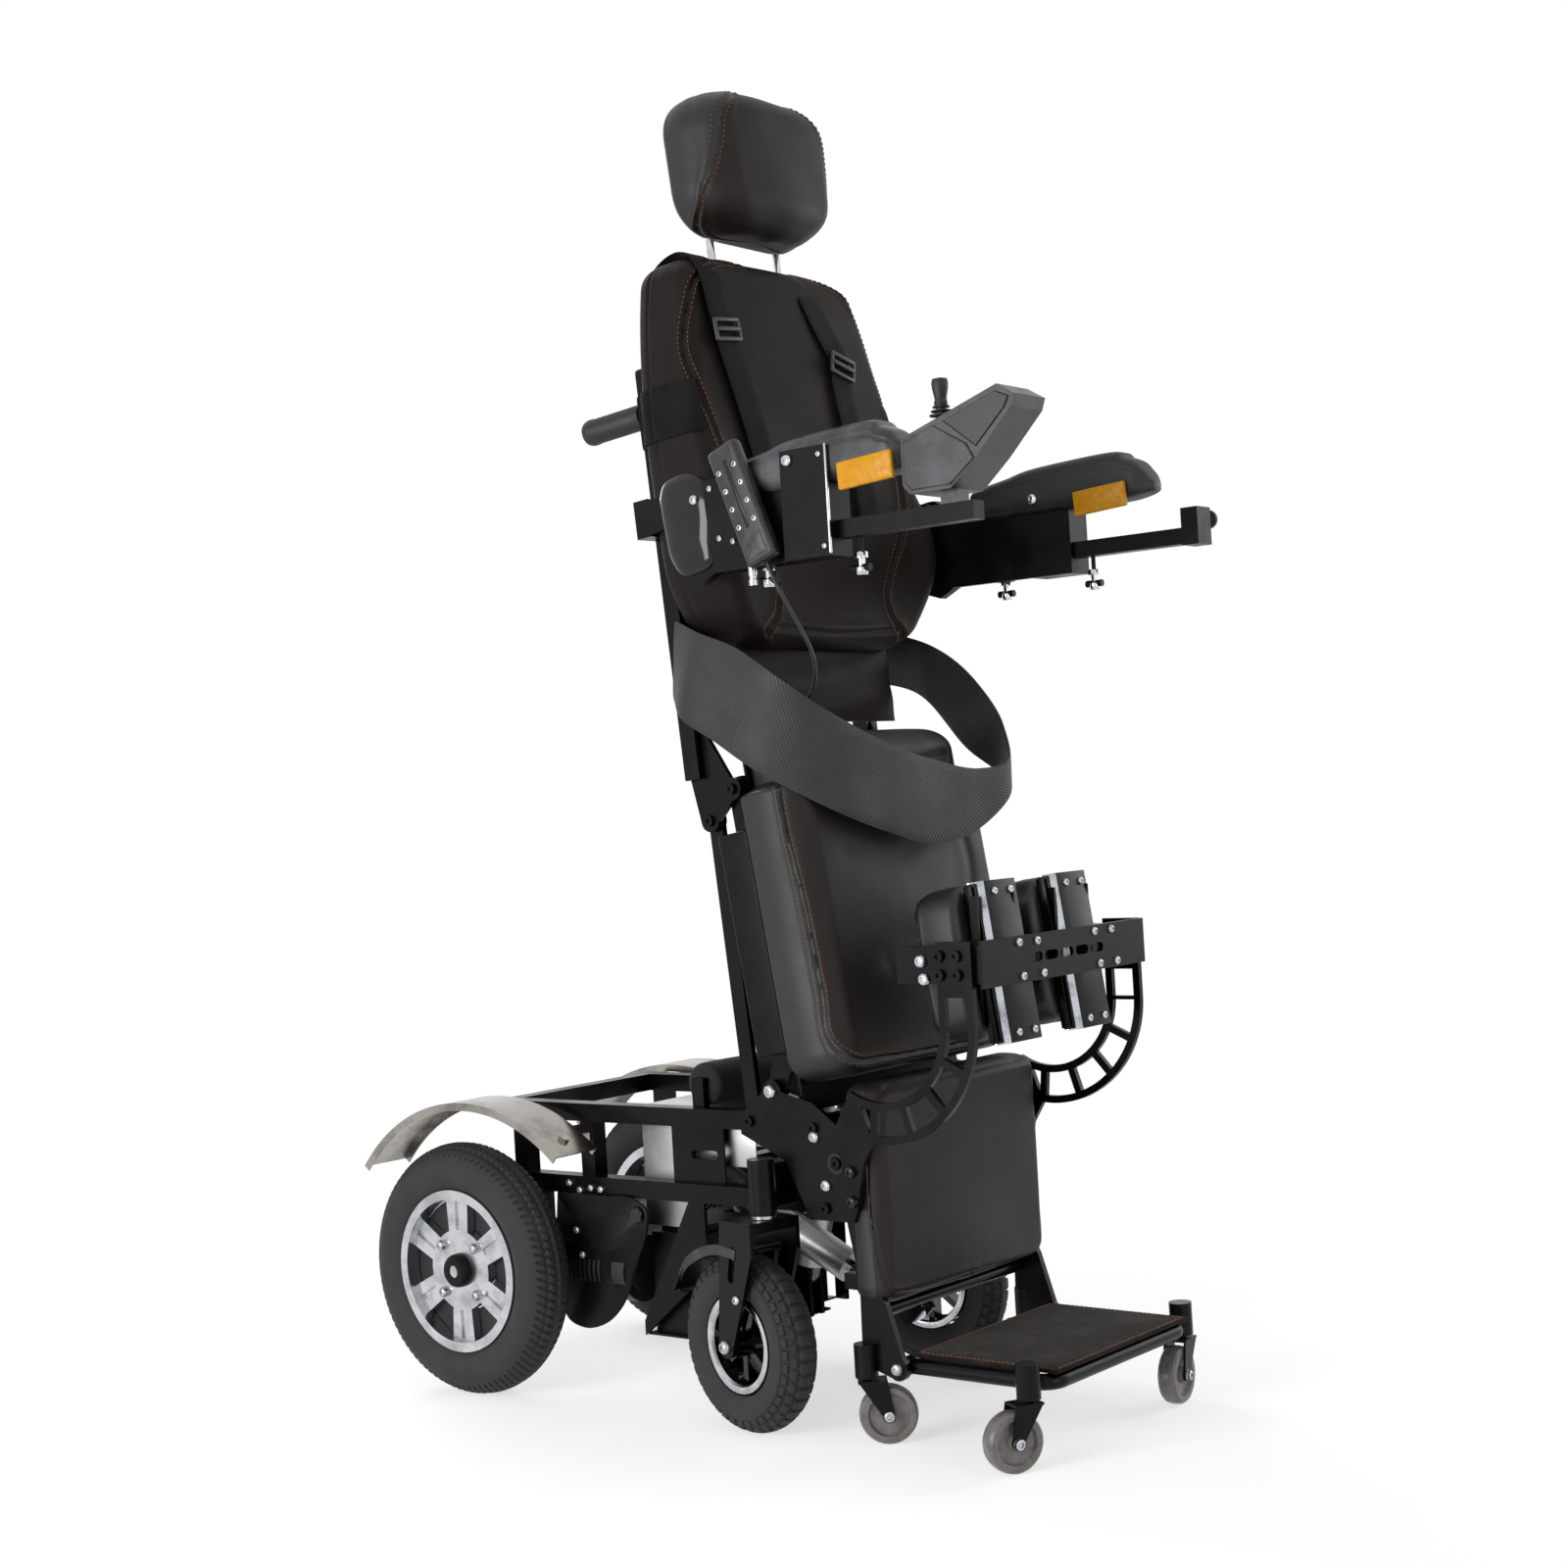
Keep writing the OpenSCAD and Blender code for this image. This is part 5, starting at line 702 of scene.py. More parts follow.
@dataclass
class Cushion:
    """An upholstered pad with a crowned face, rounded edges, side gussets and a flat rear.

    Its half outline runs by share p from the middle of the face (0) over the face (to FRONT), the rounded
    edge (to EDGE), the gusset (to SIDE), the rear edge (to REAR) and the rear (to 1). Both ends are rounded:
    the outline steps in there as a quarter circle does. Seams and creases press grooves into it.

    Attributes:
        datum: the pad's frame.
        start: where it starts along the frame.
        length: its length.
        rear: level of its rear.
        thick: thickness without the crown.
        half: half width by share of length.
        corner: radius of the edges round the face.
        rear_corner: radius of the rear edges.
        end: radius of the rolled ends.
        plan: radius of the corners as seen from the front.
        crown: how far the middle of the face stands out.
        swell: how far the sides of the face stand out, by share of length.
        rake: shift towards the face, by share of length.
        bulge: how far the gussets stand out.
        ripple: height of the soft waves.
        folds: seams and creases.
        gusset: finish beside the face.
        rows: points along it.
        columns: points round each half.
    """

    datum: Datum
    start: float
    length: float
    rear: float
    thick: float
    half: Callable[[Array], Array]
    corner: float = 26.0
    rear_corner: float = 12.0
    end: float = 30.0
    plan: float = 34.0
    crown: float = 10.0
    swell: Callable[[Array], Array] = field(default=lambda f: np.zeros_like(f))
    rake: Callable[[Array], Array] = field(default=lambda f: np.zeros_like(f))
    bulge: float = 3.0
    ripple: float = 0.5
    folds: tuple[Fold, ...] = ()
    gusset: Finish = GUSSET
    rows: int = 150
    columns: int = 110

    def base(self, ps: Array, f: Array) -> Array:
        """Returns points of the plain pad at signed shares ps round it and shares f along it."""
        p, side = np.abs(ps), np.sign(ps)
        gap = np.minimum(f, 1 - f) * self.length
        fall = 1 - np.sqrt(np.clip(1 - (1 - np.minimum(gap / self.end, 1)) ** 2, 0, 1))
        nip = 1 - np.sqrt(np.clip(1 - (1 - np.minimum(gap / self.plan, 1)) ** 2, 0, 1))
        width = self.half(f) - self.plan * nip
        inset = self.end * fall
        deep = self.thick - END_THIN * inset
        r, q = np.minimum(self.corner, deep * CORNER_SHARE), np.minimum(self.rear_corner, deep * REAR_SHARE)
        edge = np.pi / 2 * np.clip((p - FRONT) / (EDGE - FRONT), 0, 1)
        gusset = np.clip((p - EDGE) / (SIDE - EDGE), 0, 1)
        rim = np.pi / 2 * np.clip((p - SIDE) / (REAR - SIDE), 0, 1)
        rear = np.clip((p - REAR) / (1 - REAR), 0, 1)
        x = ((width - r) * np.clip(p / FRONT, 0, 1) + r * np.sin(edge) - q * (1 - np.cos(rim))
             - (width - q) * rear + self.bulge * np.sin(np.pi * gusset) * (1 - fall))
        depth = r * (1 - np.cos(edge)) + (deep - r - q) * gusset + q * np.sin(rim)
        share = np.clip(x / np.maximum(width, 1), 0, 1)
        top = self.crown * (1 - share**2) * (1 - fall) * np.cos(edge)
        wing = self.swell(f) * share**4 * (1 - gusset) * (1 - fall)
        t = self.rear + self.thick - inset - depth + (top + wing) * (p < REAR) + self.rake(f)
        return np.stack(np.broadcast_arrays(side * x, t, self.start + f * self.length), -1)

    def relief(self, ps: Array, f: Array) -> Array:
        """Returns how far the surface stands out: soft waves less the grooves, each with a low lip."""
        x, s = ps * ROUND_MM, f * self.length
        open_face = np.clip((SIDE - np.abs(ps)) / 0.15, 0, 1)
        out = self.ripple * open_face * (np.sin(x / 37 + 1.6 * np.sin(s / 61)) * np.sin(s / 43 + 0.7)
                                         + 0.5 * np.sin(s / 29 + x / 53))
        for fold in self.folds:
            for sign in ((1, -1) if fold.both else (1,)):
                gap, along = self.gap_to(fold, ps * sign, f)
                pucker = 1 + (0.2 * np.sin(along / 5.5) if fold.rows else 0.0)
                out = out - fold.depth * pucker * np.exp(-((gap / fold.width) ** 2))
                out = out + 0.4 * fold.depth * np.exp(-(((gap - 3 * fold.width) / (2 * fold.width)) ** 2))
        return out

    def route_of(self, fold: Fold) -> Array:
        """Returns a fold's route on the flat: millimetres round the pad and along it."""
        return smooth(np.array(fold.route) * [ROUND_MM, self.length], 90)

    def gap_to(self, fold: Fold, ps: Array, f: Array) -> tuple[Array, Array]:
        """Returns each point's distance on the flat to a fold's route, and the place along the route."""
        route = self.route_of(fold)
        a, d = route[:-1], np.diff(route, axis=0)
        flat = np.stack([ps * ROUND_MM, f * self.length], -1).reshape(-1, 1, 2)
        q = np.clip(((flat - a) * d).sum(-1) / (d**2).sum(-1), 0, 1)
        gaps = np.linalg.norm(flat - a - q[..., None] * d, axis=-1)
        near = gaps.argmin(1)
        reach = np.r_[0, np.cumsum(np.linalg.norm(d, axis=1))]
        return gaps.min(1).reshape(ps.shape), reach[near].reshape(ps.shape)

    def local(self, ps: Array, f: Array) -> tuple[Array, Array]:
        """Returns finished points and their outward normals, in the pad's own frame."""
        step_p, step_f = 0.004, 0.002
        lo, hi = np.clip(f - step_f, 0, 1), np.clip(f + step_f, 0, 1)
        round_it = self.base(ps + step_p, f) - self.base(ps - step_p, f)
        along_it = self.base(ps, hi) - self.base(ps, lo)
        normal = unit(np.cross(along_it, round_it))
        return self.base(ps, f) + normal * self.relief(ps, f)[..., None], normal

    def on(self, ps: Array, f: Array, lift: float = 0.0) -> tuple[Array, Array]:
        """Returns finished points raised by lift, and normals, in the object's frame."""
        points, normal = self.local(ps, f)
        raised = points + normal * lift
        return self.datum.place(raised[..., 0], raised[..., 1], raised[..., 2]), normal @ self.datum.axes

    def shares(self) -> Array:
        """Returns the signed shares of the columns, closer together over the edges."""
        share = np.linspace(0, 1, self.columns)
        p = np.interp(share, COLUMN_ENDS, [0, FRONT, EDGE, SIDE, REAR, 1])
        return np.r_[p[1:-1], 0.9999, -p[::-1][1:-1], -0.0001]

    def steps(self) -> Array:
        """Returns the shares of the rows, closer together near the ends."""
        return 0.5 - 0.5 * np.cos(np.pi * np.linspace(0, 1, self.rows))

    def seam_share(self, f: Array) -> Array:
        """Returns how far round the pad its face reaches: to the stitched seam, or else to the edge."""
        seams = [fold for fold in self.folds if fold.rows]
        if not seams:
            return np.full_like(f, EDGE)
        route = np.array(sorted((along, share) for share, along in seams[0].route))
        return np.interp(f, route[:, 0], route[:, 1])

    def skin(self) -> Skin:
        """Returns the whole pad, with more rows near its ends and more columns over its edges."""
        points, _ = self.on(*np.meshgrid(self.shares(), self.steps()))
        return Skin.grid(points)

    def sewn(self, fold: Fold) -> Skin:
        """Lays stitches beside a seam, end to end along each row.

        Args:
            fold: the seam.

        Returns:
            All the stitches.
        """
        route = self.route_of(fold)
        reach = np.r_[0, np.cumsum(np.linalg.norm(np.diff(route, axis=0), axis=1))]
        at = np.arange(PITCH / 2, reach[-1], PITCH)
        mid = np.stack([np.interp(at, reach, route[:, k]) for k in (0, 1)], -1)
        way = unit(np.stack([np.interp(at, reach, g) for g in np.gradient(route, axis=0).T], -1))
        square = np.stack([-way[:, 1], way[:, 0]], -1)
        thread = stitch(STITCH, THREAD_MM)
        made = []
        for offset in fold.rows:
            for sign in ((1, -1) if fold.both else (1,)):
                flat = mid + square * offset
                ahead = flat + way * 1.5
                spot, normal = self.on(sign * flat[:, 0] / ROUND_MM, flat[:, 1] / self.length, STITCH_LIFT)
                next_spot, _ = self.on(sign * ahead[:, 0] / ROUND_MM, ahead[:, 1] / self.length, STITCH_LIFT)
                along = unit(next_spot - spot)
                made.append(thread.stamped(spot, np.stack([along, np.cross(normal, along), normal], 1)))
        return Skin.joined(made)

    def build(self, name: str, finish: Finish, body: str, fill: float, nodes: Sequence[str]) -> None:
        """Makes the pad and its stitching.

        Args:
            name: the pad's name.
            finish: its cover.
            body: the body it moves with.
            fill: how tight it is stuffed; not used.
            nodes: solids that it stands for.
        """
        pad = make(name, self.skin(), finish, body, nodes, sharp=75)
        pad.data.materials.append(self.gusset.material())
        outside = np.zeros(len(pad.data.polygons), np.int32)
        p, f = np.abs(self.shares())[None], self.steps()
        panel = p > self.seam_share((f[1:, None] + f[:-1, None]) / 2)
        outside[:panel.size] = panel.ravel()
        pad.data.polygons.foreach_set("material_index", outside)
        sewn = [self.sewn(fold) for fold in self.folds if fold.rows]
        if sewn:
            make(name + "_stitching", Skin.joined(sewn), THREAD, body, sharp=80)


@dataclass
class Studio:
    """Pale floor, soft lamps and the camera that took the picture.

    Attributes:
        eye: where the camera stands, in millimetres.
        turn: its turn about the upright, in degrees.
        tip: its tilt.
        roll: its roll about the line of sight.
        lens: focal length in millimetres.
        floor_m: half the floor's side.
        floor_glow: share of white that the floor gives under the chair, where it shows shadow.
        shadow_m: radii between which the shadowed floor turns plain white.
        ambient: strength of the light from all round.
        aim_m: height that the lamps look at.
        lamps: name, place, side and watts of each softbox.
    """

    eye: tuple[float, float, float] = (-2549.4, -2069.6, 813.8)
    turn: float = -51.06
    tip: float = -0.46
    roll: float = -3.32
    lens: float = 54.32
    floor_m: float = 12.0
    floor_glow: float = 0.6
    shadow_m: tuple[float, float] = (0.7, 2.2)
    ambient: float = 0.27
    aim_m: float = 0.85
    lamps: tuple[tuple[str, tuple[float, float, float], float, float], ...] = (
        ("key", (-3.7, 0.5, 1.05), 1.9, 80), ("front", (-0.8, -3.8, 1.0), 1.8, 14),
        ("side", (3.0, -1.6, 1.6), 2.0, 24), ("rim", (1.2, 3.2, 2.4), 1.8, 34))

    def build(self) -> None:
        """Sets up view, camera, floor, world and lamps."""
        scene = bpy.context.scene
        scene.view_settings.view_transform = "Standard"
        self.camera(scene)
        self.floor()
        self.world(scene)
        for lamp in self.lamps:
            self.lamp(*lamp)

    def camera(self, scene: bpy.types.Scene) -> None:
        """Adds the camera: turned about the upright, tipped, then rolled."""
        (ca, sa), (cp, sp), (cr, sr) = (cos_sin(v) for v in (self.turn, self.tip, self.roll))
        look = np.array([-sa * cp, ca * cp, -sp])
        level = np.array([ca, sa, 0.0])
        rise = np.cross(level, look)
        right, up = cr * level + sr * rise, cr * rise - sr * level
        camera = bpy.data.objects.new("camera", bpy.data.cameras.new("camera"))
        camera.data.lens = self.lens
        camera.data.clip_end = 50
        camera.matrix_world = matrix_of((right, up, -look, np.array(self.eye) * MM))
        scene.collection.objects.link(camera)
        scene.camera = camera

    def floor(self) -> None:
        """Adds a wide pale floor that looks white to the camera and still takes the shadow."""
        mesh = bpy.data.meshes.new("floor")
        r = self.floor_m
        mesh.from_pydata([(-r, -r, 0), (r, -r, 0), (r, r, 0), (-r, r, 0)], [], [(0, 1, 2, 3)])
        paint = bpy.data.materials.new("floor_paint_matt")
        paint.use_nodes = True
        tree = paint.node_tree
        shader = tree.nodes["Principled BSDF"]
        shader.inputs["Roughness"].default_value = 0.9
        place = add_node(tree, "ShaderNodeTexCoord")
        away = add_node(tree, "ShaderNodeVectorMath", {"operation": "LENGTH"}, {0: place.outputs["Object"]})
        fade = add_node(tree, "ShaderNodeMapRange", {"interpolation_type": "SMOOTHSTEP"},
                        {"Value": away.outputs["Value"], "From Min": self.shadow_m[0],
                         "From Max": self.shadow_m[1]})
        coat = add_node(tree, "ShaderNodeMix", {"data_type": "RGBA"},
                        {0: fade.outputs[0], 6: linear("#e9e9ea"), 7: linear("#000000")})
        tree.links.new(coat.outputs[2], shader.inputs["Base Color"])
        level = add_node(tree, "ShaderNodeMapRange", {},
                         {"Value": fade.outputs[0], "To Min": self.floor_glow, "To Max": 1.0})
        glow = add_node(tree, "ShaderNodeMath", {"operation": "MULTIPLY"},
                        {0: seen_plainly(tree), 1: level.outputs[0]})
        tree.links.new(glow.outputs[0], shader.inputs["Emission Strength"])
        shader.inputs["Emission Color"].default_value = (1, 1, 1, 1)
        shader.inputs["Specular IOR Level"].default_value = 0.0
        mesh.materials.append(paint)
        floor = bpy.data.objects.new("floor", mesh)
        bpy.context.scene.collection.objects.link(floor)

    def world(self, scene: bpy.types.Scene) -> None:
        """Gives soft light from all round, and white where the camera sees past the floor."""
        world = bpy.data.worlds.new("studio")
        world.use_nodes = True
        tree = world.node_tree
        shade = tree.nodes["Background"]
        level = add_node(tree, "ShaderNodeMapRange", {},
                         {"Value": seen_plainly(tree), "To Min": self.ambient, "To Max": 1.0})
        tree.links.new(level.outputs[0], shade.inputs["Strength"])
        shade.inputs["Color"].default_value = (1, 1, 1, 1)
        scene.world = world

    def lamp(self, name: str, place: Sequence[float], size: float, power: float) -> None:
        """Adds a square softbox that looks at the middle of the chair.

        Args:
            name: the lamp's name.
            place: where it stands, in metres.
            size: its side, in metres.
            power: its power in watts.
        """
        light = bpy.data.lights.new(name, "AREA")
        light.size = size
        light.energy = power
        lamp = bpy.data.objects.new(name, light)
        aim = unit(np.array([0.0, 0.0, self.aim_m]) - np.array(place))
        lamp.matrix_world = matrix_of((*axes_of(-aim), place))
        bpy.context.scene.collection.objects.link(lamp)


@dataclass
class DriveWheel:
    """Rear wheel: block-tread tyre on a polished rim, with a black hub cap and lug bolts.

    Attributes:
        side: r or l.
        track: distance of the wheel's middle plane from the chair's.
        axle_y: place of the axle.
        radius: outer radius.
        section: radius of the tyre's round section.
        bead: smallest radius of the tyre.
        blocks: tread blocks round it.
        hub: radius of the hub cap.
        face: distance of the hub's face from the wheel's middle plane.
        sweep: half angle that the section covers.
        crown: half angle that the tread covers.
        groove: depth of the tread.
        lug_circle: radius on which the lug bolts stand.
    """

    side: str
    track: float = 222.0
    axle_y: float = 435.0
    radius: float = 178.0
    section: float = 37.0
    bead: float = 109.0
    blocks: int = 92
    hub: float = 23.5
    face: float = 22.0
    sweep: float = 2.35
    crown: float = 1.02
    groove: float = 3.0
    lug_circle: float = 47.0

    def tyre(self) -> Skin:
        """Returns the tyre: a round section whose crown is cut by slanted and circling grooves."""
        around, across = 552, 60
        t = np.arange(around) * 2 * np.pi / around
        a = np.linspace(-self.sweep, self.sweep, across)
        crown = np.clip((self.crown - np.abs(a)) / 0.1, 0, 1)
        cell = np.mod(t[:, None] * self.blocks / (2 * np.pi) + 0.9 * np.abs(a) * 1.4 + 0.5 * (a > 0), 1.0)
        slot = np.clip((0.16 - np.abs(cell - 0.5)) / 0.07, 0, 1) * (np.abs(a) > 0.16)
        ring = sum(np.exp(-(((np.abs(a) - k) / 0.05) ** 2)) for k in (0.16, 0.55))
        shoulder = np.exp(-(((np.abs(a) - 1.1) / 0.05) ** 2)) * 0.6
        cut = self.groove * np.maximum(slot, ring[None]) * crown + 0.9 * shoulder
        ribs = 0.5 * np.exp(-(((np.abs(a) - 1.75) / 0.04) ** 2))
        size = self.section + 0.4 - cut + ribs
        radius = np.maximum(self.radius - self.section + size * np.cos(a), self.bead)
        middle = np.array([SIDES[self.side] * self.track, self.axle_y, self.radius])
        axle, back = np.array([SIDES[self.side], 0, 0]), np.array([0, 1.0, 0])
        return Skin.grid(wheel_rows(middle, axle, back, t[:, None], radius, size * np.sin(a)), ring=True)

    def build(self) -> None:
        """Makes tyre, hub cap, lug bolts and the dark panels behind the spokes."""
        body = "wheel_" + self.side
        out = SIDES[self.side]
        make("tyre_tread_" + self.side, self.tyre(), RUBBER, body, ["tyre_" + self.side], sharp=30)
        centre = np.array([out * (self.track + self.face), self.axle_y, self.radius])
        shape = np.array([(0.35, 12.5), (0.4, 15.2), (0.8, 14.6), (0.95, 11), (1, 7), (1.02, -1)])
        cap = shape * [self.hub, 1]
        make("hub_cap_" + self.side, turned(cap, centre, (out, 0, 0), 40), ABS, body)
        shield = [(58, -18), (100.5, -18), (100.5, -15), (58, -15)]
        make("wheel_shield_" + self.side, turned(shield, centre, (out, 0, 0), 64, ring=True), CASTING, body)
        angles = (np.arange(4) + 0.5) * np.pi / 2
        spots = centre + self.lug_circle * np.stack([0 * angles, np.sin(angles), np.cos(angles)], -1)
        bolts("lug_bolts_" + self.side, spots, (out, 0, 0), body, radius=7.4, height=9)


@dataclass
class FrontCaster:
    """Front caster: block-tread tyre, bright rim rings, bolts and mudguard, under a swivel stem.

    Attributes:
        side: r or l.
        turn: swivel angle in degrees.
        stem: x and y of the stem.
        trail: distance of the axle behind the stem.
        radius: outer radius.
        section: radius of the tyre's round section.
        bead: smallest radius of the tyre.
        blocks: tread blocks in a row.
        sweep: half angle that the section covers.
        crown: half angle that the tread covers.
        lane: angle from one groove round the tyre to the next.
        groove: depth of the tread.
        cheek: distance of the fork's outer faces from the wheel's middle.
    """

    side: str
    turn: float
    stem: tuple[float, float] = (212.0, -106.0)
    trail: float = 42.0
    radius: float = 117.0
    section: float = 30.0
    bead: float = 62.5
    blocks: int = 40
    sweep: float = 2.3
    crown: float = 1.27
    lane: float = 0.42
    groove: float = 3.4
    cheek: float = 41.0

    def frame(self) -> tuple[Array, Array, Array]:
        """Returns the wheel's middle, the direction of its axle and the direction it trails."""
        c, s = cos_sin(self.turn)
        axle, back = np.array([c, s, 0.0]), np.array([-s, c, 0.0])
        middle = np.array([SIDES[self.side] * self.stem[0], self.stem[1], self.radius]) + self.trail * back
        return middle, axle, back

    def tyre(self) -> Skin:
        """Returns the tyre: two offset rows of square blocks round a round section."""
        around, across = 480, 56
        t = np.arange(around) * 2 * np.pi / around
        a = np.linspace(-self.sweep, self.sweep, across)
        row = np.floor(np.abs(a) / self.lane)
        cell = np.mod(t[:, None] * self.blocks / (2 * np.pi) + 0.5 * row + 0.5 * (a > 0) * (row > 0), 1.0)
        slot = np.clip((0.15 - np.abs(cell - 0.5)) / 0.06, 0, 1)
        off_lane = np.abs(np.mod(np.abs(a) + self.lane / 2, self.lane) - self.lane / 2)
        lane = np.clip((0.1 - off_lane) / 0.05, 0, 1) * (np.abs(a) > 0.2)
        crown = np.clip((self.crown - np.abs(a)) / 0.1, 0, 1)
        size = self.section + 0.3 - self.groove * np.maximum(slot, lane[None]) * crown
        radius = np.maximum(self.radius - self.section + size * np.cos(a), self.bead)
        return Skin.grid(wheel_rows(*self.frame(), t[:, None], radius, size * np.sin(a)), ring=True)

    def build(self) -> None:
        """Makes the tyre, the rim rings, the fork's bolts, the ring under the stem and the mudguard."""
        body, fork = "caster_" + self.side, "fork_" + self.side
        make("caster_tread_" + self.side, self.tyre(), RUBBER, body, ["caster_tyre_" + self.side],
             sharp=30)
        middle, axle, back = self.frame()
        lip = [(53, 20), (55, 23.4), (60, 24.6), (63.5, 23.6), (64.5, 20), (60, 19)]
        rings = [turned(lip, middle, axle * k, 64, ring=True) for k in (-1, 1)]
        make("caster_rim_rings_" + self.side, Skin.joined(rings), ALLOY, body)
        for k in (-1, 1):
            name = "caster_axle_bolt_%s_%s" % (self.side, "in" if k * SIDES[self.side] < 0 else "out")
            bolts(name, [middle + axle * k * self.cheek], axle * k, fork, radius=9, height=8)
        foot = np.array([SIDES[self.side] * self.stem[0], self.stem[1], 0.0])
        out = axle * SIDES[self.side]
        bolts("fork_bolt_" + self.side, [foot + out * self.cheek + back * 13.8 + UP * 181], out, fork, 6, 5)
        collar = [(15.2, 281.6), (16.6, 282), (16.6, 285.8), (15.2, 286.2)]
        make("stem_collar_" + self.side, turned(collar, foot, (0, 0, 1), 40), ZINC, fork)
        make("caster_guard_" + self.side, self.guard(), DUSTY, fork, sharp=35)

    def guard(self) -> Skin:
        """Returns the mudguard: a channel bent round the wheel, narrower and shallower towards its tip."""
        share = np.linspace(0, 1, 40)[:, None]
        angle = np.radians(24 + 80 * share)
        half = 42 * (0.5 + 0.5 * np.sqrt(np.clip(share / 0.4, 0, 1)))
        drop = 11 * np.clip(share / 0.45, 0.1, 1)
        inner, outer = self.radius + 12.4, self.radius + 14.6
        one = np.ones_like(share)
        across = np.concatenate([-half, -half, half, half, half - 2, half - 2, 2 - half, 2 - half], 1)
        lip = inner - drop
        reach = np.concatenate([lip, outer * one, outer * one, lip, lip, inner * one, inner * one, lip], 1)
        return Skin.grid(wheel_rows(*self.frame(), angle, reach, across))


@dataclass
class Seat:
    """Seat cushion with rolled ends and a double-stitched seam, the flap below it and the board's trims."""

    datum: Datum = Datum.leaning(-113.0, 442.0, 9.0)
    half_width: float = 205.0

    def build(self) -> None:
        """Makes the cushion, the front flap and the trims."""
        seam = Fold(((0.0, 0.03), (0.3, 0.035), (0.43, 0.05), (0.475, 0.1), (0.48, 0.25), (0.485, 0.5),
                     (0.5, 0.75), (0.49, 0.95)), 3.0, 2.4, rows=(-6.5, 6.5), both=True)
        folds = (seam,
                 Fold(((0.3, 0.46), (0.32, 0.58), (0.29, 0.7)), 3.2, 7.0),
                 Fold(((-0.36, 0.9), (0.0, 0.88), (0.36, 0.9)), 4.0, 5.0),
                 Fold(((-0.2, 0.3), (-0.05, 0.36), (0.16, 0.33)), 1.8, 14.0),
                 Fold(((-0.3, 0.62), (-0.1, 0.6), (0.1, 0.66)), 1.6, 16.0))
        pad = Cushion(self.datum, start=2, length=450, rear=41.8, thick=100, half=self.half, corner=30,
                      end=34, plan=36, crown=10, folds=folds, rows=190)
        pad.build("seat_cushion_cover", LEATHER, "seat", 0.75, ["seat_cushion"])
        trims = boxes([((x, -8, 45), (x + 13, 43, 338)) for x in (-199, 186)], 4)
        flap = rounded_box((-176, 33, -34), (176, 38, 24), 2)
        for name, skin, finish, slot in (("seat_front_flap", flap, BACK_SKIN, "upholstery"),
                                         ("seat_board_trim", trims, ABS, "case_plastic")):
            make(name, seated(skin, self.datum.origin, self.datum.axes), finish, "seat")

    def half(self, f: Array) -> Array:
        """Returns the half width, drawn in at the rear where the back tubes come down beside it."""
        step = np.clip((f - 0.835) / 0.035, 0, 1)
        return self.half_width - 33 * step**2 * (3 - 2 * step)


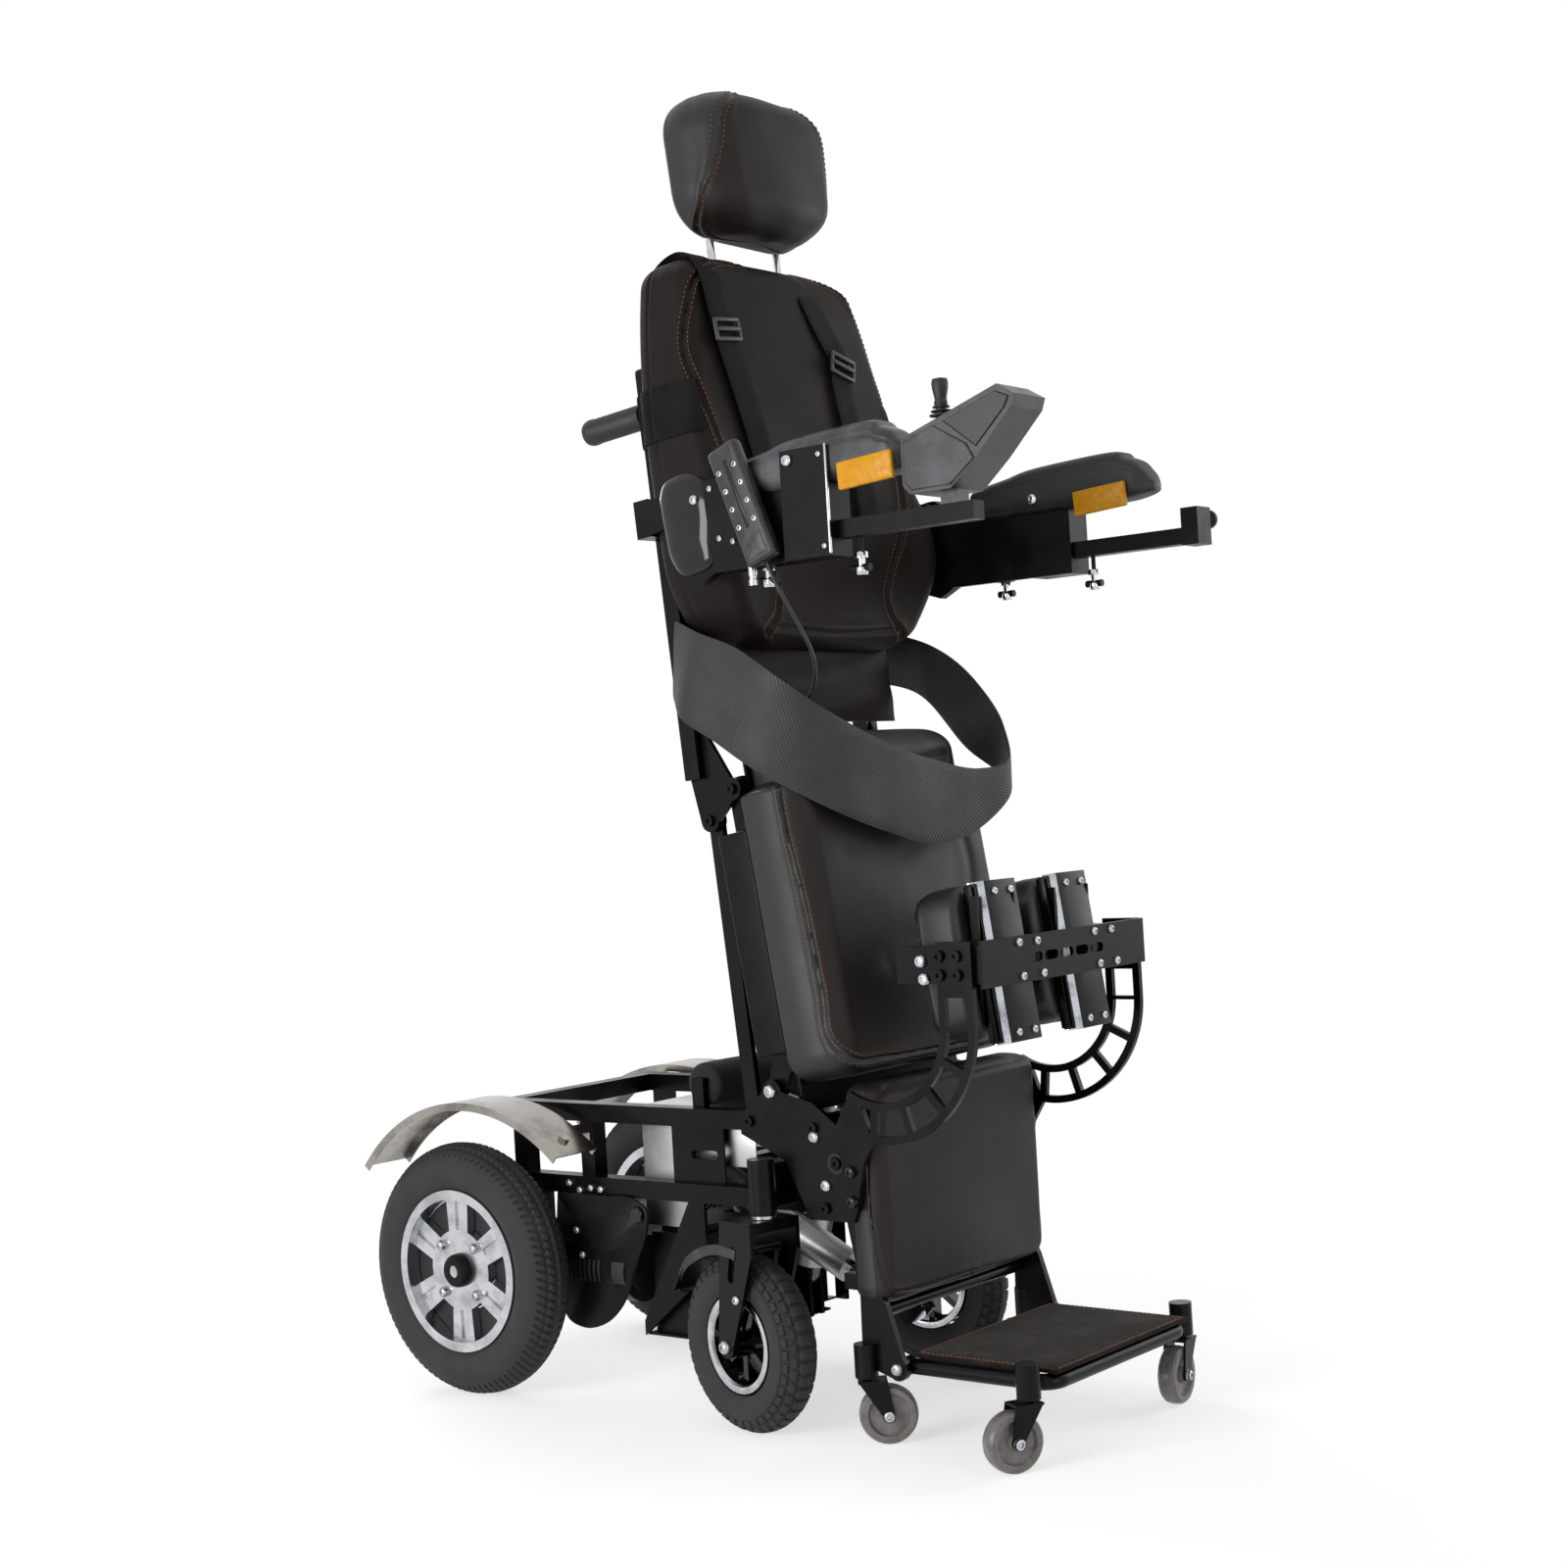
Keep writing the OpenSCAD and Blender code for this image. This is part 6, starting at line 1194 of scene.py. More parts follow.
@dataclass
class Back:
    """Contoured back cushion, hip panel, lap belt and harness on the back frame."""

    datum: Datum = Datum.leaning(-75.407, 835.97, 5.0)
    start: float = 180.0
    length: float = 540.0
    widest: float = 230.0
    top: float = 170.0
    foot: float = 172.0
    lean_back: float = -28.0
    tube_x: float = 190.0
    webbing: float = 2.6
    band_span: tuple[float, float] = (464.0, 536.0)
    hip_half: float = 165.0
    hip_span: tuple[float, float] = (84.0, 189.5)
    hip_rear: float = 16.0

    def half(self, f: Array) -> Array:
        """Returns the half width: it grows as a sine to a quarter of the height, then narrows."""
        low = self.foot + (self.widest - self.foot) * np.sin(np.pi / 2 * np.clip(f / 0.24, 0, 1))
        high = (self.widest - self.top) * np.clip((f - 0.24) / 0.76, 0, 1) ** 2.6
        return low - high

    def swell(self, f: Array) -> Array:
        """Returns how far the bolsters stand out, most at a quarter of the height."""
        return 46 * np.exp(-(((f - 0.27) / 0.2) ** 2))

    def rake(self, f: Array) -> Array:
        """Returns how far the pad leans back of its frame, more towards the top."""
        return self.lean_back * np.clip(f, 0, 1) ** 1.6

    def cushion(self) -> Cushion:
        """Returns the back cushion with its curved seams."""
        seam = Fold(((0.2, 0.985), (0.36, 0.965), (0.42, 0.93), (0.45, 0.85), (0.465, 0.74), (0.43, 0.635),
                     (0.4, 0.55), (0.37, 0.42), (0.335, 0.315), (0.265, 0.19), (0.25, 0.14), (0.28, 0.09),
                     (0.4, 0.03)), 3.2, 2.4, rows=(-6.5, 6.5), both=True)
        folds = (seam,
                 Fold(((-0.34, 0.05), (0.0, 0.035), (0.34, 0.05)), 2.6, 3.0),
                 Fold(((0.66, 0.03), (0.665, 0.3), (0.665, 0.7), (0.66, 0.97)), 2.4, 3.0, both=True),
                 Fold(((-0.25, 0.66), (0.0, 0.7), (0.25, 0.66)), 1.4, 20.0),
                 Fold(((-0.2, 0.3), (0.0, 0.27), (0.2, 0.3)), 1.6, 18.0))
        return Cushion(self.datum, self.start, self.length, rear=-37.6, thick=91.4, half=self.half, corner=26,
                       end=30, plan=38, crown=10, swell=self.swell, rake=self.rake, folds=folds,
                       gusset=BACK_SKIN, rows=190, columns=120)

    def hip_panel(self) -> None:
        """Makes the padded cloth below the cushion: a sheet that swells in the middle, with slack folds."""
        f = np.linspace(0, 1, 60)[:, None]
        a = np.linspace(-1, 1, 90)[None]
        swell = 14 * (0.5 + 0.5 * np.sin(np.pi * f)) * (1 - 0.8 * a**6)
        wave = 1.6 * np.sin(5 * f + 2.2 * a) * np.sin(np.pi * f) + 0.8 * np.sin(14 * f - 3 * a)
        s = self.hip_span[0] + (self.hip_span[1] - self.hip_span[0]) * f
        face = self.datum.place(self.hip_half * a, self.hip_rear + swell + wave, s)
        rear = self.datum.place(self.hip_half * a, self.hip_rear - 0.2 * swell, s)[:, ::-1]
        piece = make("hip_panel_cloth", Skin.grid(np.concatenate([face, rear], 1)), BACK_SKIN, "back",
                     ["hip_panel"], sharp=70)
        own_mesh(piece)

    def lap_belt(self) -> None:
        """Makes the wide belt: a double layer of twill between its two edges, whose seams along both get no
        stitches.
        """
        route = [(-205.4, -8, 1062, 2, 958), (-224, -60, 1040, -25, 932), (-226, -118, 1016, -80, 900),
                 (-217, -190, 966, -152, 852), (-164, -230, 922, -224, 800), (-75, -246, 886, -240, 768),
                 (20, -254, 862, -246, 748), (112, -262, 848, -252, 764), (184, -262, 860, -258, 806),
                 (214, -236, 905, -230, 832), (226, -190, 962, -168, 874), (226, -106, 1026, -86, 960),
                 (205.4, -10, 1060, 0, 985)]
        rows = smooth(route, 150)
        wave = 2.5 * np.sin(np.linspace(0, 9, 150))
        upper = np.stack([rows[:, 0], rows[:, 1] - wave, rows[:, 2] + wave], -1)
        lower = np.stack([rows[:, 0], rows[:, 3] + wave, rows[:, 4]], -1)
        belt = make("lap_belt_cloth", ribbon(upper, lower, 5.0, 17), BELT_CLOTH, "back",
                    ["lap_belt"], sharp=70)
        middle = (upper + lower) / 2
        flat_l = np.linalg.norm(np.diff(middle, axis=0), axis=1).sum() * MM
        flat_w = np.linalg.norm(upper - lower, axis=1).mean() * MM
        log.info("lap belt %.3f by %.3f m", flat_w, flat_l)
        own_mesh(belt)

    def strap(self, path: Sequence, width: float) -> Skin:
        """Lays a harness strap along a middle line.

        Args:
            path: points of the line across, towards the face and along the back.
            width: its width.

        Returns:
            The skin.
        """
        rows = smooth(path, 70)
        line = self.datum.place(rows[:, 0], rows[:, 1] + self.rake((rows[:, 2] - self.start) / self.length),
                                rows[:, 2])
        along = unit(np.gradient(line, axis=0))
        across = unit(np.array([1.0, 0, 0]) - along * along[:, :1])
        return ribbon(line - across * width / 2, line + across * width / 2, self.webbing)

    def band(self, sign: float) -> Skin:
        """Lays the chest band round the side of the cushion and on to the back tube."""
        ps = sign * np.linspace(0.78, 0.435, 40)
        edges = []
        for s in self.band_span:
            hug, _ = self.cushion().on(ps, np.full(40, (s - self.start) / self.length), 2.4)
            tail = self.datum.place(sign * np.array([206.0, 206.5, 208.0]), np.array([-66.0, -54.0, -43.0]),
                                    np.full(3, s))
            edges.append(smooth(np.concatenate([tail, hug]), 60))
        return ribbon(edges[0], edges[1], self.webbing, 15)

    def slider(self, centre: Sequence[float], lean: float) -> Skin:
        """Makes a strap adjuster: a frame of two side bars and three cross bars, thicker in the middle.

        Args:
            centre: place across, towards the face and along the back.
            lean: turn in the back's plane, in degrees.

        Returns:
            The skin.
        """
        bars = [((-25, y - 3.2, 0), (25, y + 3.2, 5 + 2 * (y == 0))) for y in (-13, 0, 13)]
        bars += [((x - 3, -16, 0), (x + 3, 16, 5)) for x in (-24, 24)]
        c, s = cos_sin(lean)
        face = np.array([self.datum.across, self.datum.along, self.datum.face])
        axes = np.array([[c, s, 0], [-s, c, 0], [0, 0, 1.0]]) @ face
        return seated(boxes(bars, 2.2, 4), self.datum.place(*centre), axes)

    def harness(self) -> None:
        """Makes both shoulder straps with their adjusters and both chest bands."""
        right = [(-112, -47, 640), (-113, -47, 690), (-116, -42, 712), (-124, -12, 725), (-132, 24, 724),
                 (-142, 50, 706), (-147, 62, 680), (-147, 66, 640), (-142, 66, 600), (-133, 67, 550),
                 (-118, 70, 462), (-108, 72, 390), (-100, 72, 330)]
        left = [(108, -47, 640), (104, -47, 690), (92, -42, 712), (70, -14, 725), (54, 22, 724),
                (50, 50, 706), (56, 62, 680), (74, 67, 636), (94, 69, 592), (92, 70, 545), (93, 72, 500),
                (96, 74, 440), (98, 73, 350)]
        skins = [self.strap(right, 46), self.strap(left, 44), self.band(-1.0), self.band(1.0)]
        make("harness_webbing", Skin.joined(skins), WEBBING, "back", ["harness"], sharp=70)
        sliders = [self.slider((-143, 68 + self.rake(0.785), 606), 6),
                   self.slider((96, 71 + self.rake(0.736), 580), -14)]
        make("harness_adjusters", Skin.joined(sliders), GREY_ABS, "back")

    def handles(self) -> None:
        """Makes the push grips with round ends and the caps on the back tubes."""
        profile = [(16.5, 0), (17.2, 2), (17.2, 88), (18, 91), (18, 97), (16.5, 102), (12, 104.5), (3, 105)]
        rear = -np.array(self.datum.face)
        for side, sign in SIDES.items():
            foot = self.datum.place(sign * self.tube_x, -70.5, 513.0)
            make("push_grip_rubber_" + side, turned(profile, foot, rear, 36), SOFT_RUBBER, "back")
        cap = rounded_box((-14, -14, -6), (14, 14, 9), 5)
        spots = self.datum.place(np.array([-self.tube_x, self.tube_x]), -55.0, 565.0)
        axes = np.array([self.datum.across, rear, self.datum.along])
        caps = cap.stamped(spots, np.broadcast_to(axes, (2, 3, 3)))
        make("back_tube_caps", caps, ABS, "back")

    def build(self) -> None:
        """Makes everything that hangs on the back frame."""
        self.cushion().build("back_cushion_cover", BACK_SKIN, "back", 0.75, ["back_cushion"])
        self.hip_panel()
        self.lap_belt()
        self.harness()
        self.handles()


@dataclass
class Headrest:
    """Headrest with large round corners and a slanting double seam."""

    datum: Datum = Datum.leaning(-75.407, 835.97, 5.0)

    def build(self) -> None:
        """Makes the pad."""
        seam = Fold(((0.37, 0.985), (0.4, 0.93), (0.43, 0.8), (0.45, 0.55), (0.48, 0.33), (0.54, 0.17),
                     (0.62, 0.09), (0.7, 0.05)), 3.0, 2.6, rows=(-6.0, 6.0), both=True)
        pad = Cushion(self.datum, start=757, length=197, rear=-36, thick=97, half=lambda f: 131 - 7 * (1 - f),
                      corner=38, end=44, plan=64, crown=14, folds=(seam,), rows=130)
        pad.build("headrest_cover", LEATHER, "head", 0.85, ["headrest_pad"])


@dataclass
class LegRest:
    """Calf pad, carpeted mat of the footplate and axle bolts of the four small casters."""

    calf_datum: Datum = Datum((0.0, -222.0, 176.0))
    calf_half: float = 184.0
    stems: tuple[tuple[float, float, float], ...] = ((-184, -237, -141), (184, -237, -20), (-184, -480, 62),
                                                     (184, -480, 97))
    trail: float = 25.0
    cheek: float = 15.6
    axle_z: float = 37.5
    mat_inset: float = 5.0
    mat_stitch: tuple[float, float] = (4.8, 0.9)

    def build(self) -> None:
        """Makes calf pad, mat and bolts."""
        piping = Fold(((0.0, 0.03), (0.36, 0.035), (0.43, 0.06), (0.45, 0.12), (0.45, 0.9), (0.42, 0.96),
                       (0.3, 0.975), (0.0, 0.975)), 2.0, 2.4, both=True)
        pad = Cushion(self.calf_datum, start=0.4, length=277, rear=0.6, thick=54,
                      half=lambda f: np.full_like(f, self.calf_half), corner=18, end=20, plan=22, crown=8,
                      bulge=1.5, folds=(piping,), rows=120)
        pad.build("calf_pad_cover", LEATHER, "leg", 0.7, ["calf_pad"])
        self.mat()
        self.casters()

    def casters(self) -> None:
        """Makes the axle bolts on both cheeks of the four small forks, each turned on its stem."""
        for key, (x, y, turn) in zip(CORNERS, self.stems):
            c, s = cos_sin(turn)
            axle, back = np.array([c, s, 0.0]), np.array([-s, c, 0.0])
            middle = np.array([x, y, self.axle_z]) + self.trail * back
            for name, way in (("a", 1.0), ("b", -1.0)):
                bolts("small_axle_bolt_%s_%s" % (key, name), [middle + axle * way * self.cheek], axle * way,
                      "small_fork_" + key, 7.9, 6)

    def mat(self) -> None:
        """Makes the mat, a flat carpet with soft edges, and the stitches along its four sides."""
        low, high = (np.array(corner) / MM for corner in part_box("foot_mat"))
        make("foot_mat_carpet", rounded_box(low, high, 2.4), CARPET, "foot", ["foot_mat"])
        thread = stitch(*self.mat_stitch)
        near, far = low + self.mat_inset, high - self.mat_inset
        made = []
        for axis in (0, 1):
            at = np.arange(near[axis] + PITCH, far[axis] - PITCH / 2, PITCH)
            for level in (near[1 - axis], far[1 - axis]):
                spots = np.stack([at, at, np.full_like(at, high[2] + 0.3)], -1)
                spots[:, 1 - axis] = level
                axes = np.eye(3)[[axis, 1 - axis, 2]]
                made.append(thread.stamped(spots, np.broadcast_to(axes, (len(at), 3, 3))))
        make("foot_mat_stitching", Skin.joined(made), THREAD, "foot", sharp=80)


@dataclass
class KneeSupport:
    """Two knee pads that lean with the seat, behind folded plates on the slotted bar."""

    pad_x: float = 88.0
    pad_length: float = 190.0
    pad_half: float = 66.0
    middle: tuple[float, float, float] = (0.0, -398.0, 605.0)
    lean: float = 8.0
    plate_middles: tuple[float, float] = (-72.0, 95.0)
    plate_half: float = 35.0
    plate_span: tuple[float, float] = (-108.0, 96.0)
    bar_y: float = -454.0

    @property
    def axes(self) -> Array:
        """Returns across, towards the rider and along the pads, as rows."""
        c, s = cos_sin(self.lean)
        return np.array([[1.0, 0, 0], [0, c, -s], [0, s, c]])

    def half(self, f: Array) -> Array:
        """Returns the pads' half width, less towards both ends."""
        return self.pad_half * (1 - 0.16 * np.abs(2 * f - 1) ** 3)

    def plates(self) -> None:
        """Makes the plates before the pads: flat front, slanted fold in bright metal as painted highlight,
        and two dark leaves beside it.
        """
        low, high = self.plate_span
        rise = np.linspace(low, high, 12)
        edge = np.stack([0 * rise, 0 * rise, rise], -1)
        fronts, folds, spots = [], [], []
        for middle in self.plate_middles:
            left, right = middle - self.plate_half, middle + self.plate_half
            fronts += [rounded_box((left, -21, low), (right, -17.5, high), 1.2, 4),
                       rounded_box((right - 3, -19, low), (right, -3, high), 1.2, 4),
                       rounded_box((left - 18, -13, low + 4), (left - 16, 0, high - 4), 0.8, 3),
                       rounded_box((left - 13, -16, low + 2), (left - 11, 0, high - 2), 0.8, 3)]
            folds.append(ribbon(edge + [left - 9, -2, 0], edge + [left + 0.4, -20.7, 0], 2.4, 9))
            spots += [(middle + k, -21, z) for k in (-16, 20) for z in (-96.0, 82.0)]
        # The fold's bright metal, labelled alloy here, is painted highlight: the lamp's reflection on a
        # glossy fold.
        for name, skins, finish, slot in (("knee_plate_fronts", fronts, ENAMEL, "frame_paint"),
                                          ("knee_plate_folds_painted_highlight", folds, KNEE_FOLD_HIGHLIGHT, "alloy")):
            make(name, seated(Skin.joined(skins), self.middle, self.axes), finish, "base")
        bolts("knee_plate_bolts", np.array(spots) @ self.axes + self.middle, -self.axes[1], "base", 5.2, 3.6)
        bar = [(-110, 626), (-69, 625), (-104, 584), (-58, 584), (66, 626), (107, 626), (76, 584), (118, 584)]
        bolts("knee_bar_bolts", [(x, self.bar_y, z) for x, z in bar], (0, -1, 0), "base", 5.4, 4.2)

    def build(self) -> None:
        """Makes both pads and their plates."""
        seam = Fold(((0.0, 0.04), (0.38, 0.05), (0.46, 0.12), (0.47, 0.5), (0.46, 0.88), (0.38, 0.95),
                     (0.0, 0.96)), 1.6, 2.0, both=True)
        for side, sign in SIDES.items():
            foot = np.array([sign * self.pad_x, 0, -self.pad_length / 2]) @ self.axes + self.middle
            datum = Datum(tuple(foot), *map(tuple, self.axes))
            pad = Cushion(datum, start=0, length=self.pad_length, rear=0.6, thick=70, half=self.half,
                          corner=18, end=20, plan=30, crown=-8, bulge=1.5, folds=(seam,), rows=90, columns=80)
            pad.build("knee_pad_cover_" + side, LEATHER, "base", 0.7, ["knee_pad_" + side])
        self.plates()


@dataclass(frozen=True)
class Heads:
    """Bolt heads that look out sideways.

    Attributes:
        name: the piece's name, without its side.
        body: the body they move with.
        x: distance of their face from the middle plane, to the side they look.
        spots: pairs of y and z.
        radius: head radius.
        height: head height.
        finish: plating.
    """

    name: str
    body: str
    x: float
    spots: tuple[tuple[float, float], ...]
    radius: float
    height: float
    finish: Finish = ZINC

    def build(self, sign: float, ending: str = "") -> None:
        """Makes the heads.

        Args:
            sign: the side they look, -1 or 1 along x.
            ending: what the piece's name ends with.
        """
        places = [(sign * self.x, y, z) for y, z in self.spots]
        bolts(self.name + ending, places, (sign, 0, 0), self.body, self.radius, self.height, self.finish)


@dataclass
class BaseFittings:
    """Seat roller, motor shields, battery cover, washers and bolt heads of the base and the legs."""

    shield_x: float = 169.0
    plate_x: float = 191.0
    heads: tuple[Heads, ...] = (
        Heads("knee_block_bolts_", "base", 191, ((-364, 610), (-368, 588)), 8.4, 7),
        Heads("shield_bolts_", "base", 169, ((273, 233), (264, 199)), 5.2, 4),
        Heads("rail_nuts_", "base", 162, ((288, 297), (268, 288), (247, 292), (228, 291)), 5.6, 5),
        Heads("knee_pivot_bolt_", "base", 191, ((-113, 442),), 9.2, 8),
        Heads("pivot_bolts_", "base", 191, ((-181, 386), (-196, 325)), 8, 7),
        Heads("leg_bolts_", "leg", 180, ((-283, 98),), 8.2, 7),
        Heads("arch_bolts_", "base", 199, ((-242.25, 308), (-242.25, 345.7)), 7.9, 6.5, GLOSS_BLACK))

    def roller(self) -> None:
        """Makes the foam sleeve of the seat rest: a cylinder with round ends and a slightly uneven skin."""
        h = np.linspace(-131, 131, 60)
        shell = np.stack([29.3 + 0.25 * np.sin(h / 21), h], -1)
        end = np.array([(20, 137.8), (25.5, 136.5), (28.4, 134)])
        profile = np.concatenate([end * [1, -1], shell, end[::-1]])
        make("seat_roller_foam", turned(profile, (0, 50, 439.4), (1, 0, 0), 48), FOAM, "base",
             ["seat_roller"], sharp=60)

    def shield(self, side: str, sign: float) -> None:
        """Makes the dark side plate below a rail, with one large screw cap.

        Args:
            side: r or l.
            sign: its side along x.
        """
        outline = [(308, 284), (316, 203), (313, 140), (300, 106), (270, 96), (225, 107), (194, 133),
                   (166, 188), (141, 240), (139, 268), (160, 282), (220, 284)]
        low, high = sorted((sign * (self.shield_x - 4), sign * (self.shield_x + 0.5)))
        skin = plate(smooth([*outline, outline[0]], 90)[:-1], 0, low, high, 1.2)
        make("motor_shield_" + side, skin, ABS, "base", sharp=50)
        profile = [(3, 6.5), (6, 7.5), (9.5, 7), (11.5, 4.5), (12, 0)]
        cap = turned(profile, (sign * self.shield_x, 154, 262), (sign, 0, 0), 32)
        make("shield_cap_" + side, cap, GLOSS_BLACK, "base")

    def battery_cover(self) -> None:
        """Makes the folded sheet cover on the battery: two walls, a top, a rear and a side wing."""
        sheets = (((-137, 68, 242), (-135, 168, 408)), ((135, 68, 242), (137, 168, 408)),
                  ((-137, 68, 406), (137, 168, 408)), ((-137, 166, 318), (137, 168, 408)),
                  ((-137, -36, 330), (-135, 68.5, 392)))
        make("battery_cover_sheet", boxes(sheets, 0.9, 3), ANODISED, "base")

    def build(self) -> None:
        """Makes roller, battery cover, and on each side shield, washer and bolt heads."""
        self.roller()
        self.battery_cover()
        washer = [(9, 0), (13.5, 0), (13.5, 2.4), (9, 2.4)]
        for side, sign in SIDES.items():
            self.shield(side, sign)
            ring = turned(washer, (sign * self.plate_x, -214, 354), (sign, 0, 0), 32, ring=True)
            make("leg_pivot_washer_" + side, ring, GLOSS_BLACK, "base")
            for heads in self.heads:
                heads.build(sign, side)


def dome(outline: Sequence, base: float, height: float) -> Skin:
    """Raises an outline in the y, z plane into a shell: its rings shrink to the middle and climb along x.

    Args:
        outline: pairs of y and z, in order.
        base: x of the rim.
        height: signed rise in the middle.

    Returns:
        The skin.
    """
    rings = 14
    rim = smooth([*outline, outline[0]], 73)[:-1]
    middle = rim.mean(0)
    share = np.r_[1.0, np.linspace(1, 0.04, rings)][:, None, None]
    flat = middle + (rim - middle) * share
    rise = base + height * (0.25 * (np.arange(rings + 1) > 0) + 0.75 * np.sqrt(1 - share[:, 0, 0] ** 3))
    rows = np.concatenate([np.broadcast_to(rise[:, None, None], (*flat.shape[:2], 1)), flat], -1)
    return Skin.grid(rows)


@dataclass
class Arms:
    """Arm pads with reflectors, hinge covers, side panels and screws, and the handset with its cable."""

    pad_x: float = 260.0
    pad_y: float = -186.0
    half: float = 32.0
    low: float = 1196.4
    reflector_lean: float = 4.0
    handset: tuple[float, float, float] = (-312.0, -217.0, 1185.0)
    handset_lean: float = 21.0
    heads: tuple[Heads, ...] = (
        Heads("side_panel_screws", "right_arm", 280.5, ((-144, 1214), (-156, 1150), (-178, 1144)), 4.2, 3.2),
        Heads("box_bolts", "right_arm", 295.4, ((-283, 1229),), 7.5, 7, CHROME),
        Heads("box_screws", "right_arm", 295.4, ((-331, 1231), (-333, 1120)), 3.6, 3, CHROME),
        Heads("pad_bolt_l", "left_arm", -228.6, ((-297, 1214),), 7.5, 7, CHROME))

    def pad(self, side: str, length: float) -> None:
        """Makes one arm pad: boxy round sections whose top climbs to the middle and rolls down in front.

        Args:
            side: r or l.
            length: length of the pad.
        """
        f = (0.5 - 0.5 * np.cos(np.pi * np.linspace(0.004, 0.996, 100)))
        crest = smooth([(0, 1232), (0.03, 1240), (0.2, 1250), (0.5, 1262), (0.72, 1265), (0.86, 1256),
                        (0.95, 1238), (1, 1218)], 80)
        top = np.interp(f, crest[:, 0], crest[:, 1])
        low = self.low + 9 * np.clip((f - 0.8) / 0.2, 0, 1) ** 2
        tuck = np.sqrt(1 - np.clip((f * length - length + 30) / 30, 0, 1) ** 2 * 0.9)
        tuck *= np.sqrt(1 - np.clip(1 - f * length / 8, 0, 1) ** 2 * 0.6)
        width = self.half * (1 - 0.12 * np.clip((f - 0.6) / 0.4, 0, 1) ** 2) * tuck
        t = np.arange(72) * 2 * np.pi / 72
        bow = np.sign(np.cos(t)) * np.abs(np.cos(t)) ** 0.55, np.sign(np.sin(t)) * np.abs(np.sin(t)) ** 0.6
        x = SIDES[side] * self.pad_x + width[:, None] * bow[0]
        z = ((top + low) / 2)[:, None] + ((top - low) / 2)[:, None] * bow[1]
        crease = 0.9 * np.exp(-(((z - low[:, None]) / (top - low)[:, None] - 0.72) / 0.02) ** 2)
        x = x - np.sign(np.cos(t)) * crease * (np.abs(np.cos(t)) > 0.3)
        y = np.broadcast_to((self.pad_y - length * f)[:, None], x.shape)
        # Both arm pads are one skin: the right pad gets a lighter copy as painted light, the left pad the
        # darker rubber as painted shade.
        cover = {"r": LIT_ARM_SKIN, "l": SOFT_RUBBER}[side]
        piece = make("arm_pad_cover_" + side, Skin.grid(np.stack([x, y, z], -1)), cover, side_body(side),
                     ["arm_pad_" + side], sharp=70)

    def reflectors(self) -> None:
        """Makes the amber reflector on the right face of each arm pad."""
        c, s = cos_sin(self.reflector_lean)
        axes = np.array([[0, -c, s], [0, s, c], [-1.0, 0, 0]])
        amber = rounded_box((-41, -17, -2), (41, 17, 5.5), 3, 5)
        for side, spot in (("r", (-291.5, -398.0, 1203.0)), ("l", (228.0, -405.0, 1201.0))):
            make("reflector_" + side, seated(amber, spot, axes), AMBER, side_body(side))

    def fittings(self) -> None:
        """Makes hinge covers, thumb screws and bolt heads, and the right arm's box edge and handset clip."""
        cover = [(-54, 1212), (-60, 1228), (-84, 1238), (-112, 1236), (-132, 1222), (-140, 1190),
                 (-138, 1150), (-136, 1122), (-110, 1112), (-84, 1112), (-72, 1126), (-60, 1170)]
        screw = [(6.2, 0), (7.2, 1.2), (7.2, 9), (6.2, 10), (4.4, 10.5), (4.4, 20), (8.2, 20.5), (8.2, 27),
                 (7.4, 28)]
        for side, sign in SIDES.items():
            body = side_body(side)
            shell = dome(cover, sign * 272.2, sign * 10)
            make("hinge_cover_" + side, shell, GLOSS_BLACK, body)
            bolts("hinge_bolt_" + side, [(sign * 281, -118, 1203)], (sign, 0, 0), body, 6.5, 5.5, CHROME)
            screws = [turned(screw, (sign * 266.3, y, 1082.5), UP, 20) for y in (-365, -220)]
            make("thumb_screws_" + side, Skin.joined(screws), CHROME, body)
        for heads in self.heads:
            heads.build(-1.0)
        edge = rounded_box((-298, -343.2, 1110), (-294, -340.2, 1243), 1.2, 4)
        make("box_edge_strip", edge, ALLOY, "right_arm")
        clip = [(3.5, 0), (5.5, 0.6), (5.5, 8), (4.6, 9), (4.6, 12), (5.5, 13), (5.5, 24), (4, 25)]
        make("handset_clip", turned(clip, (-289, -213, 1084), UP, 24), CHROME, "right_arm")

    def panels(self) -> None:
        """Makes the flat panels on the right arm's side and on the joystick module."""
        side = [(-130, 1226), (-142, 1108), (-258, 1108), (-268, 1160), (-262, 1196), (-180, 1196),
                (-166, 1226)]
        rear = [(-456, 1180), (-456, 1227), (-500, 1241), (-545, 1214), (-555, 1196), (-520, 1170),
                (-465, 1170)]
        arm = [(-514, 1244), (-588, 1268), (-606, 1260), (-600, 1248), (-558, 1209)]
        for name, outline, low, high, edge, finish in (
                ("side_panel_r", side, -280.5, -276.5, 0.8, ABS),
                ("module_side_panel", rear, -296.4, -293.6, 1.6, WORN_ABS),
                ("module_arm_panel", arm, -296, -293.6, 1.6, GREY_ABS)):
            make(name, plate(outline, 0, low, high, edge), finish, "right_arm")

    def remote(self) -> None:
        """Makes the handset: a rounded case, a dark groove, two columns of bright keys and a pale tip."""
        c, s = cos_sin(self.handset_lean)
        axes = np.array([[0, c, -s], [0, s, c], [-1.0, 0, 0]])
        for name, skin, finish, nodes in (
                ("case", rounded_box((-24, -80, -18), (24, 80, 0.6), 7), GREY_ABS, ["handset"]),
                ("groove", rounded_box((-3.5, -34, -1), (3.5, 60, 1.2), 1, 4), GLOSS_BLACK, ()),
                ("tip", rounded_box((-15, -72, -1.5), (15, -44, 1.4), 1.4, 4), WORN_ABS, ())):
            make("handset_" + name, seated(skin, self.handset, axes), finish, "right_arm",
                 nodes)
        keys = [(13 * column, 25 * row + 10, 0) for column in (-1, 1) for row in (-1.5, -0.5, 0.5, 1.5)]
        bolts("handset_keys", np.array(keys) @ axes + self.handset, (-1, 0, 0), "right_arm", 4.0, 2.2, ALLOY)

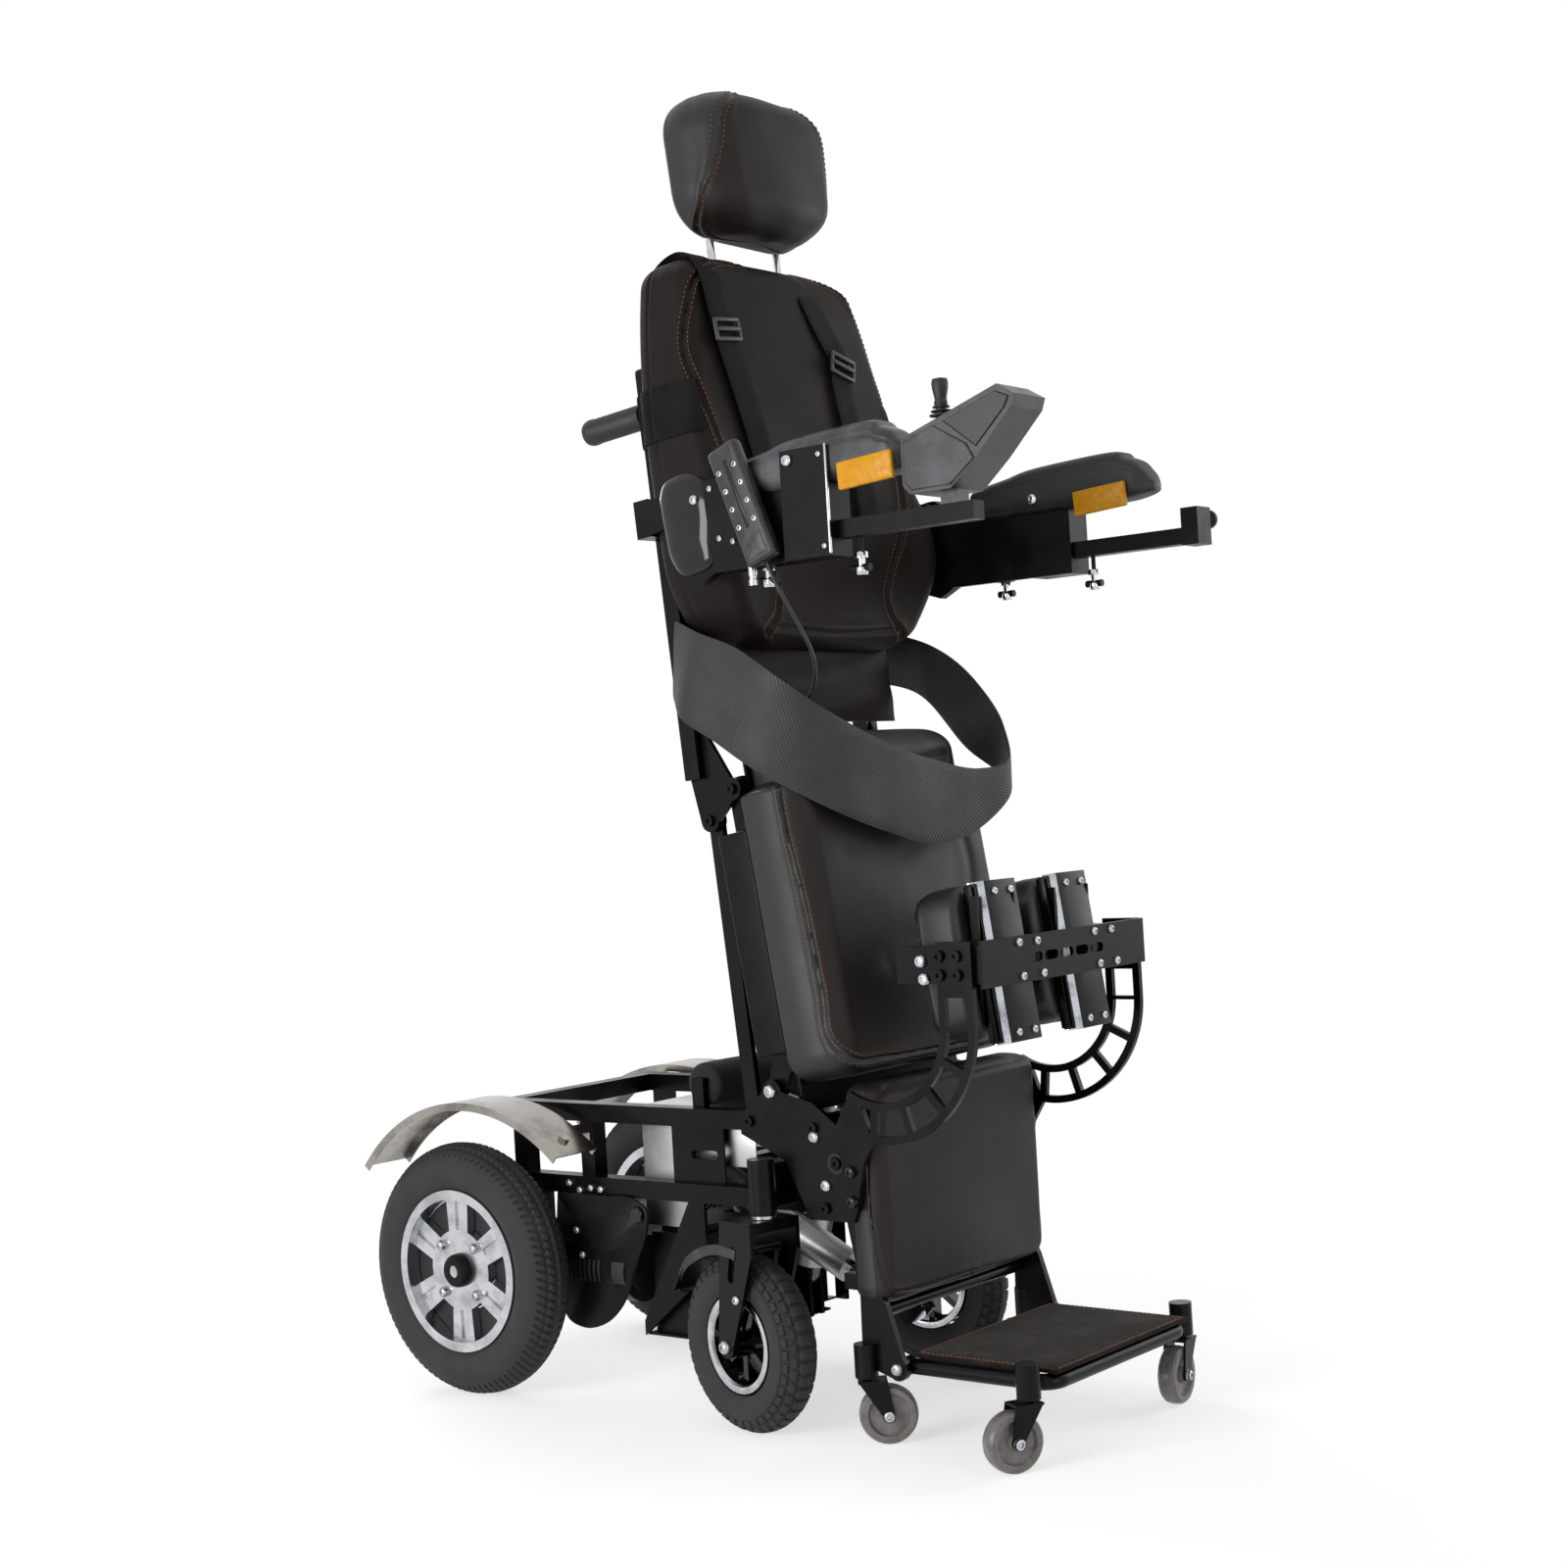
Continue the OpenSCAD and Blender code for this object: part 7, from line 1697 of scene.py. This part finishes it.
    def cable(self) -> None:
        """Makes the handset's cable, which hangs from the handset and goes in behind the belt."""
        route = [(-300, -246, 1108), (-298, -255, 1084), (-288, -264, 1056), (-270, -268, 1027),
                 (-246, -264, 1000), (-221, -249, 975), (-194, -220, 954), (-178, -190, 938),
                 (-178, -160, 930), (-186, -120, 932), (-190, -80, 935), (-190, -50, 933), (-190, -27, 930)]
        path = smooth(route, 37)
        piece = make("handset_cable_sheath", tube(path, 2.5, 12, (0, 1, 0)), SHEATH, None,
                     ["handset_cable"], sharp=80)
        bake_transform(piece)

    def build(self) -> None:
        """Makes cable, pads, reflectors, fittings, panels and handset."""
        self.cable()
        self.pad("r", 263)
        self.pad("l", 290)
        self.reflectors()
        self.fittings()
        self.panels()
        self.remote()


def side_body(side: str) -> str:
    """Returns the body of an arm."""
    return {"r": "right_arm", "l": "left_arm"}[side]


def names(ends: Sequence[str], *stems: str) -> tuple[str, ...]:
    """Returns each stem's name with each of the ends."""
    return tuple(stem + "_" + end for stem in stems for end in ends)


def dress() -> None:
    """Gives every solid that stays in view its finish."""
    wear = {
        ENAMEL: (*names(SIDES, "side_frame", "pivot_plate", "knee_arch", "caster_fork"), "cross_members",
                 "knee_bar", "leg_frame", "footplate", "seat_frame", "back_link", "back_frame",
                 *names(CORNERS, "foot_fork")),
        CASTING: names(SIDES, "motor"), ABS: ("battery_box", *names(SIDES, "arm")),
        BRUSHED: names(SIDES, "fender"), ALLOY: names(SIDES, "rim"), GLOSS_BLACK: names(SIDES, "caster_rim"),
        WORN_ABS: ("joystick_module",), SOFT_RUBBER: ("joystick",), URETHANE: names(CORNERS, "foot_wheel"),
        CHROME: ("headrest_posts", "lift_rod", "leg_rod"), ANODISED: ("lift_tube", "leg_tube"),
    }
    for finish, nodes in wear.items():
        for node in nodes:
            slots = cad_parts[node].data.materials
            slots.clear()
            slots.append(finish.material())


def main() -> None:
    """Builds the chair's looks in order."""
    logging.basicConfig(level=logging.INFO, format="%(message)s")
    Studio().build()
    Arms().build()
    for side in SIDES:
        DriveWheel(side).build()
    FrontCaster("r", -12.0).build()
    FrontCaster("l", 6.0).build()
    Seat().build()
    Back().build()
    Headrest().build()
    LegRest().build()
    KneeSupport().build()
    BaseFittings().build()
    dress()


if __name__ == "__main__":
    main()
